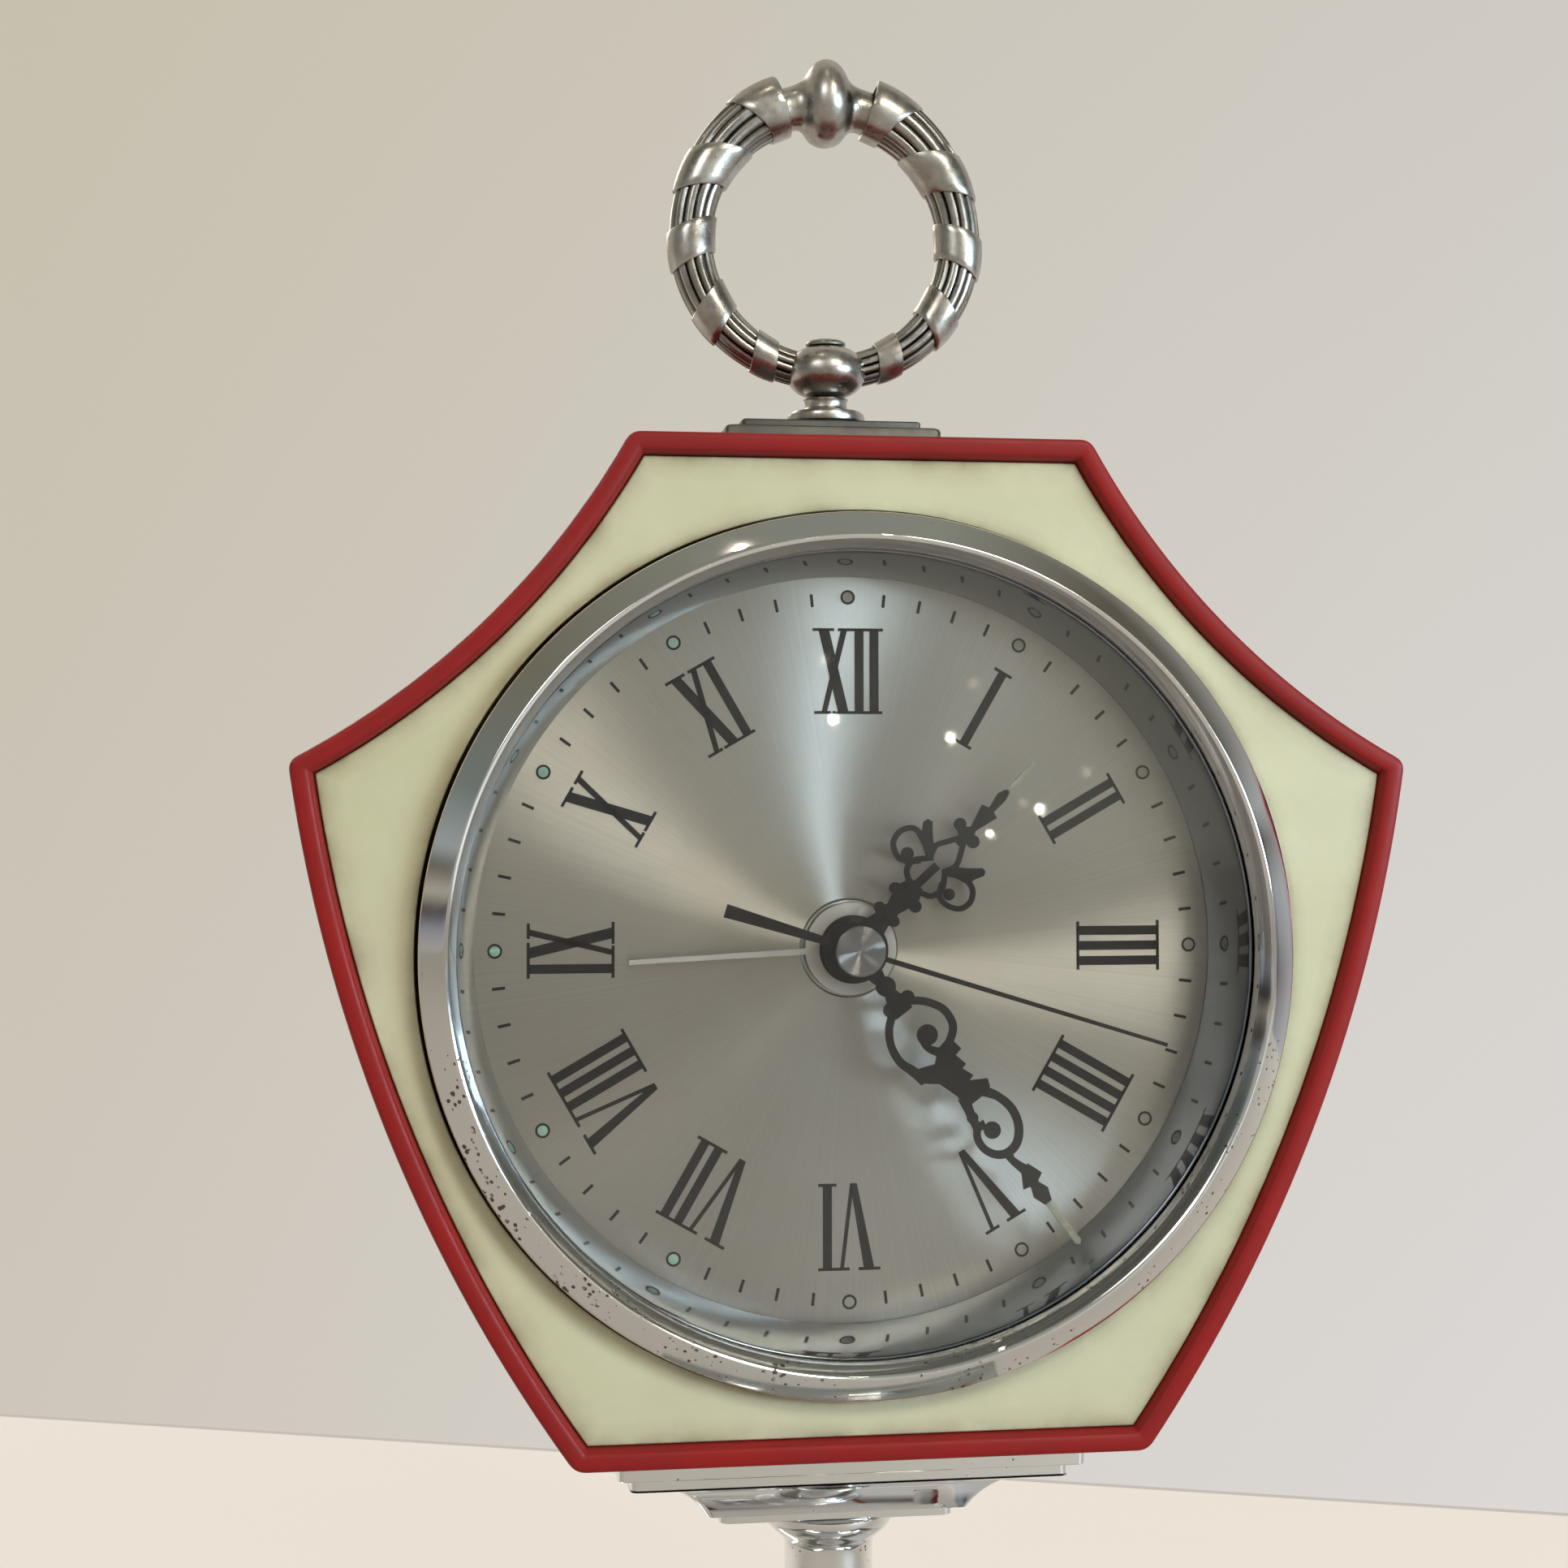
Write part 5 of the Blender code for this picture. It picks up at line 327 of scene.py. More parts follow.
def case_outline(inset):
    """The outline of the case, drawn in by an inset, as points round the middle of the dial."""
    upper = arc_middle(TOP_CORNER, SIDE_CORNER, UPPER_SIDE_RADIUS, 1)
    lower = arc_middle(SIDE_CORNER, FOOT_CORNER, LOWER_SIDE_RADIUS, -1)
    upper_radius, lower_radius = UPPER_SIDE_RADIUS + inset, LOWER_SIDE_RADIUS - inset
    top_rise, foot_rise = TOP_CORNER.y - inset, FOOT_CORNER.y + inset
    top = Vector((upper.x - math.sqrt(upper_radius**2 - (top_rise - upper.y) ** 2), top_rise))
    foot = Vector((lower.x + math.sqrt(lower_radius**2 - (foot_rise - lower.y) ** 2), foot_rise))
    apart = lower - upper
    near = (upper_radius**2 - lower_radius**2 + apart.length_squared) / (2 * apart.length)
    off = math.sqrt(upper_radius**2 - near**2)
    away = apart.normalized()
    across = Vector((-away.y, away.x))
    meetings = [upper + away * near + across * off, upper + away * near - across * off]
    side = min(meetings, key=lambda point: (point - SIDE_CORNER).length)
    flip = Vector((-1, 1))
    corners = [top * flip, top, side, foot, foot * flip, side * flip]
    middles = [None, upper, lower, None, lower * flip, upper * flip]
    reach = max(CORNER_REACH * (1 - inset), LEAST_CORNER_REACH)
    points = []
    for index, corner in enumerate(corners):
        following = corners[(index + 1) % 6]
        trim = reach / (following - corner).length
        middle = middles[index]
        for step in range(SIDE_STEPS + 1):
            points.append(along(corner, following, middle, trim + (1 - 2 * trim) * step / SIDE_STEPS))
        second = corners[(index + 2) % 6]
        last_point = points[-1]
        next_trim = reach / (second - following).length
        next_point = along(following, second, middles[(index + 1) % 6], next_trim)
        for step in range(1, CORNER_STEPS):
            share = step / CORNER_STEPS
            points.append(last_point.lerp(following, share).lerp(following.lerp(next_point, share), share))
    return points


def case_loop(inset, depth):
    """The outline of the case, drawn in by an inset, at a depth."""
    return [Vector((x, depth, DIAL_Z + z)) for x, z in case_outline(inset)]


def lofted(bm, loops, closed=False):
    """Skins outlines of as many points each: the first is extruded and moved onto the next, and so on."""
    ring = [bm.verts.new(point) for point in loops[0]]
    edges = [bm.edges.new((ring[index - 1], ring[index])) for index in range(len(ring))]
    for points in loops[1:] + (loops[:1] if closed else []):
        places = {tuple(vert.co): index for index, vert in enumerate(ring)}
        made = bmesh.ops.extrude_edge_only(bm, edges=edges)["geom"]
        fresh = [part for part in made if isinstance(part, bmesh.types.BMVert)]
        ring = sorted(fresh, key=lambda vert: places[tuple(vert.co)])
        for vert, point in zip(ring, points):
            vert.co = point
        among = set(fresh)
        edges = [
            part for part in made
            if isinstance(part, bmesh.types.BMEdge) and part.verts[0] in among and part.verts[1] in among
        ]


def turned(bm, profile, middle, axis="Y", steps=128, closed=True):
    """Spins a profile of (radius, place along the axis) round an axis through a middle."""
    middle = Vector(middle)
    ways = {"X": ((0, 0, 1), (1, 0, 0)), "Y": ((1, 0, 0), (0, 1, 0)), "Z": ((1, 0, 0), (0, 0, 1))}
    out, forth = (Vector(way) for way in ways[axis])
    verts = [bm.verts.new(middle + out * radius + forth * place) for radius, place in profile]
    edges = [bm.edges.new(pair) for pair in zip(verts, verts[1:])]
    if closed:
        edges.append(bm.edges.new((verts[-1], verts[0])))
    bmesh.ops.spin(
        bm, geom=verts + edges, cent=middle, axis=forth, angle=2 * math.pi, steps=steps, use_merge=True
    )


def eased(corners, steps=4):
    """Rounds the corners of an outline, each given as (across, along, radius)."""
    points = []
    for index, (across, forth, radius) in enumerate(corners):
        corner = Vector((across, forth))
        if not radius:
            points.append(corner)
            continue
        before = Vector(corners[index - 1][:2]) - corner
        after = Vector(corners[(index + 1) % len(corners)][:2]) - corner
        half = before.angle(after) / 2
        reach = min(radius / math.tan(half), before.length * MOST_EASED, after.length * MOST_EASED)
        start, end = corner + before.normalized() * reach, corner + after.normalized() * reach
        middle = corner + (start + end - 2 * corner).normalized() * reach / math.cos(half)
        points += [along(start, end, middle, step / steps) for step in range(steps + 1)]
    return points


def piece(name, bm, body, material, nodes=(), sharp=32):
    """Turns a mesh built in millimetres into a piece that rides on a body and stands for CAD nodes."""
    bmesh.ops.remove_doubles(bm, verts=bm.verts, dist=WELD)
    bmesh.ops.recalc_face_normals(bm, faces=bm.faces)
    bmesh.ops.scale(bm, vec=(MM, MM, MM), verts=bm.verts)
    mesh = bpy.data.meshes.new(name)
    bm.to_mesh(mesh)
    bm.free()
    mesh.shade_smooth()
    mesh.set_sharp_from_angle(angle=math.radians(sharp))
    mesh.materials.append(material)
    made = bpy.data.objects.new(name, mesh)
    bpy.context.scene.collection.objects.link(made)
    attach(made, body)
    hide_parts(*nodes)


def noise(material, scale, detail=3.0, roughness=0.6, stretch=(1, 1, 1)):
    """A noise on Object coordinates, whose scale is in waves for each metre."""
    place = add(material, "Mapping", Vector=surface_place(material), Scale=stretch).outputs[0]
    made = add(material, "TexNoise", Vector=place, Scale=scale, Detail=detail, Roughness=roughness)
    return made.outputs["Fac"]


def clouded(material, value, low, high, first, second, most=1):
    """Lets the colour go from one to another as a value goes from low to high."""
    share = between(material, value, low, high, 0, most)
    feed(material, "Base Color", blended(material, share, first, second))


def roughened(material, value, least, most):
    """Lets the roughness follow a noise."""
    feed(material, "Roughness", between(material, value, 0.3, 0.7, least, most))


def grained(material, value, depth, distance=0.00005):
    """Gives the surface a fine relief from a value."""
    bump = add(material, "Bump", Height=value, Strength=depth, Distance=distance)
    feed(material, "Normal", bump.outputs[0])


case_plastic = finish("case_plastic", CASE_RED, roughness=0.42, Specular_IOR_Level=0.18)
clouded(case_plastic, noise(case_plastic, 60, 4), 0.35, 0.7, CASE_RED, CASE_RED_DULL)
roughened(case_plastic, noise(case_plastic, 420, 5, stretch=(1, 0.3, 1)), 0.32, 0.46)
grained(case_plastic, noise(case_plastic, 2600, 2), 0.12)

bm = bmesh.new()
lofted(bm, [case_loop(inset, depth) for inset, depth in CASE_SECTION], closed=True)
boss = (
    (BOSS_BORE, BOSS_FRONT), (BOSS_RADIUS, BOSS_FRONT), (BOSS_RADIUS, BOSS_BACK), (BOSS_BORE, BOSS_BACK),
)
for x, z in BOSS_PLACES:
    turned(bm, boss, (x, 0, z), steps=32)
piece("case_shell", bm, "clock", case_plastic, ["case_frame"])

# Front panel. A flat plate enamelled cream, let into the rim of the case, with a round hole for the
# bezel. Along its edge and round the hole it is painted brown: partly dirt, and partly painted shade
# where the rim and the bezel shade it.
PANEL_FRONT = -24.9
PANEL_BACK = -23.3
PANEL_EDGE_INSET = 2.5
PANEL_HOLE_RADIUS = 46.85
EDGE_ROWS = (  # (inset from the rim, depth, dirt and painted shade) up to the flat, then (distance from the edge, the same)
    (PANEL_EDGE_INSET, PANEL_BACK, 1.0), (PANEL_EDGE_INSET, PANEL_FRONT + 0.12, 1.0),
    (PANEL_EDGE_INSET + 0.12, PANEL_FRONT, 0.9),
)
FLAT_FROM_EDGE = ((0.45, 0.62), (1.3, 0.34), (2.8, 0.14))
FLAT_TO_HOLE = ((1.9, 0.14), (0.8, 0.3), (0.25, 0.55))
HOLE_ROWS = (  # (radius, depth, dirt and painted shade)
    (PANEL_HOLE_RADIUS + 0.1, PANEL_FRONT + 0.08, 0.8), (PANEL_HOLE_RADIUS, PANEL_FRONT + 0.35, 1.0),
    (PANEL_HOLE_RADIUS, PANEL_BACK, 1.0),
)
HOLE_LIP = 0.2
FLAT_LIMIT = 0.12  # of the way from the edge to the hole, times one more than the distance
CREAM = paint(203, 199, 169)
CREAM_WARM = paint(200, 196, 161)
GRIME_SHADE_BROWN = paint(104, 82, 50)

bm = bmesh.new()
grime_and_shade = bm.verts.layers.float.new("grime_and_shade")
rows = [(case_loop(inset, depth), shade) for inset, depth, shade in EDGE_ROWS]
edge = rows[-1][0]
middle = Vector((0, PANEL_FRONT, DIAL_Z))
outward = [(point - middle).normalized() for point in edge]
hole = [middle + way * (PANEL_HOLE_RADIUS + HOLE_LIP) for way in outward]
for stretch, starts, ends in ((FLAT_FROM_EDGE, edge, hole), (FLAT_TO_HOLE, hole, edge)):
    for distance, shade in stretch:
        limit = FLAT_LIMIT * (1 + distance)
        shares = [min(distance / (end - start).length, limit) for start, end in zip(starts, ends)]
        rows.append(([start.lerp(end, part) for start, end, part in zip(starts, ends, shares)], shade))
for radius, depth, shade in HOLE_ROWS:
    rows.append(([Vector((0, depth, DIAL_Z)) + way * radius for way in outward], shade))
lofted(bm, [row for row, _ in rows], closed=True)
shade_of = {tuple(round(part, 3) for part in point): shade for row, shade in rows for point in row}
for vert in bm.verts:
    vert[grime_and_shade] = shade_of.get(tuple(round(part, 3) for part in vert.co), 0)
panel_enamel = finish("panel_enamel", CREAM, roughness=0.34)
# The brown is partly dirt and partly painted shade, strongest by the rim and round the hole.
dirt_and_shade = add(panel_enamel, "Attribute", {"attribute_name": "grime_and_shade"}).outputs["Fac"]
patches = between(panel_enamel, noise(panel_enamel, 130, 5), 0.3, 0.65, 0.1, 0.75)
warmth = between(panel_enamel, noise(panel_enamel, 22, 3), 0.35, 0.7)
cream = blended(panel_enamel, warmth, CREAM, CREAM_WARM)
share = maths(panel_enamel, "MULTIPLY", dirt_and_shade, patches)
feed(panel_enamel, "Base Color", blended(panel_enamel, share, cream, GRIME_SHADE_BROWN))
roughened(panel_enamel, noise(panel_enamel, 300, 4), 0.3, 0.42)
grained(panel_enamel, noise(panel_enamel, 900, 3), 0.1)
piece("panel_plate", bm, "clock", panel_enamel, ["front_panel"])

# Bezel. A ring spun from brass and chromed, with a flange behind the panel. Its face slopes up to a
# narrow ridge and drops steeply to the lens. Time has pitted the plating low down on both sides.
BEZEL_PROFILE = (
    (48.3, -23.2, 0.2), (48.3, -22.2, 0.2), (44.0, -22.2, 0.1), (44.0, -25.6, 0.05), (42.6, -25.6, 0.1),
    (42.6, -27.5, 0.35), (43.45, -28.95, 0.3), (43.8, -29.15, 0.25), (44.2, -28.9, 0.3),
    (46.5, -27.2, 0.45), (46.5, -23.2, 0.0),
)
DIAL_MIDDLE = (0, 0, DIAL_Z)
CHROME = (0.80, 0.81, 0.82)
PIT = (0.16, 0.13, 0.11)
PIT_HEIGHTS = (118.0, 85.0)  # from where the pits begin down to where they are most
PIT_CROWD = 0.16
GAP_LIT, GAP_SHADED = -25.25, -24.95  # depths between which the ring's side turns from chrome to painted shade
GAP_SHADE_COLOUR = (0.035, 0.024, 0.012)


def chromed(name, pit_share):
    """Bright chrome with a light haze, fine scratches and, low down, pits."""
    material = finish(name, CHROME, metallic=1.0, roughness=0.06)
    haze = between(material, noise(material, 160, 5), 0.35, 0.75, 0.035, 0.13)
    heights = [height * MM for height in PIT_HEIGHTS]
    lowness = between(material, coordinate(material, 2), *heights, 0, PIT_CROWD * pit_share)
    crowd = maths(material, "ADD", noise(material, 150, 5, 0.7), lowness)
    size = between(material, crowd, 0.56, 0.78, 0.0, 0.42)
    spots = add(material, "TexVoronoi", Vector=surface_place(material), Scale=1300.0, Randomness=1.0)
    dots = between(material, maths(material, "SUBTRACT", size, spots.outputs["Distance"]), 0.0, 0.06)
    groups = between(material, noise(material, 700, 3), 0.38, 0.5)
    pits = maths(material, "MULTIPLY", dots, groups)
    feed(material, "Base Color", blended(material, pits, CHROME, PIT))
    feed(material, "Roughness", maths(material, "MULTIPLY_ADD", pits, 0.5, haze))
    grained(material, noise(material, 240, 3, stretch=(1, 0.4, 1)), 0.06)
    return material


def spun(name, profile, middle, body, slot, material, nodes=(), axis="Y", steps=64, closed=False, sharp=32):
    """A piece that is one profile turned round an axis."""
    bm = bmesh.new()
    turned(bm, profile, middle, axis, steps, closed)
    piece(name, bm, body, material, nodes, sharp)


pitted_chrome = chromed("pitted_chrome", 1.0)
inputs = pitted_chrome.node_tree.nodes["Principled BSDF"].inputs
colour, rough = (inputs[name].links[0].from_socket for name in ("Base Color", "Roughness"))
# Painted shade: the ring's side next to the panel, where the gap lies in shadow, is painted dark and dull.
gap_shade = between(pitted_chrome, coordinate(pitted_chrome, 1), GAP_LIT * MM, GAP_SHADED * MM)
feed(pitted_chrome, "Base Color", blended(pitted_chrome, gap_shade, colour, GAP_SHADE_COLOUR))
feed(pitted_chrome, "Metallic", between(pitted_chrome, gap_shade, 0, 1, 1, 0))
feed(pitted_chrome, "Roughness", maths(pitted_chrome, "MAXIMUM", rough, gap_shade))
spun(
    "bezel_ring", eased(BEZEL_PROFILE), DIAL_MIDDLE, "clock", "chrome_plate", pitted_chrome, ["bezel"],
    steps=256, closed=True, sharp=50,
)

# Lens. A clear acrylic disc, moulded with a low dome. It sits in the pocket of the bezel, in front of
# the reflector ring, and keeps dust off the dial.
LENS_RADIUS = 43.8
LENS_FRONT = -25.5
LENS_BACK = -24.0
LENS_DOME = 0.35
LENS_BEVEL = 0.1
LENS_RINGS = 10
profile = [(0, LENS_BACK), (LENS_RADIUS - LENS_BEVEL, LENS_BACK), (LENS_RADIUS, LENS_BACK - LENS_BEVEL)]
for share in (1 - step / LENS_RINGS for step in range(LENS_RINGS + 1)):
    profile.append((LENS_RADIUS * share, LENS_FRONT + LENS_DOME * share**2))
clear = {"Transmission_Weight": 1.0, "IOR": 1.46, "Specular_IOR_Level": 0.35}
lens_acrylic = finish("lens_acrylic", (1, 1, 1), roughness=0.02, **clear)
spun("lens_dome", profile, DIAL_MIDDLE, "clock", "lens_acrylic", lens_acrylic, ["lens"], steps=128)

# Reflector ring. A cone of satin anodised metal between the lens and the dial, in which the ticks of
# the dial are mirrored. Its foot clamps the edge of the dial.
REFLECTOR_PROFILE = (
    (42.5, -23.9, 0.3), (40.5, -14.9, 0.12), (43.0, -14.9, 0.0), (43.0, -15.5, 0.0), (41.2, -15.5, 0.2),
    (42.9, -22.9, 0.2), (43.8, -22.9, 0.0), (43.8, -23.9, 0.0),
)
satin_metal = finish("satin_metal", (0.225, 0.25, 0.28), metallic=1.0, roughness=0.05)
roughened(satin_metal, noise(satin_metal, 200, 4), 0.025, 0.07)
grained(satin_metal, noise(satin_metal, 3000, 2, stretch=(0.05, 1, 0.05)), 0.012)
spun(
    "reflector_cone", eased(REFLECTOR_PROFILE), DIAL_MIDDLE, "clock", "satin_metal", satin_metal,
    ["reflector_ring"], steps=256, closed=True,
)

# Dial. A brass plate, silvered and brushed outwards from its middle, so that it shows bright wedges.
# It has a low ring round its hole. Numerals, ticks and the rings for the dots are printed in black.
DIAL_FACE = -14.8
PRINT = (DIAL_FACE - 0.04, DIAL_FACE)  # the depths of its front and its back
BOSS_RING_PROFILE = (
    (4.5, DIAL_FACE, 0), (4.72, DIAL_FACE - 0.22, 0.1), (5.2, DIAL_FACE - 0.22, 0.1), (5.42, DIAL_FACE, 0),
)
HOUR_STEP, MINUTE_STEP = math.radians(30), math.radians(6)
FOOT_RADIUS, HEAD_RADIUS = 25.5, 34.9
SERIF = 0.33
STROKE = 1.0
STROKES_APART = 1.66
TEN_STROKES = [(-1.74, -0.56, 0.49, 1.67), (0.84, 1.53, -1.43, -0.83)]
FIVE_STROKES = [(-2.08, -0.92, -0.12, 0.62), (1.33, 1.77, 0.2, 0.62)]
ONE_BEFORE_TEN, ONE_AFTER_TEN, ONE_AFTER_FIVE = -2.8, 2.8, 3.12
TICK_RADII = (37.4, 38.8)
TICK_HALF = 0.165
DOT_RADIUS = 38.3
DOT_OUTER, DOT_INNER = 0.8, 0.56
DIAL_SILVER = (0.37, 0.37, 0.355)
DIAL_STREAKS = ((0.41, 0.405, 0.375), (0.505, 0.50, 0.47))
DIAL_CLOUDS = (0.41, 0.385, 0.325)


def vector_maths(material, operation, *values, result=0):
    """The result of a Vector Math node, whose inputs are vectors or come from other nodes."""
    inputs = {f"i{index}": value for index, value in enumerate(values)}
    return add(material, "VectorMath", {"operation": operation}, **inputs).outputs[result]


def from_middle(material):
    """The flat way from the middle of the dial to the place on the piece, in metres."""
    middle = (0, 0, DIAL_Z * MM)
    outward = vector_maths(material, "SUBTRACT", surface_place(material), middle)
    return vector_maths(material, "MULTIPLY", outward, (1, 0, 1))


dial_metal = finish("dial_metal", DIAL_SILVER, metallic=1.0, roughness=0.38, Anisotropic=0.95)
ray = vector_maths(dial_metal, "NORMALIZE", from_middle(dial_metal))
feed(dial_metal, "Tangent", vector_maths(dial_metal, "CROSS_PRODUCT", ray, (0, 1, 0)))
streaks = add(dial_metal, "TexNoise", Vector=ray, Scale=140.0, Detail=6.0, Roughness=0.7).outputs["Fac"]
shine = blended(dial_metal, between(dial_metal, streaks, 0.3, 0.7), *DIAL_STREAKS)
clouded(dial_metal, noise(dial_metal, 45, 3), 0.3, 0.7, shine, DIAL_CLOUDS, 0.5)
roughened(dial_metal, streaks, 0.32, 0.44)
frame["nodes"]["dial_plate"].data.materials.clear()
frame["nodes"]["dial_plate"].data.materials.append(dial_metal)
spun(
    "dial_boss_ring", eased(BOSS_RING_PROFILE), DIAL_MIDDLE, "clock", "dial_metal", dial_metal,
    steps=96, closed=True,
)


def on_dial(forth, right, angle, middle=(0, DIAL_Z)):
    """The place forth from a middle at an angle clockwise from twelve, and right of that line."""
    x = middle[0] + forth * math.sin(angle) + right * math.cos(angle)
    z = middle[1] + forth * math.cos(angle) - right * math.sin(angle)
    return Vector((x, z))


def bar(low, high, half):
    """The corners of a mark that points away from the middle, as places forth and right."""
    return (low, -half), (high, -half), (high, half), (low, half)


def slab(bm, outline, front, back):
    """A flat shape with an outline in X and Z, from one depth to another."""
    face = bm.faces.new([bm.verts.new((x, back, z)) for x, z in outline])
    made = bmesh.ops.extrude_face_region(bm, geom=[face])["geom"]
    verts = [part for part in made if isinstance(part, bmesh.types.BMVert)]
    bmesh.ops.translate(bm, vec=(0, front - back, 0), verts=verts)


def straight(middle):
    """A stroke that stands upright: left and right at its head, then at its foot."""
    return (middle - STROKE / 2, middle + STROKE / 2) * 2


def numeral(before, tens, fives, ones):
    """A Roman numeral's strokes, each (left and right at the head, left and right at the foot), the
    (left, right) of its serifs at the head and at the foot, and its middle."""
    strokes, heads, feet = [], [], []
    place = 0.0
    if before:
        strokes.append(straight(ONE_BEFORE_TEN))
    if tens:
        strokes += TEN_STROKES
        heads += [(-3.8 if before else -2.35, 0.04), (0.44, 2.1)]
        feet += [(-3.8 if before else -2.19, -0.35), (-0.17, 2.2)]
        place = ONE_AFTER_TEN
    if fives:
        strokes += FIVE_STROKES
        heads += [(-2.7, -0.3), (0.68, 2.42)]
        place = ONE_AFTER_FIVE
    places = [place + index * STROKES_APART for index in range(ones)]
    strokes += [straight(middle) for middle in places]
    if ones:
        right = places[-1] + STROKE / 2 + 0.5
        if tens or fives:
            heads[-1] = (heads[-1][0], right)
        else:
            heads.append((places[0] - STROKE / 2 - 0.6, right + 0.1))
        if tens:
            feet[-1] = (feet[-1][0], right - 0.1)
        else:
            feet.append((places[0] - STROKE / 2 - 0.5, right))
    ends = [end for span in strokes + heads for end in span]
    return strokes, heads, feet, (min(ends) + max(ends)) / 2


NUMERALS = (  # one before, tens, fives, ones, from the first hour to the twelfth
    (0, 0, 0, 1), (0, 0, 0, 2), (0, 0, 0, 3), (0, 0, 0, 4), (0, 0, 1, 0), (0, 0, 1, 1), (0, 0, 1, 2),
    (0, 0, 1, 3), (1, 1, 0, 0), (0, 1, 0, 0), (0, 1, 0, 1), (0, 1, 0, 2),
)
dial_black = finish("dial_black", (0.007, 0.007, 0.008), roughness=0.5, Specular_IOR_Level=0.25)
roughened(dial_black, noise(dial_black, 900, 3), 0.42, 0.6)
bm = bmesh.new()
for hour, parts in enumerate(NUMERALS, 1):
    angle = hour * HOUR_STEP
    strokes, heads, feet, middle = numeral(*parts)
    bars = [(HEAD_RADIUS, *stroke[:2], FOOT_RADIUS, *stroke[2:]) for stroke in strokes]
    bars += [(HEAD_RADIUS, *span, HEAD_RADIUS - SERIF, *span) for span in heads]
    bars += [(FOOT_RADIUS + SERIF, *span, FOOT_RADIUS, *span) for span in feet]
    for head, head_left, head_right, foot, foot_left, foot_right in bars:
        corners = ((head, head_left), (head, head_right), (foot, foot_right), (foot, foot_left))
        slab(bm, [on_dial(forth, across - middle, angle) for forth, across in corners], *PRINT)
    for turn in (angle + tick * MINUTE_STEP for tick in range(1, 5)):
        slab(bm, [on_dial(*corner, turn) for corner in bar(*TICK_RADII, TICK_HALF)], *PRINT)
    x, z = on_dial(DOT_RADIUS, 0, angle)
    rim = list(zip((DOT_INNER, DOT_INNER, DOT_OUTER, DOT_OUTER), PRINT[::-1] + PRINT))
    turned(bm, rim, (x, 0, z), steps=32)
piece("dial_print", bm, "clock", dial_black)

# Luminous dots. A drop of pale paint stands in each printed ring of the dial. It is still greenish at
# the left and has gone grey at the right.
DOTS_GREENISH, DOTS_GREY = -12.0, 0.0  # how far to the right
DOT_PROFILE = (
    (0, DIAL_FACE - 0.06), (DOT_INNER * 0.6, DIAL_FACE - 0.055), (DOT_INNER, DIAL_FACE - 0.02),
    (DOT_INNER, DIAL_FACE), (0, DIAL_FACE),
)
dot_paint = finish("dot_paint", paint(196, 208, 184), roughness=0.6)
span = (DOTS_GREENISH * MM, DOTS_GREY * MM)
clouded(dot_paint, coordinate(dot_paint, 0), *span, paint(178, 214, 192), paint(172, 168, 152))
grained(dot_paint, noise(dot_paint, 4000, 3), 0.3)
bm = bmesh.new()
for hour in range(1, 13):
    x, z = on_dial(DOT_RADIUS, 0, hour * HOUR_STEP)
    turned(bm, DOT_PROFILE, (x, 0, z), steps=24, closed=False)
piece("dial_dots", bm, "clock", dot_paint)

# Hour hand. Stamped from thin steel sheet in open scrollwork and painted matt black, with a thin tip
# filled with luminous paint. It is pressed on the pipe of the hour wheel.
HOUR_ANGLE = math.radians(44.5)
HOUR_FRONT = -18.0
HOUR_HOLE = 2.6
HAND_THICKNESS = 0.3
STRIP_STEPS = 6
SAME_PLACE = 0.0001  # corners of shapes that lie nearer than this are one
hand_black = finish("hand_black", (0.007, 0.008, 0.009), roughness=0.48, Specular_IOR_Level=0.25)
roughened(hand_black, noise(hand_black, 700, 4), 0.4, 0.6)
grained(hand_black, noise(hand_black, 3000, 2), 0.15)
luminous_paint = finish("luminous_paint", paint(178, 180, 160), roughness=0.7)
worn = noise(luminous_paint, 900, 3)
clouded(luminous_paint, worn, 0.35, 0.65, paint(186, 188, 170), paint(166, 168, 148))


def disc(forth, right, radius, steps=20):
    """A round spot of a hand."""
    return [
        (forth + radius * math.cos(turn), right + radius * math.sin(turn))
        for turn in (2 * math.pi * step / steps for step in range(steps))
    ]


def strip(points, widths):
    """A curved band of a hand: a smooth line through points, with one width or a width at each."""
    if not isinstance(widths, (list, tuple)):
        widths = [widths] * len(points)
    knots = [Vector(point) for point in (points[0], *points, points[-1])]
    smooth = []
    for index in range(len(points) - 1):
        before, start, end, after = knots[index:index + 4]
        for share in (step / STRIP_STEPS for step in range(STRIP_STEPS)):
            bend = (
                start * 2 + (end - before) * share
                + (before * 2 - start * 5 + end * 4 - after) * share**2
                + (start * 3 - before - end * 3 + after) * share**3
            ) / 2
            smooth.append((bend, widths[index] + (widths[index + 1] - widths[index]) * share))
    smooth.append((knots[-1], widths[-1]))
    left, right = [], []
    for index, (point, width) in enumerate(smooth):
        before, after = smooth[max(index - 1, 0)][0], smooth[min(index + 1, len(smooth) - 1)][0]
        way = (after - before).normalized()
        side = Vector((-way.y, way.x)) * width / 2
        left.append(point + side)
        right.append(point - side)
    return left + right[::-1]


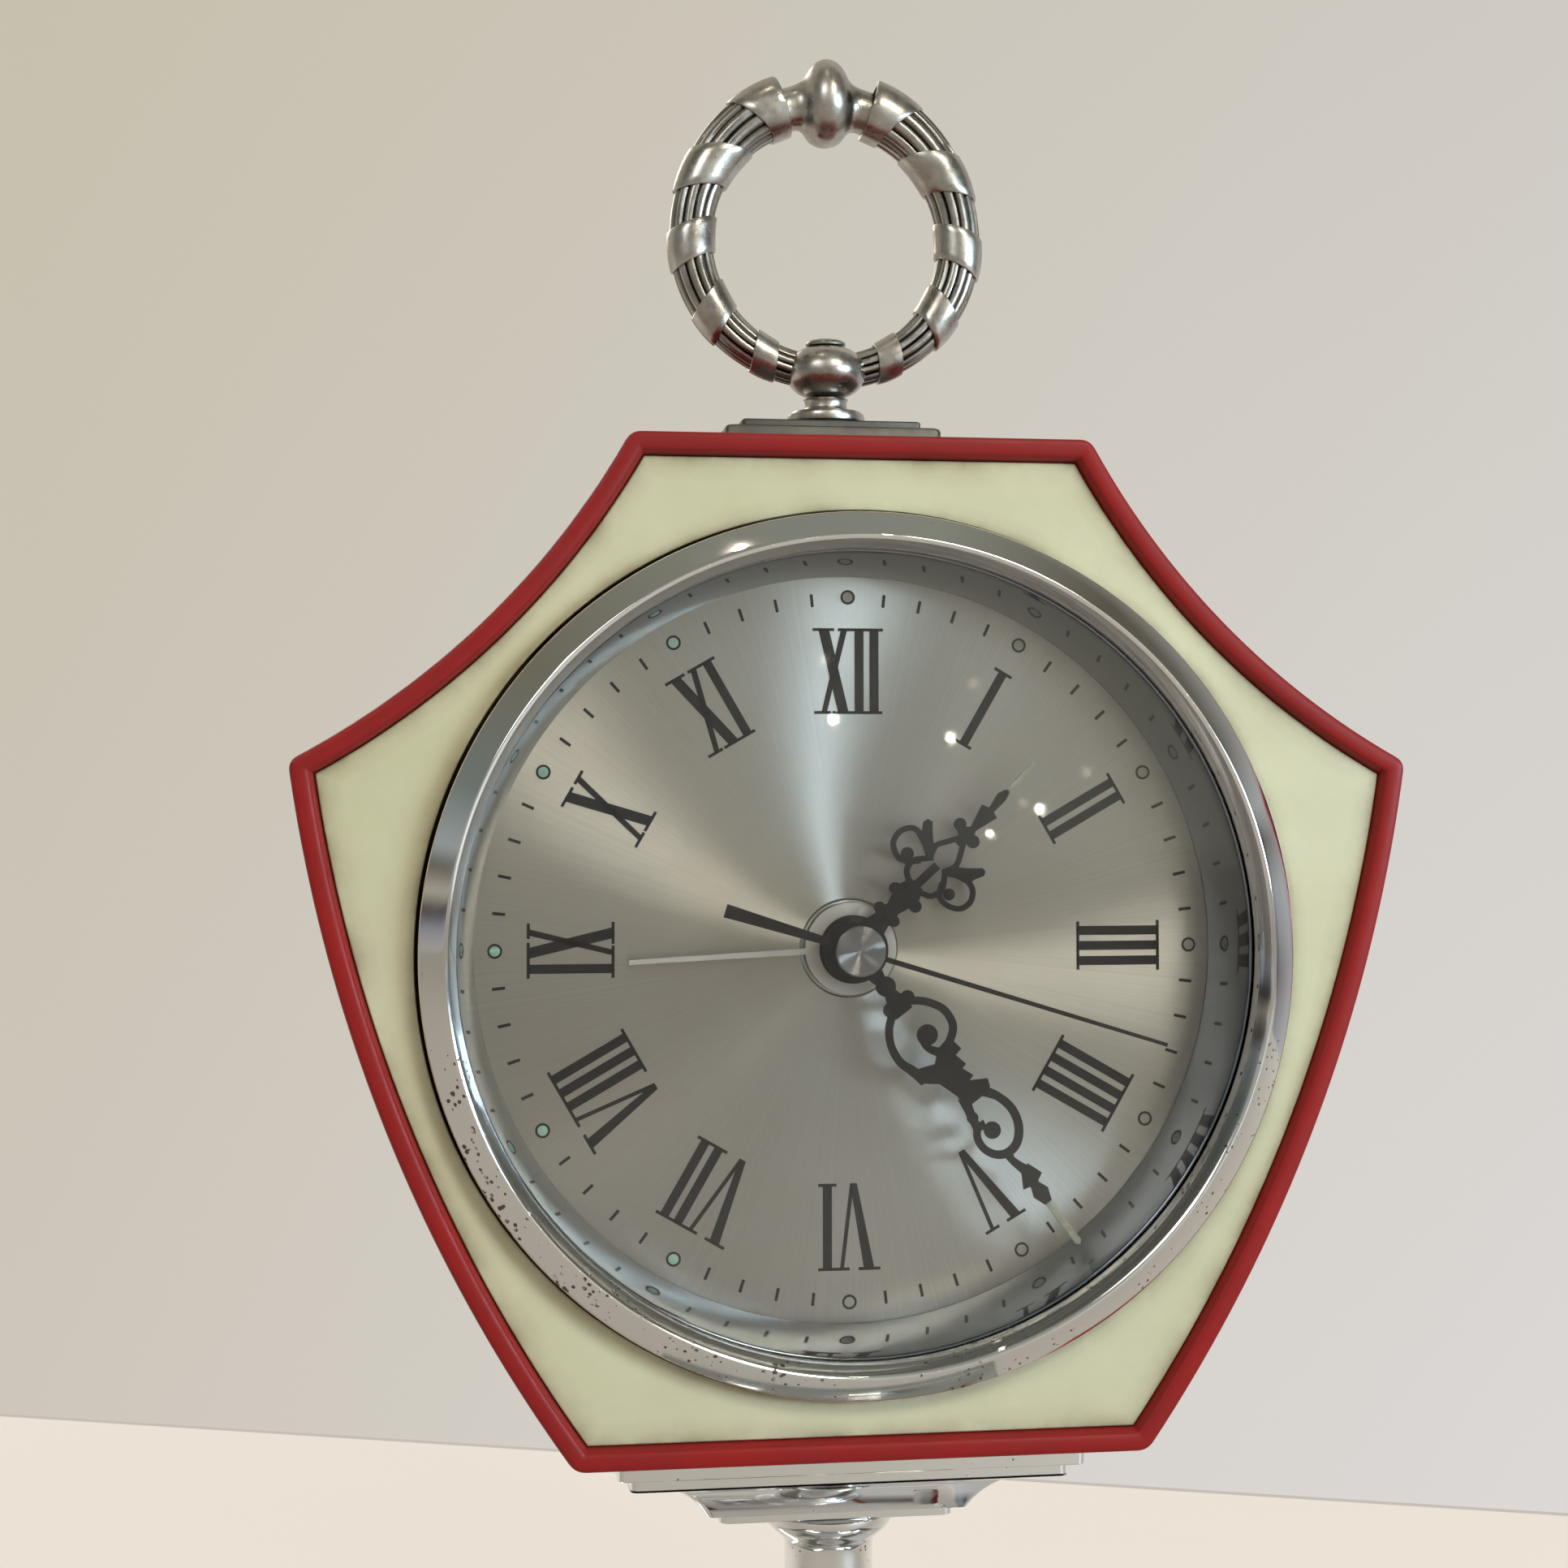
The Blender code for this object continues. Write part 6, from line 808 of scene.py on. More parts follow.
def stamped(name, shapes, front, angle, body, slot, material, nodes=(), hole=0.0):
    """Joins the shapes of a hand into one flat plate with a round hole for its pipe."""
    corners, loops = [], []
    for shape in shapes + ([disc(0, 0, hole, 32)] if hole else []):
        outline = [Vector(point) for point in shape]
        if sum(after.cross(before) for before, after in zip(outline, outline[1:] + outline[:1])) > 0:
            outline.reverse()
        loops.append(list(range(len(corners), len(corners) + len(outline))))
        corners += outline
    places, _, tiles, _, _, sources = geometry.delaunay_2d_cdt(corners, [], loops, 1, SAME_PLACE)
    bm = bmesh.new()
    flat = [on_dial(forth, right, angle) for forth, right in places]
    verts = [bm.verts.new((x, front + HAND_THICKNESS, z)) for x, z in flat]
    kept = [tile for tile, source in zip(tiles, sources) if source and len(shapes) not in source]
    faces = [bm.faces.new([verts[index] for index in tile]) for tile in kept]
    bmesh.ops.delete(bm, geom=[vert for vert in bm.verts if not vert.link_faces], context="VERTS")
    made = bmesh.ops.extrude_face_region(bm, geom=faces)["geom"]
    raised = [part for part in made if isinstance(part, bmesh.types.BMVert)]
    bmesh.ops.translate(bm, vec=(0, -HAND_THICKNESS, 0), verts=raised)
    piece(name, bm, body, material, nodes, sharp=30)


HOUR_SHAPES = [
    disc(0, 0, 3.7, 48),
    [
        (2.6, -1.5), (4.4, -1.0), (5.3, -1.1), (6.2, -0.75), (7.4, -1.1), (8.6, -1.3), (9.9, -0.8),
        (9.9, 1.0), (8.6, 1.6), (7.4, 1.3), (6.2, 0.9), (5.3, 1.1), (4.4, 1.0), (2.6, 1.5),
    ],
    disc(5.25, -1.1, 0.62), disc(5.25, 1.1, 0.62), disc(7.9, -1.28, 0.68), disc(8.04, 1.68, 0.68),
    strip([(9.3, -0.3), (10.2, -1.75), (11.5, -1.95), (12.6, -1.1), (13.2, -0.6)], 0.62),
    strip([(9.3, 0.5), (10.0, 2.1), (11.3, 2.5), (12.5, 1.8), (13.2, 1.2)], 0.62),
    strip([(9.4, 0.1), (11.0, 0.2), (12.9, 0.3)], 0.95),
    strip(
        [(12.0, -1.4), (10.9, -2.4), (10.55, -3.6), (11.3, -4.9), (12.7, -5.2), (13.9, -4.5), (14.1, -3.3)],
        0.62,
    ),
    strip(
        [(12.0, 2.0), (10.7, 2.8), (10.55, 4.1), (11.3, 5.4), (12.6, 5.7), (13.7, 5.0), (14.1, 3.8)],
        0.62,
    ),
    disc(11.5, -2.95, 0.72), disc(11.55, 3.42, 0.66),
    [
        (12.7, -1.2), (13.2, -0.6), (14.0, -1.2), (14.9, -2.35), (15.95, -3.4), (15.8, -3.95),
        (15.25, -4.1), (14.5, -3.6), (13.7, -3.6), (13.3, -2.3),
    ],
    [
        (12.7, 1.7), (13.2, 1.1), (14.1, 1.7), (15.0, 2.9), (16.2, 4.1), (16.15, 4.6), (15.7, 4.8),
        (14.6, 4.3), (13.8, 4.3), (13.4, 2.9),
    ],
    strip([(13.1, -0.9), (14.3, -1.3), (15.2, -0.9), (16.6, -0.1)], 0.6),
    strip([(13.1, 1.4), (14.2, 1.8), (15.2, 1.5), (16.6, 0.7)], 0.6),
    [(16.1, -0.5), (18.6, 0.0), (18.6, 0.75), (16.1, 1.1)],
    disc(17.88, -1.01, 0.69), disc(17.52, 1.35, 0.72),
    [(17.4, -1.2), (18.4, -0.1), (18.4, 0.8), (17.2, 1.6), (16.6, 0.4)],
    [
        (18.3, 0.12), (21.1, -0.75), (21.35, -0.2), (21.46, 0.25), (21.46, 0.63), (21.35, 1.0),
        (21.2, 1.45), (18.3, 0.67),
    ],
    [(21.2, 0.1), (23.23, -0.35), (24.3, 0.05), (24.3, 0.5), (23.23, 0.8), (21.2, 0.75)],
]
HOUR_TIP = [(24.1, 0.0), (28.55, 0.05), (28.67, 0.2), (28.55, 0.38), (24.1, 0.62)]
hour_place = (HOUR_FRONT, HOUR_ANGLE, "hour_group")
stamped("hour_plate", HOUR_SHAPES, *hour_place, "hand_black", hand_black, ["hour_hand"], HOUR_HOLE)
stamped("hour_tip", [HOUR_TIP], *hour_place, "hand_pale", luminous_paint)

# Minute hand. Stamped and painted like the hour hand, longer, with two scrolls that turn inwards to a
# ball, and with a luminous tip too. It is pressed on the cannon pinion.
MINUTE_ANGLE = math.radians(142.5)
MINUTE_FRONT = -19.8
MINUTE_HOLE = 1.6
MINUTE_SHAPES = [
    disc(0, 0, 3.5, 48),
    [
        (2.6, -1.1), (4.4, -0.7), (6.0, -0.8), (7.4, -1.2), (8.6, -1.1), (8.6, 1.1), (7.4, 1.2),
        (6.0, 0.6), (4.4, 0.6), (2.6, 1.1),
    ],
    disc(5.08, -0.17, 1.09, 28), disc(7.46, -1.32, 0.78), disc(7.42, 0.96, 0.82),
    strip(
        [(7.9, -1.3), (8.9, -2.5), (10.6, -3.55), (12.1, -3.65), (13.2, -3.2), (14.0, -2.1), (14.3, -1.2)],
        0.86,
    ),
    strip(
        [(7.9, 1.1), (9.0, 2.4), (10.6, 3.3), (12.51, 3.53), (14.28, 3.0), (15.89, 3.0)],
        [0.9, 0.84, 0.84, 0.9, 1.1, 0.5],
    ),
    disc(11.98, -0.56, 1.15, 28),
    strip([(12.2, 0.1), (13.2, 0.2), (14.2, -0.4), (15.0, -1.0)], [1.0, 0.8, 1.0, 1.4]),
    [
        (13.6, -2.3), (15.43, -2.6), (15.6, -1.7), (17.04, -2.0), (17.2, -1.4), (18.52, -1.9), (18.7, -1.2),
        (19.77, -2.9), (20.6, -2.6), (20.9, -1.6), (20.9, 0.9), (19.2, 0.9), (17.0, 1.6), (15.9, 2.9),
        (14.2, 2.6), (15.0, 0.7), (13.9, -0.6),
    ],
    disc(22.1, 0.98, 0.63),
    strip(
        [
            (20.4, -1.6), (22.0, -2.6), (24.0, -3.0), (25.9, -2.5), (27.2, -1.3), (27.5, 0.1), (26.9, 1.3),
            (25.6, 2.0), (24.2, 1.9), (23.4, 1.2), (23.5, 0.3),
        ],
        [1.2, 0.94, 0.94, 0.94, 0.94, 0.94, 0.9, 0.85, 0.8, 0.8, 1.0],
    ),
    disc(24.5, 0.1, 0.94, 24),
    strip([(19.8, 0.4), (21.2, 0.8), (22.6, 1.1), (23.6, 1.4)], [1.4, 1.0, 0.9, 0.8]),
    strip([(27.4, 0.2), (28.3, 0.35), (29.4, 0.1), (30.6, -0.3)], [1.2, 0.8, 0.95, 1.3]),
    [
        (29.8, -0.8), (31.5, -1.4), (31.9, -0.6), (32.4, -0.4), (32.4, 0.4), (31.9, 0.6), (31.7, 1.3),
        (30.0, 0.3),
    ],
    [(32.0, -0.5), (33.15, -0.95), (34.5, -0.45), (34.5, 0.45), (33.15, 0.95), (32.0, 0.5)],
]
MINUTE_TIP = [(34.3, -0.42), (39.9, -0.38), (40.26, 0.0), (39.9, 0.38), (34.3, 0.42)]
minute_place = (MINUTE_FRONT, MINUTE_ANGLE, "minute_group")
stamped("minute_plate", MINUTE_SHAPES, *minute_place, "hand_black", hand_black, ["minute_hand"], MINUTE_HOLE)
stamped("minute_tip", [MINUTE_TIP], *minute_place, "hand_pale", luminous_paint)

# Second hand, alarm hand and cap. The second hand is a plain black needle with a broad tail, the alarm
# hand a pale needle just over the dial, and the cap is turned from aluminium with a hollow-ground cone.
SECOND_ANGLE, ALARM_ANGLE = math.radians(107.2), math.radians(267.0)
SECOND_FRONT, ALARM_FRONT = -21.2, -16.4
SECOND_HOLE, ALARM_HOLE = 0.5, 3.0
SECOND_SHAPES = [
    disc(0, 0, 1.6, 40),
    [
        (-14.9, -0.72), (-14.9, 0.75), (-1.2, 0.36), (1.2, 0.3), (35.6, 0.2), (35.6, -0.2), (1.2, -0.3),
        (-1.2, -0.36),
    ],
]
ALARM_SHAPES = [disc(0, 0, 5.0, 64), [(3.5, -0.34), (24.1, -0.24), (24.1, 0.24), (3.5, 0.34)]]
CAP_PROFILE = (
    (0, -22.55), (0.15, -22.6), (2.35, -23.0), (2.55, -22.98), (2.7, -22.85), (2.7, -21.4), (0, -21.4),
)
pale_paint = finish("pale_paint", paint(206, 202, 194), roughness=0.45)
roughened(pale_paint, noise(pale_paint, 500, 3), 0.35, 0.55)
second_place = (SECOND_FRONT, SECOND_ANGLE, "second_group")
stamped("second_plate", SECOND_SHAPES, *second_place, "hand_black", hand_black, ["second_hand"], SECOND_HOLE)
alarm_place = (ALARM_FRONT, ALARM_ANGLE, "alarm_hand_group")
stamped("alarm_plate", ALARM_SHAPES, *alarm_place, "hand_pale", pale_paint, ["alarm_hand"], ALARM_HOLE)
cap_metal = finish("cap_metal", (0.27, 0.27, 0.27), metallic=1.0, roughness=0.42, Anisotropic=1.0)
flat = from_middle(cap_metal)
feed(cap_metal, "Tangent", vector_maths(cap_metal, "NORMALIZE", flat))
rings = vector_maths(cap_metal, "LENGTH", flat, result="Value")
turning = add(cap_metal, "TexNoise", {"noise_dimensions": "1D"}, W=rings, Scale=9000.0, Detail=2.0)
roughened(cap_metal, turning.outputs["Fac"], 0.36, 0.46)
spun("cap_cone", CAP_PROFILE, DIAL_MIDDLE, "second_group", "satin_metal", cap_metal, ["hand_cap"], steps=96)

# Handle. A ring cast in one with a ball below and a turned knob above, in the form of a bundle of reeds
# bound with ribbon. It is silver plated and tarnished, and screwed through the ball to its pedestal.
RING_Z = 187.5
RING_INNER = 12.9
CUFF_DIAMETER, SIDE_DIAMETER, HEEL_DIAMETER = 7.5, 5.6, 4.5
RIBBONS = (  # angles from the top of the ring, in degrees: start outside and inside, end outside and inside
    (18.0, 18.0, 36.0, 27.5), (56.8, 41.2, 73.3, 63.5), (88.0, 79.0, 102.9, 96.8),
    (120.6, 110.6, 133.4, 127.0), (149.4, 142.5, 159.5, 155.0),
)
RIBBON_SECTION = (  # (share of the ribbon's width, height over the ring's own surface)
    (0.0, -0.75), (0.0, -0.1), (0.025, -0.01), (0.2, 0.03), (0.4, 0.05), (0.6, 0.05), (0.8, 0.03),
    (0.975, -0.01), (1.0, -0.1), (1.0, -0.75),
)
RIBBON_STEPS = 64
REEDS = 12
REED_STEPS = 6
REED_DEPTH = 0.42
REED_DROP = 0.27
REED_START, REED_END = 24, 170
TARNISH_START = 0.1  # over the crests of the reeds
SILVER = (0.50, 0.485, 0.455)
BROWNED_SILVER = (0.26, 0.225, 0.19)
TARNISH = (0.07, 0.06, 0.05)


def ring_diameter(degrees):
    """How thick the ring is at an angle from its top."""
    share = degrees / 180
    if share < 0.5:
        return SIDE_DIAMETER + (CUFF_DIAMETER - SIDE_DIAMETER) * (1 + math.cos(2 * math.pi * share)) / 2
    return SIDE_DIAMETER + (HEEL_DIAMETER - SIDE_DIAMETER) * (1 - math.cos(2 * math.pi * (share - 0.5))) / 2


def ring_point(side, degrees, around, height):
    """A point over the ring's surface: around is 0 outside the ring and turns towards the front."""
    angle = math.radians(degrees)
    radius = ring_diameter(degrees) / 2
    out = Vector((side * math.sin(angle), 0, math.cos(angle)))
    middle = Vector((0, 0, RING_Z)) + out * (RING_INNER + radius)
    return middle + (out * math.cos(around) + Vector((0, -1, 0)) * math.sin(around)) * (radius + height)


def tube(bm, loops):
    """Skins loops and closes both ends."""
    lofted(bm, loops)
    bmesh.ops.holes_fill(bm, edges=[edge for edge in bm.edges if edge.is_boundary], sides=0)


bm = bmesh.new()
tarnish = bm.verts.layers.float.new("tarnish")
for side in (-1, 1):
    loops = []
    for degrees in range(REED_START, REED_END + 1, 2):
        loop = []
        for index in range(REEDS * REED_STEPS):
            across = 2 * (index % REED_STEPS) / REED_STEPS - 1
            height = -REED_DROP - REED_DEPTH * (1 - math.sqrt(1 - across**2))
            loop.append(ring_point(side, degrees, 2 * math.pi * index / (REEDS * REED_STEPS), height))
        loops.append(loop)
    tube(bm, loops)
    for start_out, start_in, end_out, end_in in RIBBONS:
        loops = []
        for around in (2 * math.pi * step / RIBBON_STEPS for step in range(RIBBON_STEPS)):
            outer = (1 + math.cos(around)) / 2
            start = start_in + (start_out - start_in) * outer
            width = end_in + (end_out - end_in) * outer - start
            section = [(start + width * share, height) for share, height in RIBBON_SECTION]
            loops.append([ring_point(side, degrees, around, height) for degrees, height in section])
        lofted(bm, loops, closed=True)
for vert in bm.verts:
    out = vert.co - Vector((0, 0, RING_Z))
    radius = ring_diameter(abs(math.degrees(math.atan2(out.x, out.z)))) / 2
    from_core = Vector((math.hypot(out.x, out.z) - RING_INNER - radius, out.y)).length
    vert[tarnish] = min(max((radius - from_core - REED_DROP + TARNISH_START) / REED_DEPTH, 0), 1)
KNOB_Z = 203.8
KNOB_BEND = 0.045  # how much the knob follows the ring's curve
KNOB_PROFILE = (  # (radius, place along the ring's tangent)
    (0, -6.0), (2.5, -6.0), (2.75, -5.4), (2.65, -4.7), (2.6, -4.0), (2.66, -3.4), (2.85, -2.9),
    (3.3, -2.45), (3.9, -2.1), (4.45, -1.65), (4.85, -1.05), (5.05, -0.45), (5.1, 0.0),
)
knob = list(KNOB_PROFILE) + [(radius, -place) for radius, place in reversed(KNOB_PROFILE[:-1])]
bound_verts = len(bm.verts)
turned(bm, knob, (0, 0, KNOB_Z), axis="X", steps=64, closed=False)
bm.verts.ensure_lookup_table()
for vert in bm.verts[bound_verts:]:
    vert.co.z -= KNOB_BEND * vert.co.x**2
BALL_Z, BALL_RADIUS, BALL_HALF_HEIGHT = 172.35, 4.66, 3.1
BALL_FULLNESS, BALL_SHOULDER = 0.9, 0.1
ball = []
for lift in (math.radians(degrees) for degrees in range(-80, 81, 8)):
    height = BALL_HALF_HEIGHT * math.sin(lift) + BALL_SHOULDER * math.sin(2 * lift)
    ball.append((BALL_RADIUS * math.cos(lift) ** BALL_FULLNESS, height))
ball = [(0, ball[0][1])] + ball + [(0, ball[-1][1])]
turned(bm, ball, (0, 0, BALL_Z), axis="Z", steps=64, closed=False)


def tarnished(name, recessed):
    """Silver plate gone grey and brown, with dark in the recesses where the attribute says so."""
    material = finish(name, SILVER, metallic=1.0, roughness=0.25)
    blotches = between(material, noise(material, 220, 5, 0.65), 0.4, 0.7, 0, 0.9)
    colour = blended(material, blotches, SILVER, BROWNED_SILVER)
    if recessed:
        depth = add(material, "Attribute", {"attribute_name": "tarnish"}).outputs["Fac"]
        colour = blended(material, between(material, depth, 0.1, 0.85, 0, 0.95), colour, TARNISH)
    feed(material, "Base Color", colour)
    roughened(material, noise(material, 500, 4), 0.2, 0.4)
    grained(material, noise(material, 700, 4), 0.12, 0.0001)
    return material


aged_silver = tarnished("aged_silver", True)
piece("bound_ring", bm, "clock", aged_silver, ["handle_ring"], sharp=40)

# Handle screw, pedestal and plate. A low screw head on the ball, a turned pedestal with a rounded
# flange, and a dull grey plate with one step, which lies on top of the case.
FOOT = (0, 0, 0)  # on the table, where the upright axis of the clock stands
SCREW_HEAD = (  # (radius, height)
    (0, 176.2), (1.2, 176.15), (1.9, 176.0), (2.25, 175.8), (2.35, 175.6), (2.3, 175.4), (1.5, 175.3),
    (1.5, 174.0), (0, 174.0),
)
PEDESTAL = (
    (0, 166.25), (4.1, 166.25), (4.4, 166.45), (4.5, 166.85), (4.4, 167.3), (4.1, 167.6), (3.3, 167.72),
    (2.7, 167.85), (2.45, 168.15), (2.4, 168.6), (2.5, 169.0), (2.6, 169.15), (0, 169.15),
)
plain_silver = tarnished("plain_silver", False)
silver = ("clock", "aged_silver", plain_silver)
spun("screw_head", SCREW_HEAD, FOOT, *silver, ["handle_screw"], axis="Z", steps=48)
spun("pedestal", PEDESTAL, FOOT, *silver, ["handle_pedestal"], axis="Z")


def block(name, levels, slot, material, nodes):
    """A piece from levels of (half width, half depth, corner radius, height), closed at both ends."""
    loops = []
    for half, depth, radius, height in levels:
        corners = ((half, depth), (-half, depth), (-half, -depth), (half, -depth))
        outline = eased([(*corner, radius) for corner in corners], steps=5)
        loops.append([Vector((x, y, height)) for x, y in outline])
    bm = bmesh.new()
    tube(bm, loops)
    piece(name, bm, "clock", material, nodes)


dull_metal = finish("dull_metal", (0.13, 0.125, 0.115), metallic=1.0, roughness=0.55)
roughened(dull_metal, noise(dull_metal, 500, 4), 0.45, 0.6)
clouded(dull_metal, noise(dull_metal, 150, 4), 0.4, 0.7, (0.14, 0.135, 0.12), (0.11, 0.10, 0.09))
grained(dull_metal, noise(dull_metal, 1500, 3), 0.1)
STEP_PLATE = (  # (half width, half depth, corner radius, height)
    (12.3, 6.1, 0.6, 161.5), (12.4, 6.2, 0.6, 161.6), (12.4, 6.2, 0.6, 164.8), (12.25, 6.05, 0.6, 165.15),
    (11.95, 5.75, 0.6, 165.3), (10.35, 4.85, 0.5, 165.3), (10.3, 4.8, 0.5, 165.35), (10.3, 4.8, 0.5, 166.0),
    (10.15, 4.65, 0.5, 166.15),
)
block("step_plate", STEP_PLATE, "satin_metal", dull_metal, ["handle_plate"])

# Bracket. Cast plates under the case, chromed: two flat steps, a hollow cove and a thin collar, from
# which the column hangs. All are held by the rod through the column.
clean_chrome = chromed("clean_chrome", 0.2)
chrome = ("chrome_plate", clean_chrome)
BLOCK_CORNER = 0.9
COVE_WIDE, COVE_REACH, COVE_HEIGHTS = (23.9, 16.8), 9.2, (43.65, 49.05)


def cove(wide_half, wide_depth, reach, low, high, widens_up, steps=14):
    """The levels of a block whose four sides are hollow: an arc that starts level at the wide end."""
    radius = (reach**2 + (high - low) ** 2) / (2 * (high - low))
    levels = []
    for drawn in (reach * step / steps for step in range(steps + 1)):
        drop = radius - math.sqrt(radius**2 - drawn**2)
        height = high - drop if widens_up else low + drop
        levels.append((wide_half - drawn, wide_depth - drawn, BLOCK_CORNER, height))
    return levels[::-1] if widens_up else levels


BRACKET_STEPS = (
    (23.75, 16.65, 0.8, 49.15), (23.9, 16.8, 0.9, 49.3), (23.9, 16.8, 0.9, 50.6), (23.9, 16.8, 0.9, 50.7),
    (25.3, 18.8, 0.9, 50.7), (25.4, 18.9, 0.9, 50.8), (25.4, 18.9, 0.9, 53.4), (25.25, 18.75, 0.9, 53.55),
)
block("step_plates", BRACKET_STEPS, *chrome, ["bracket_plates"])
hollow = cove(*COVE_WIDE, COVE_REACH, *COVE_HEIGHTS, True)
block("cove_block", hollow, *chrome, ["bracket_cove"])
THIN_COLLAR = (
    (13.0, 6.15, 0.9, 42.5), (13.15, 6.3, 0.9, 42.62), (13.15, 6.3, 0.9, 43.43), (13.0, 6.15, 0.9, 43.55),
)
block("thin_collar", THIN_COLLAR, *chrome, ["bracket_collar"])

# Column. Turned from brass and chromed, with a bowl at each end. It stands between the collars of the
# bracket and the base, clamped by the rod inside it.
COLUMN_FOOT, COLUMN_HEAD = 18.3, 42.4
BOWL = (  # (radius, distance from the end)
    (7.1, 0.0), (7.35, 0.15), (7.38, 0.5), (7.25, 1.0), (6.95, 1.55), (6.45, 2.1), (5.85, 2.6), (5.4, 3.0),
    (5.15, 3.35), (5.05, 3.8), (5.0, 4.2), (5.0, 5.1),
)
profile = [(0, COLUMN_FOOT)] + [(radius, COLUMN_FOOT + rise) for radius, rise in BOWL]
profile += [(radius, COLUMN_HEAD - rise) for radius, rise in reversed(BOWL)] + [(0, COLUMN_HEAD)]
spun("turned_column", profile, FOOT, "clock", *chrome, ["column"], axis="Z", steps=128)

# Base. A cast and chromed foot in the same style, which lies below the photograph: a collar, a wide
# cove, a stepped plate, and a rubber pad under it.
FOOT_COLLAR = (
    (14.35, 8.35, 0.9, 17.0), (14.5, 8.5, 0.9, 17.12), (14.5, 8.5, 0.9, 18.08), (14.35, 8.35, 0.9, 18.2),
)
block("foot_collar", FOOT_COLLAR, *chrome, ["base_collar"])
FOOT_COVE_WIDE, FOOT_COVE_REACH, FOOT_COVE_HEIGHTS = (36.0, 27.0), 18.0, (7.9, 16.9)
hollow = cove(*FOOT_COVE_WIDE, FOOT_COVE_REACH, *FOOT_COVE_HEIGHTS, False)
block("foot_cove", hollow, *chrome, ["base_cove"])
FOOT_PLATE = (
    (40.8, 31.8, 0.9, 0.9), (41.0, 32.0, 0.9, 1.1), (41.0, 32.0, 0.9, 5.2), (40.8, 31.8, 0.9, 5.4),
    (38.5, 29.5, 0.9, 5.4), (38.5, 29.5, 0.9, 7.6), (38.3, 29.3, 0.9, 7.8),
)
block("foot_plate", FOOT_PLATE, *chrome, ["base_plate"])

# Brass, steel, rubber and cover plastic. The movement is of brass and steel, the keys, knobs and the
# stop button are brass, the pad is rubber, and the rear cover is moulded in a duller red than the case.
brass = finish("movement_brass", (0.60, 0.42, 0.17), metallic=1.0, roughness=0.3)
roughened(brass, noise(brass, 600, 4, stretch=(1, 1, 0.1)), 0.22, 0.4)
clouded(brass, noise(brass, 180, 4), 0.4, 0.7, (0.62, 0.44, 0.18), (0.42, 0.27, 0.12))
steel = finish("movement_steel", (0.45, 0.45, 0.46), metallic=1.0, roughness=0.3)
roughened(steel, noise(steel, 600, 4, stretch=(1, 0.1, 1)), 0.2, 0.4)
rubber = finish("pad_rubber", (0.03, 0.03, 0.03), roughness=0.8)
grained(rubber, noise(rubber, 1500, 3), 0.3, 0.0001)
cover_plastic = finish("cover_plastic", paint(120, 28, 27), roughness=0.5)
grained(cover_plastic, noise(cover_plastic, 2500, 3), 0.3, 0.0001)
clouded(cover_plastic, noise(cover_plastic, 60, 4), 0.35, 0.7, paint(124, 29, 28), paint(108, 28, 28))

# Rings and marks of the rear cover. It is moulded with a ridge along its edge and a low ring round each
# opening. Arrows that show how keys and knobs turn, and a scale for the regulator, are filled in white.
COVER_BACK = 21.5
MARK_DEPTHS = (COVER_BACK - 0.05, COVER_BACK + 0.2)
RIDGE_SECTION = ((0.6, -0.05), (0.66, 0.16), (0.85, 0.25), (1.35, 0.25), (1.54, 0.16), (1.6, -0.05))
RING_SECTION = ((0, -0.05), (0.1, 0.2), (0.25, 0.3), (0.75, 0.3), (0.9, 0.2), (1.0, -0.05))
KEYS = (("time_winding", -19.04, 92.04), ("alarm_winding", 21.0, 91.05))
KNOBS = (("time_setting", 3.405, 83.145), ("alarm_setting", -13.79, 117.424))
STOP_PLACE = (24.0, 128.65)
BALANCE_PLACE = (6.438, 129.704)
KEY_RING, KNOB_RING, STOP_RING = 3.7, 4.9, 4.2
KEY_ARROW, KNOB_ARROW = (10.6, 140, 50), (7.6, 60, 120)  # radius, and its start and end in degrees
ARROW_STEPS = 16
ARROW_HALF, HEAD_HALF, HEAD_LENGTH = 0.32, 1.1, 2.0
SCALE_RADIUS, SCALE_HALF, SCALE_STEP = 12.4, 0.12, 6
SCALE_LONG, SCALE_SHORT = 1.5, 0.8


def bent_arrow(x, z, radius, start, end):
    """The outline of an arrow bent round a place, between two angles in degrees from the right."""
    turns = [math.radians(start + (end - start) * step / ARROW_STEPS) for step in range(ARROW_STEPS + 1)]
    tip = turns[-1] + math.copysign(HEAD_LENGTH / radius, end - start)
    rim = [(radius + ARROW_HALF, turn) for turn in turns]
    rim += [(radius + HEAD_HALF, turns[-1]), (radius, tip), (radius - HEAD_HALF, turns[-1])]
    rim += [(radius - ARROW_HALF, turn) for turn in reversed(turns)]
    return [(x + reach * math.cos(turn), z + reach * math.sin(turn)) for reach, turn in rim]


bm = bmesh.new()
lofted(bm, [case_loop(inset, COVER_BACK + height) for inset, height in RIDGE_SECTION], closed=True)
rings = [(x, z, KEY_RING) for _, x, z in KEYS] + [(x, z, KNOB_RING) for _, x, z in KNOBS]
for x, z, inner in rings + [(*STOP_PLACE, STOP_RING)]:
    section = [(inner + out, COVER_BACK + height) for out, height in RING_SECTION]
    turned(bm, section, (x, 0, z), steps=64)
piece("cover_rings", bm, "clock", cover_plastic)
bm = bmesh.new()
for _, x, z in KEYS:
    slab(bm, bent_arrow(x, z, *KEY_ARROW), *MARK_DEPTHS)
for _, x, z in KNOBS:
    slab(bm, bent_arrow(x, z, *KNOB_ARROW), *MARK_DEPTHS)
for step in range(-4, 5):
    turn = math.radians(SCALE_STEP * step)
    corners = bar(SCALE_RADIUS, SCALE_RADIUS + (SCALE_LONG if step % 4 == 0 else SCALE_SHORT), SCALE_HALF)
    slab(bm, [on_dial(*corner, turn, BALANCE_PLACE) for corner in corners], *MARK_DEPTHS)
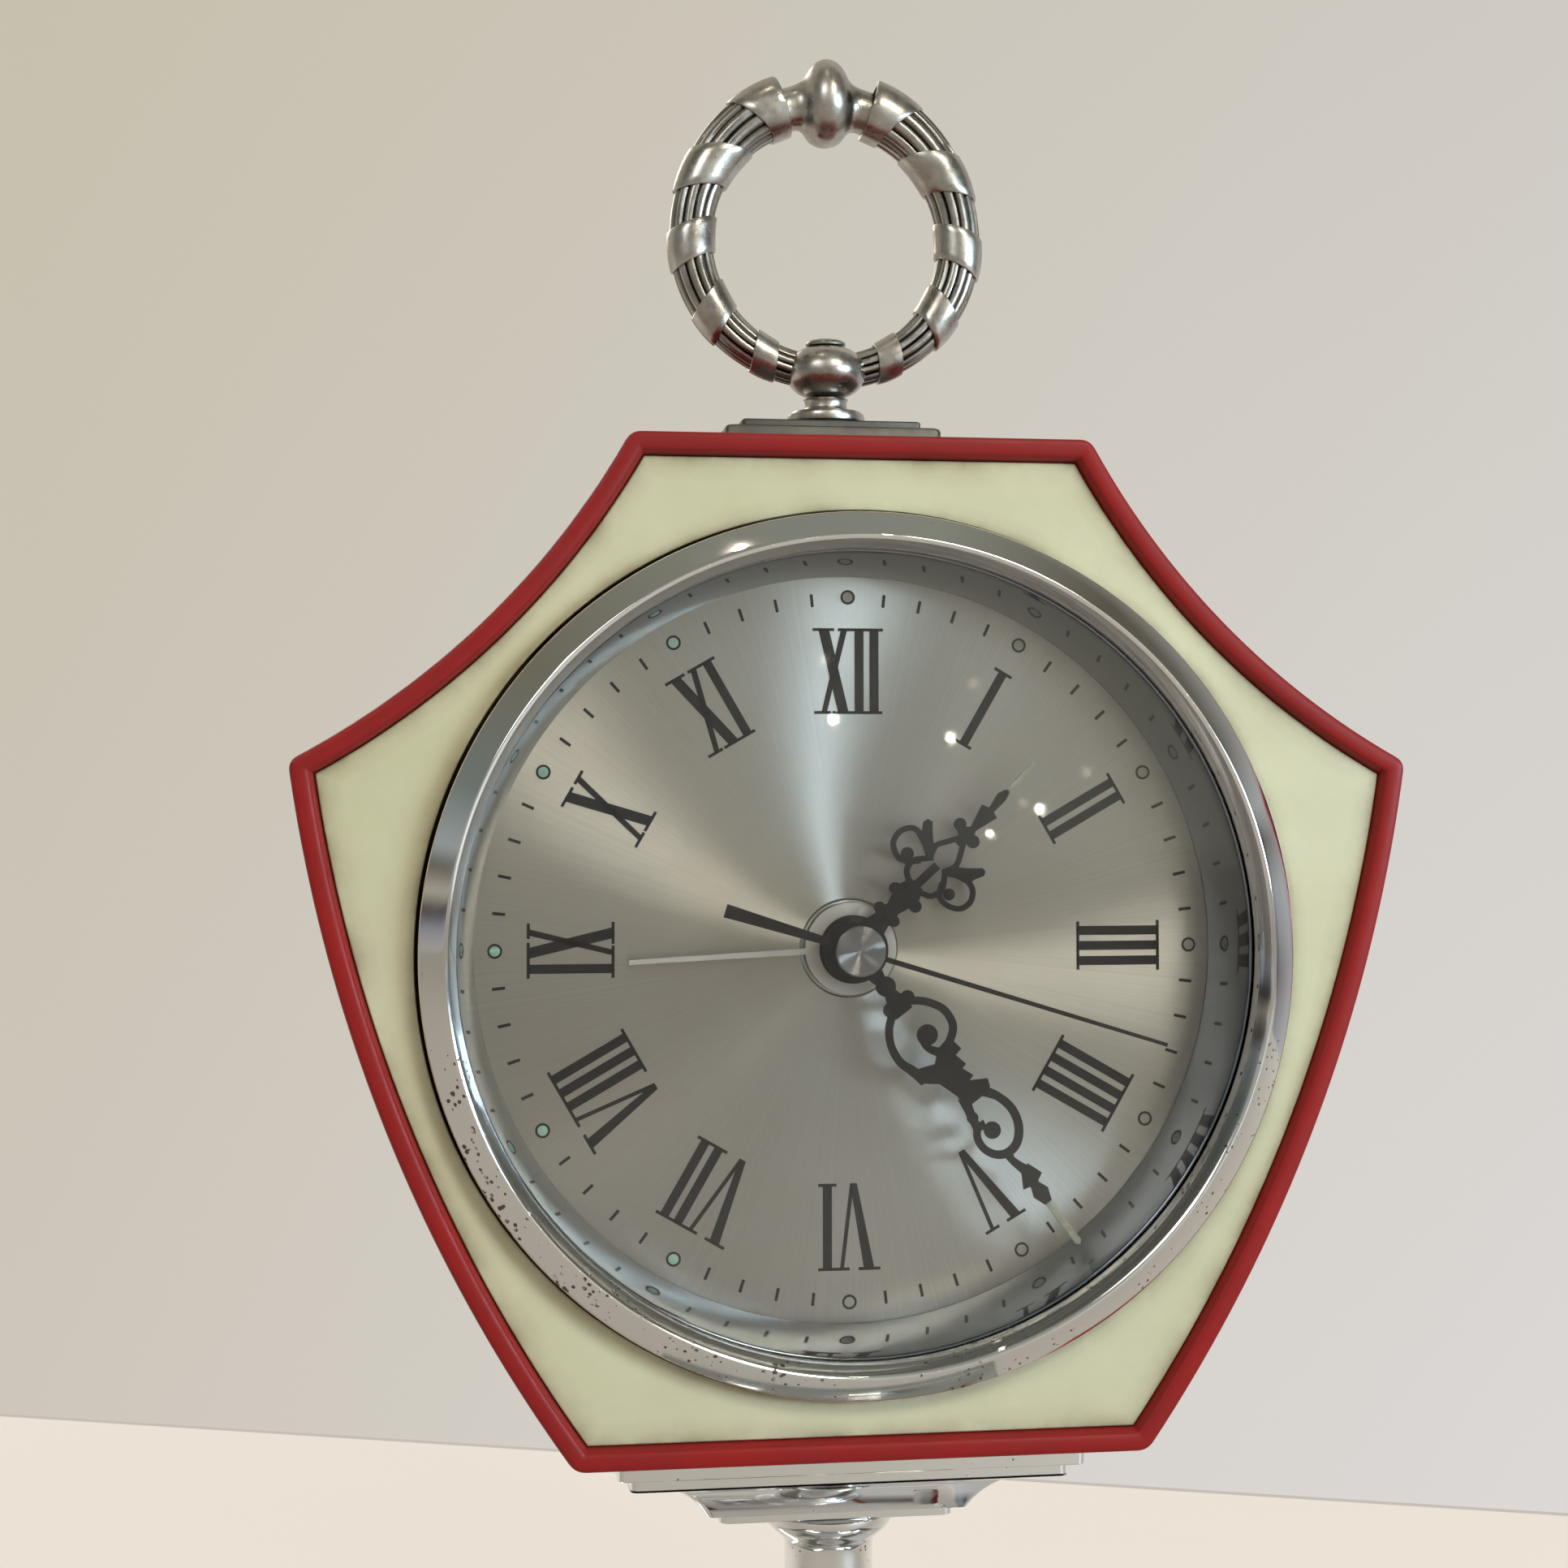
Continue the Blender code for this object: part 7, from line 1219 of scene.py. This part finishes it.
piece("cover_marks", bm, "clock", pale_paint)

# Winding keys. Cast brass, each with a round hub, bored for its arbor, and two flat wings with round
# corners.
KEY_HUB = (  # (radius, depth), from the bottom of the bore out to the crown
    (0, 29.2), (1.3, 29.2), (1.3, 22.1), (2.6, 22.1), (2.9, 22.25), (3.0, 22.5), (3.0, 23.4),
    (2.8, 23.6), (2.8, 23.85), (3.0, 24.1), (3.05, 24.6), (3.05, 29.6), (2.85, 30.4), (2.3, 30.85),
    (1.3, 31.05), (0, 31.1),
)
KEY_WING = (  # (distance from the hub's middle, depth, radius of the corner)
    (2.0, 25.3, 0.0), (4.6, 24.8, 2.5), (6.6, 24.1, 2.5), (8.5, 24.4, 2.0), (8.5, 31.1, 2.6),
    (5.6, 31.0, 2.5), (4.2, 29.9, 2.0), (2.0, 29.6, 0.0),
)
KEY_WING_LEVELS = ((-0.75, 0.94), (-0.66, 0.98), (-0.5, 1.0), (0.5, 1.0), (0.66, 0.98), (0.75, 0.94))
for body, x, z in KEYS:
    bm = bmesh.new()
    turned(bm, KEY_HUB, (x, 0, z), steps=64, closed=False)
    wing = eased(KEY_WING)
    heart = sum(wing, Vector((0, 0))) / len(wing)
    for side in (-1, 1):
        loops = []
        for height, share in KEY_WING_LEVELS:
            drawn = [heart + (point - heart) * share for point in wing]
            loops.append([Vector((x + side * point.x, point.y, z + height)) for point in drawn])
        tube(bm, loops)
    piece(body + "_butterfly", bm, body, brass, [body + "_key"])

# Ends of the setting knobs and of the stop button. Each knob has a turned disc let into its end, and
# the button has a low dome.
KNOB_END = (
    (0, 27.95), (1.1, 27.95), (1.25, 27.8), (1.5, 27.8), (1.65, 27.95), (2.9, 27.9), (3.2, 27.75),
    (3.3, 27.55), (0, 27.55),
)
BUTTON_DOME = (
    (0, 26.8), (1.2, 26.74), (2.2, 26.55), (2.9, 26.32), (3.3, 26.12), (3.35, 26.05), (0, 26.05),
)
for body, x, z in KNOBS:
    spun(body + "_disc", KNOB_END, (x, 0, z), body, "movement_brass", brass)
stop_middle = (STOP_PLACE[0], 0, STOP_PLACE[1])
spun("button_dome", BUTTON_DOME, stop_middle, "stop_button", "movement_brass", brass)

# Screws of the cover. Two steel screws with slotted cheese heads, which go through the rear cover and
# bite into the bosses of the case.
SCREW_STEM = ((0, 11.6), (0.7, 11.6), (1.1, 12.2), (1.1, 21.6), (2.4, 21.6), (2.4, 22.25), (0, 22.25))
SCREW_HALF_LEVELS = ((2.4, 22.2), (2.4, 22.55), (2.3, 22.72), (2.1, 22.8))
SCREW_STEPS = 24
SLOT_HALF = 0.3
SLOT_TURNS = (25, -50)
bm = bmesh.new()
for (x, z), degrees in zip(BOSS_PLACES, SLOT_TURNS):
    turned(bm, SCREW_STEM, (x, 0, z), steps=48, closed=False)
    for first in (degrees, degrees + 180):
        loops = []
        for radius, depth in SCREW_HALF_LEVELS:
            start = math.degrees(math.asin(SLOT_HALF / radius))
            step = (180 - 2 * start) / SCREW_STEPS
            turns = [math.radians(first + start + step * index) for index in range(SCREW_STEPS + 1)]
            rim = [(x + radius * math.cos(turn), z + radius * math.sin(turn)) for turn in turns]
            loops.append([Vector((across, depth, rise)) for across, rise in rim])
        tube(bm, loops)
piece("cover_screws", bm, "clock", steel, ["cover_screw_1", "cover_screw_2"])

# Movement, rear cover, pad and inner parts. These solids stay as the CAD made them and take the finish
# of their slot: brass plates and wheels, steel arbors and springs, plastic for the cover, a rubber pad.
SLOT_FINISH = {
    "movement_brass": brass, "movement_steel": steel, "pad_rubber": rubber, "cover_plastic": cover_plastic,
    "chrome_plate": clean_chrome, "satin_metal": dull_metal, "aged_silver": plain_silver,
    "dial_metal": dial_metal, "hand_black": hand_black, "hand_pale": pale_paint,
}
slots = {subpart["node"]: subpart["material_slot"] for subpart in frame["record"]["subparts"]}
for name, node in frame["nodes"].items():
    if node.hide_render or name == "dial_plate":
        continue
    node.data.materials.clear()
    node.data.materials.append(SLOT_FINISH.get(slots.get(name), steel))
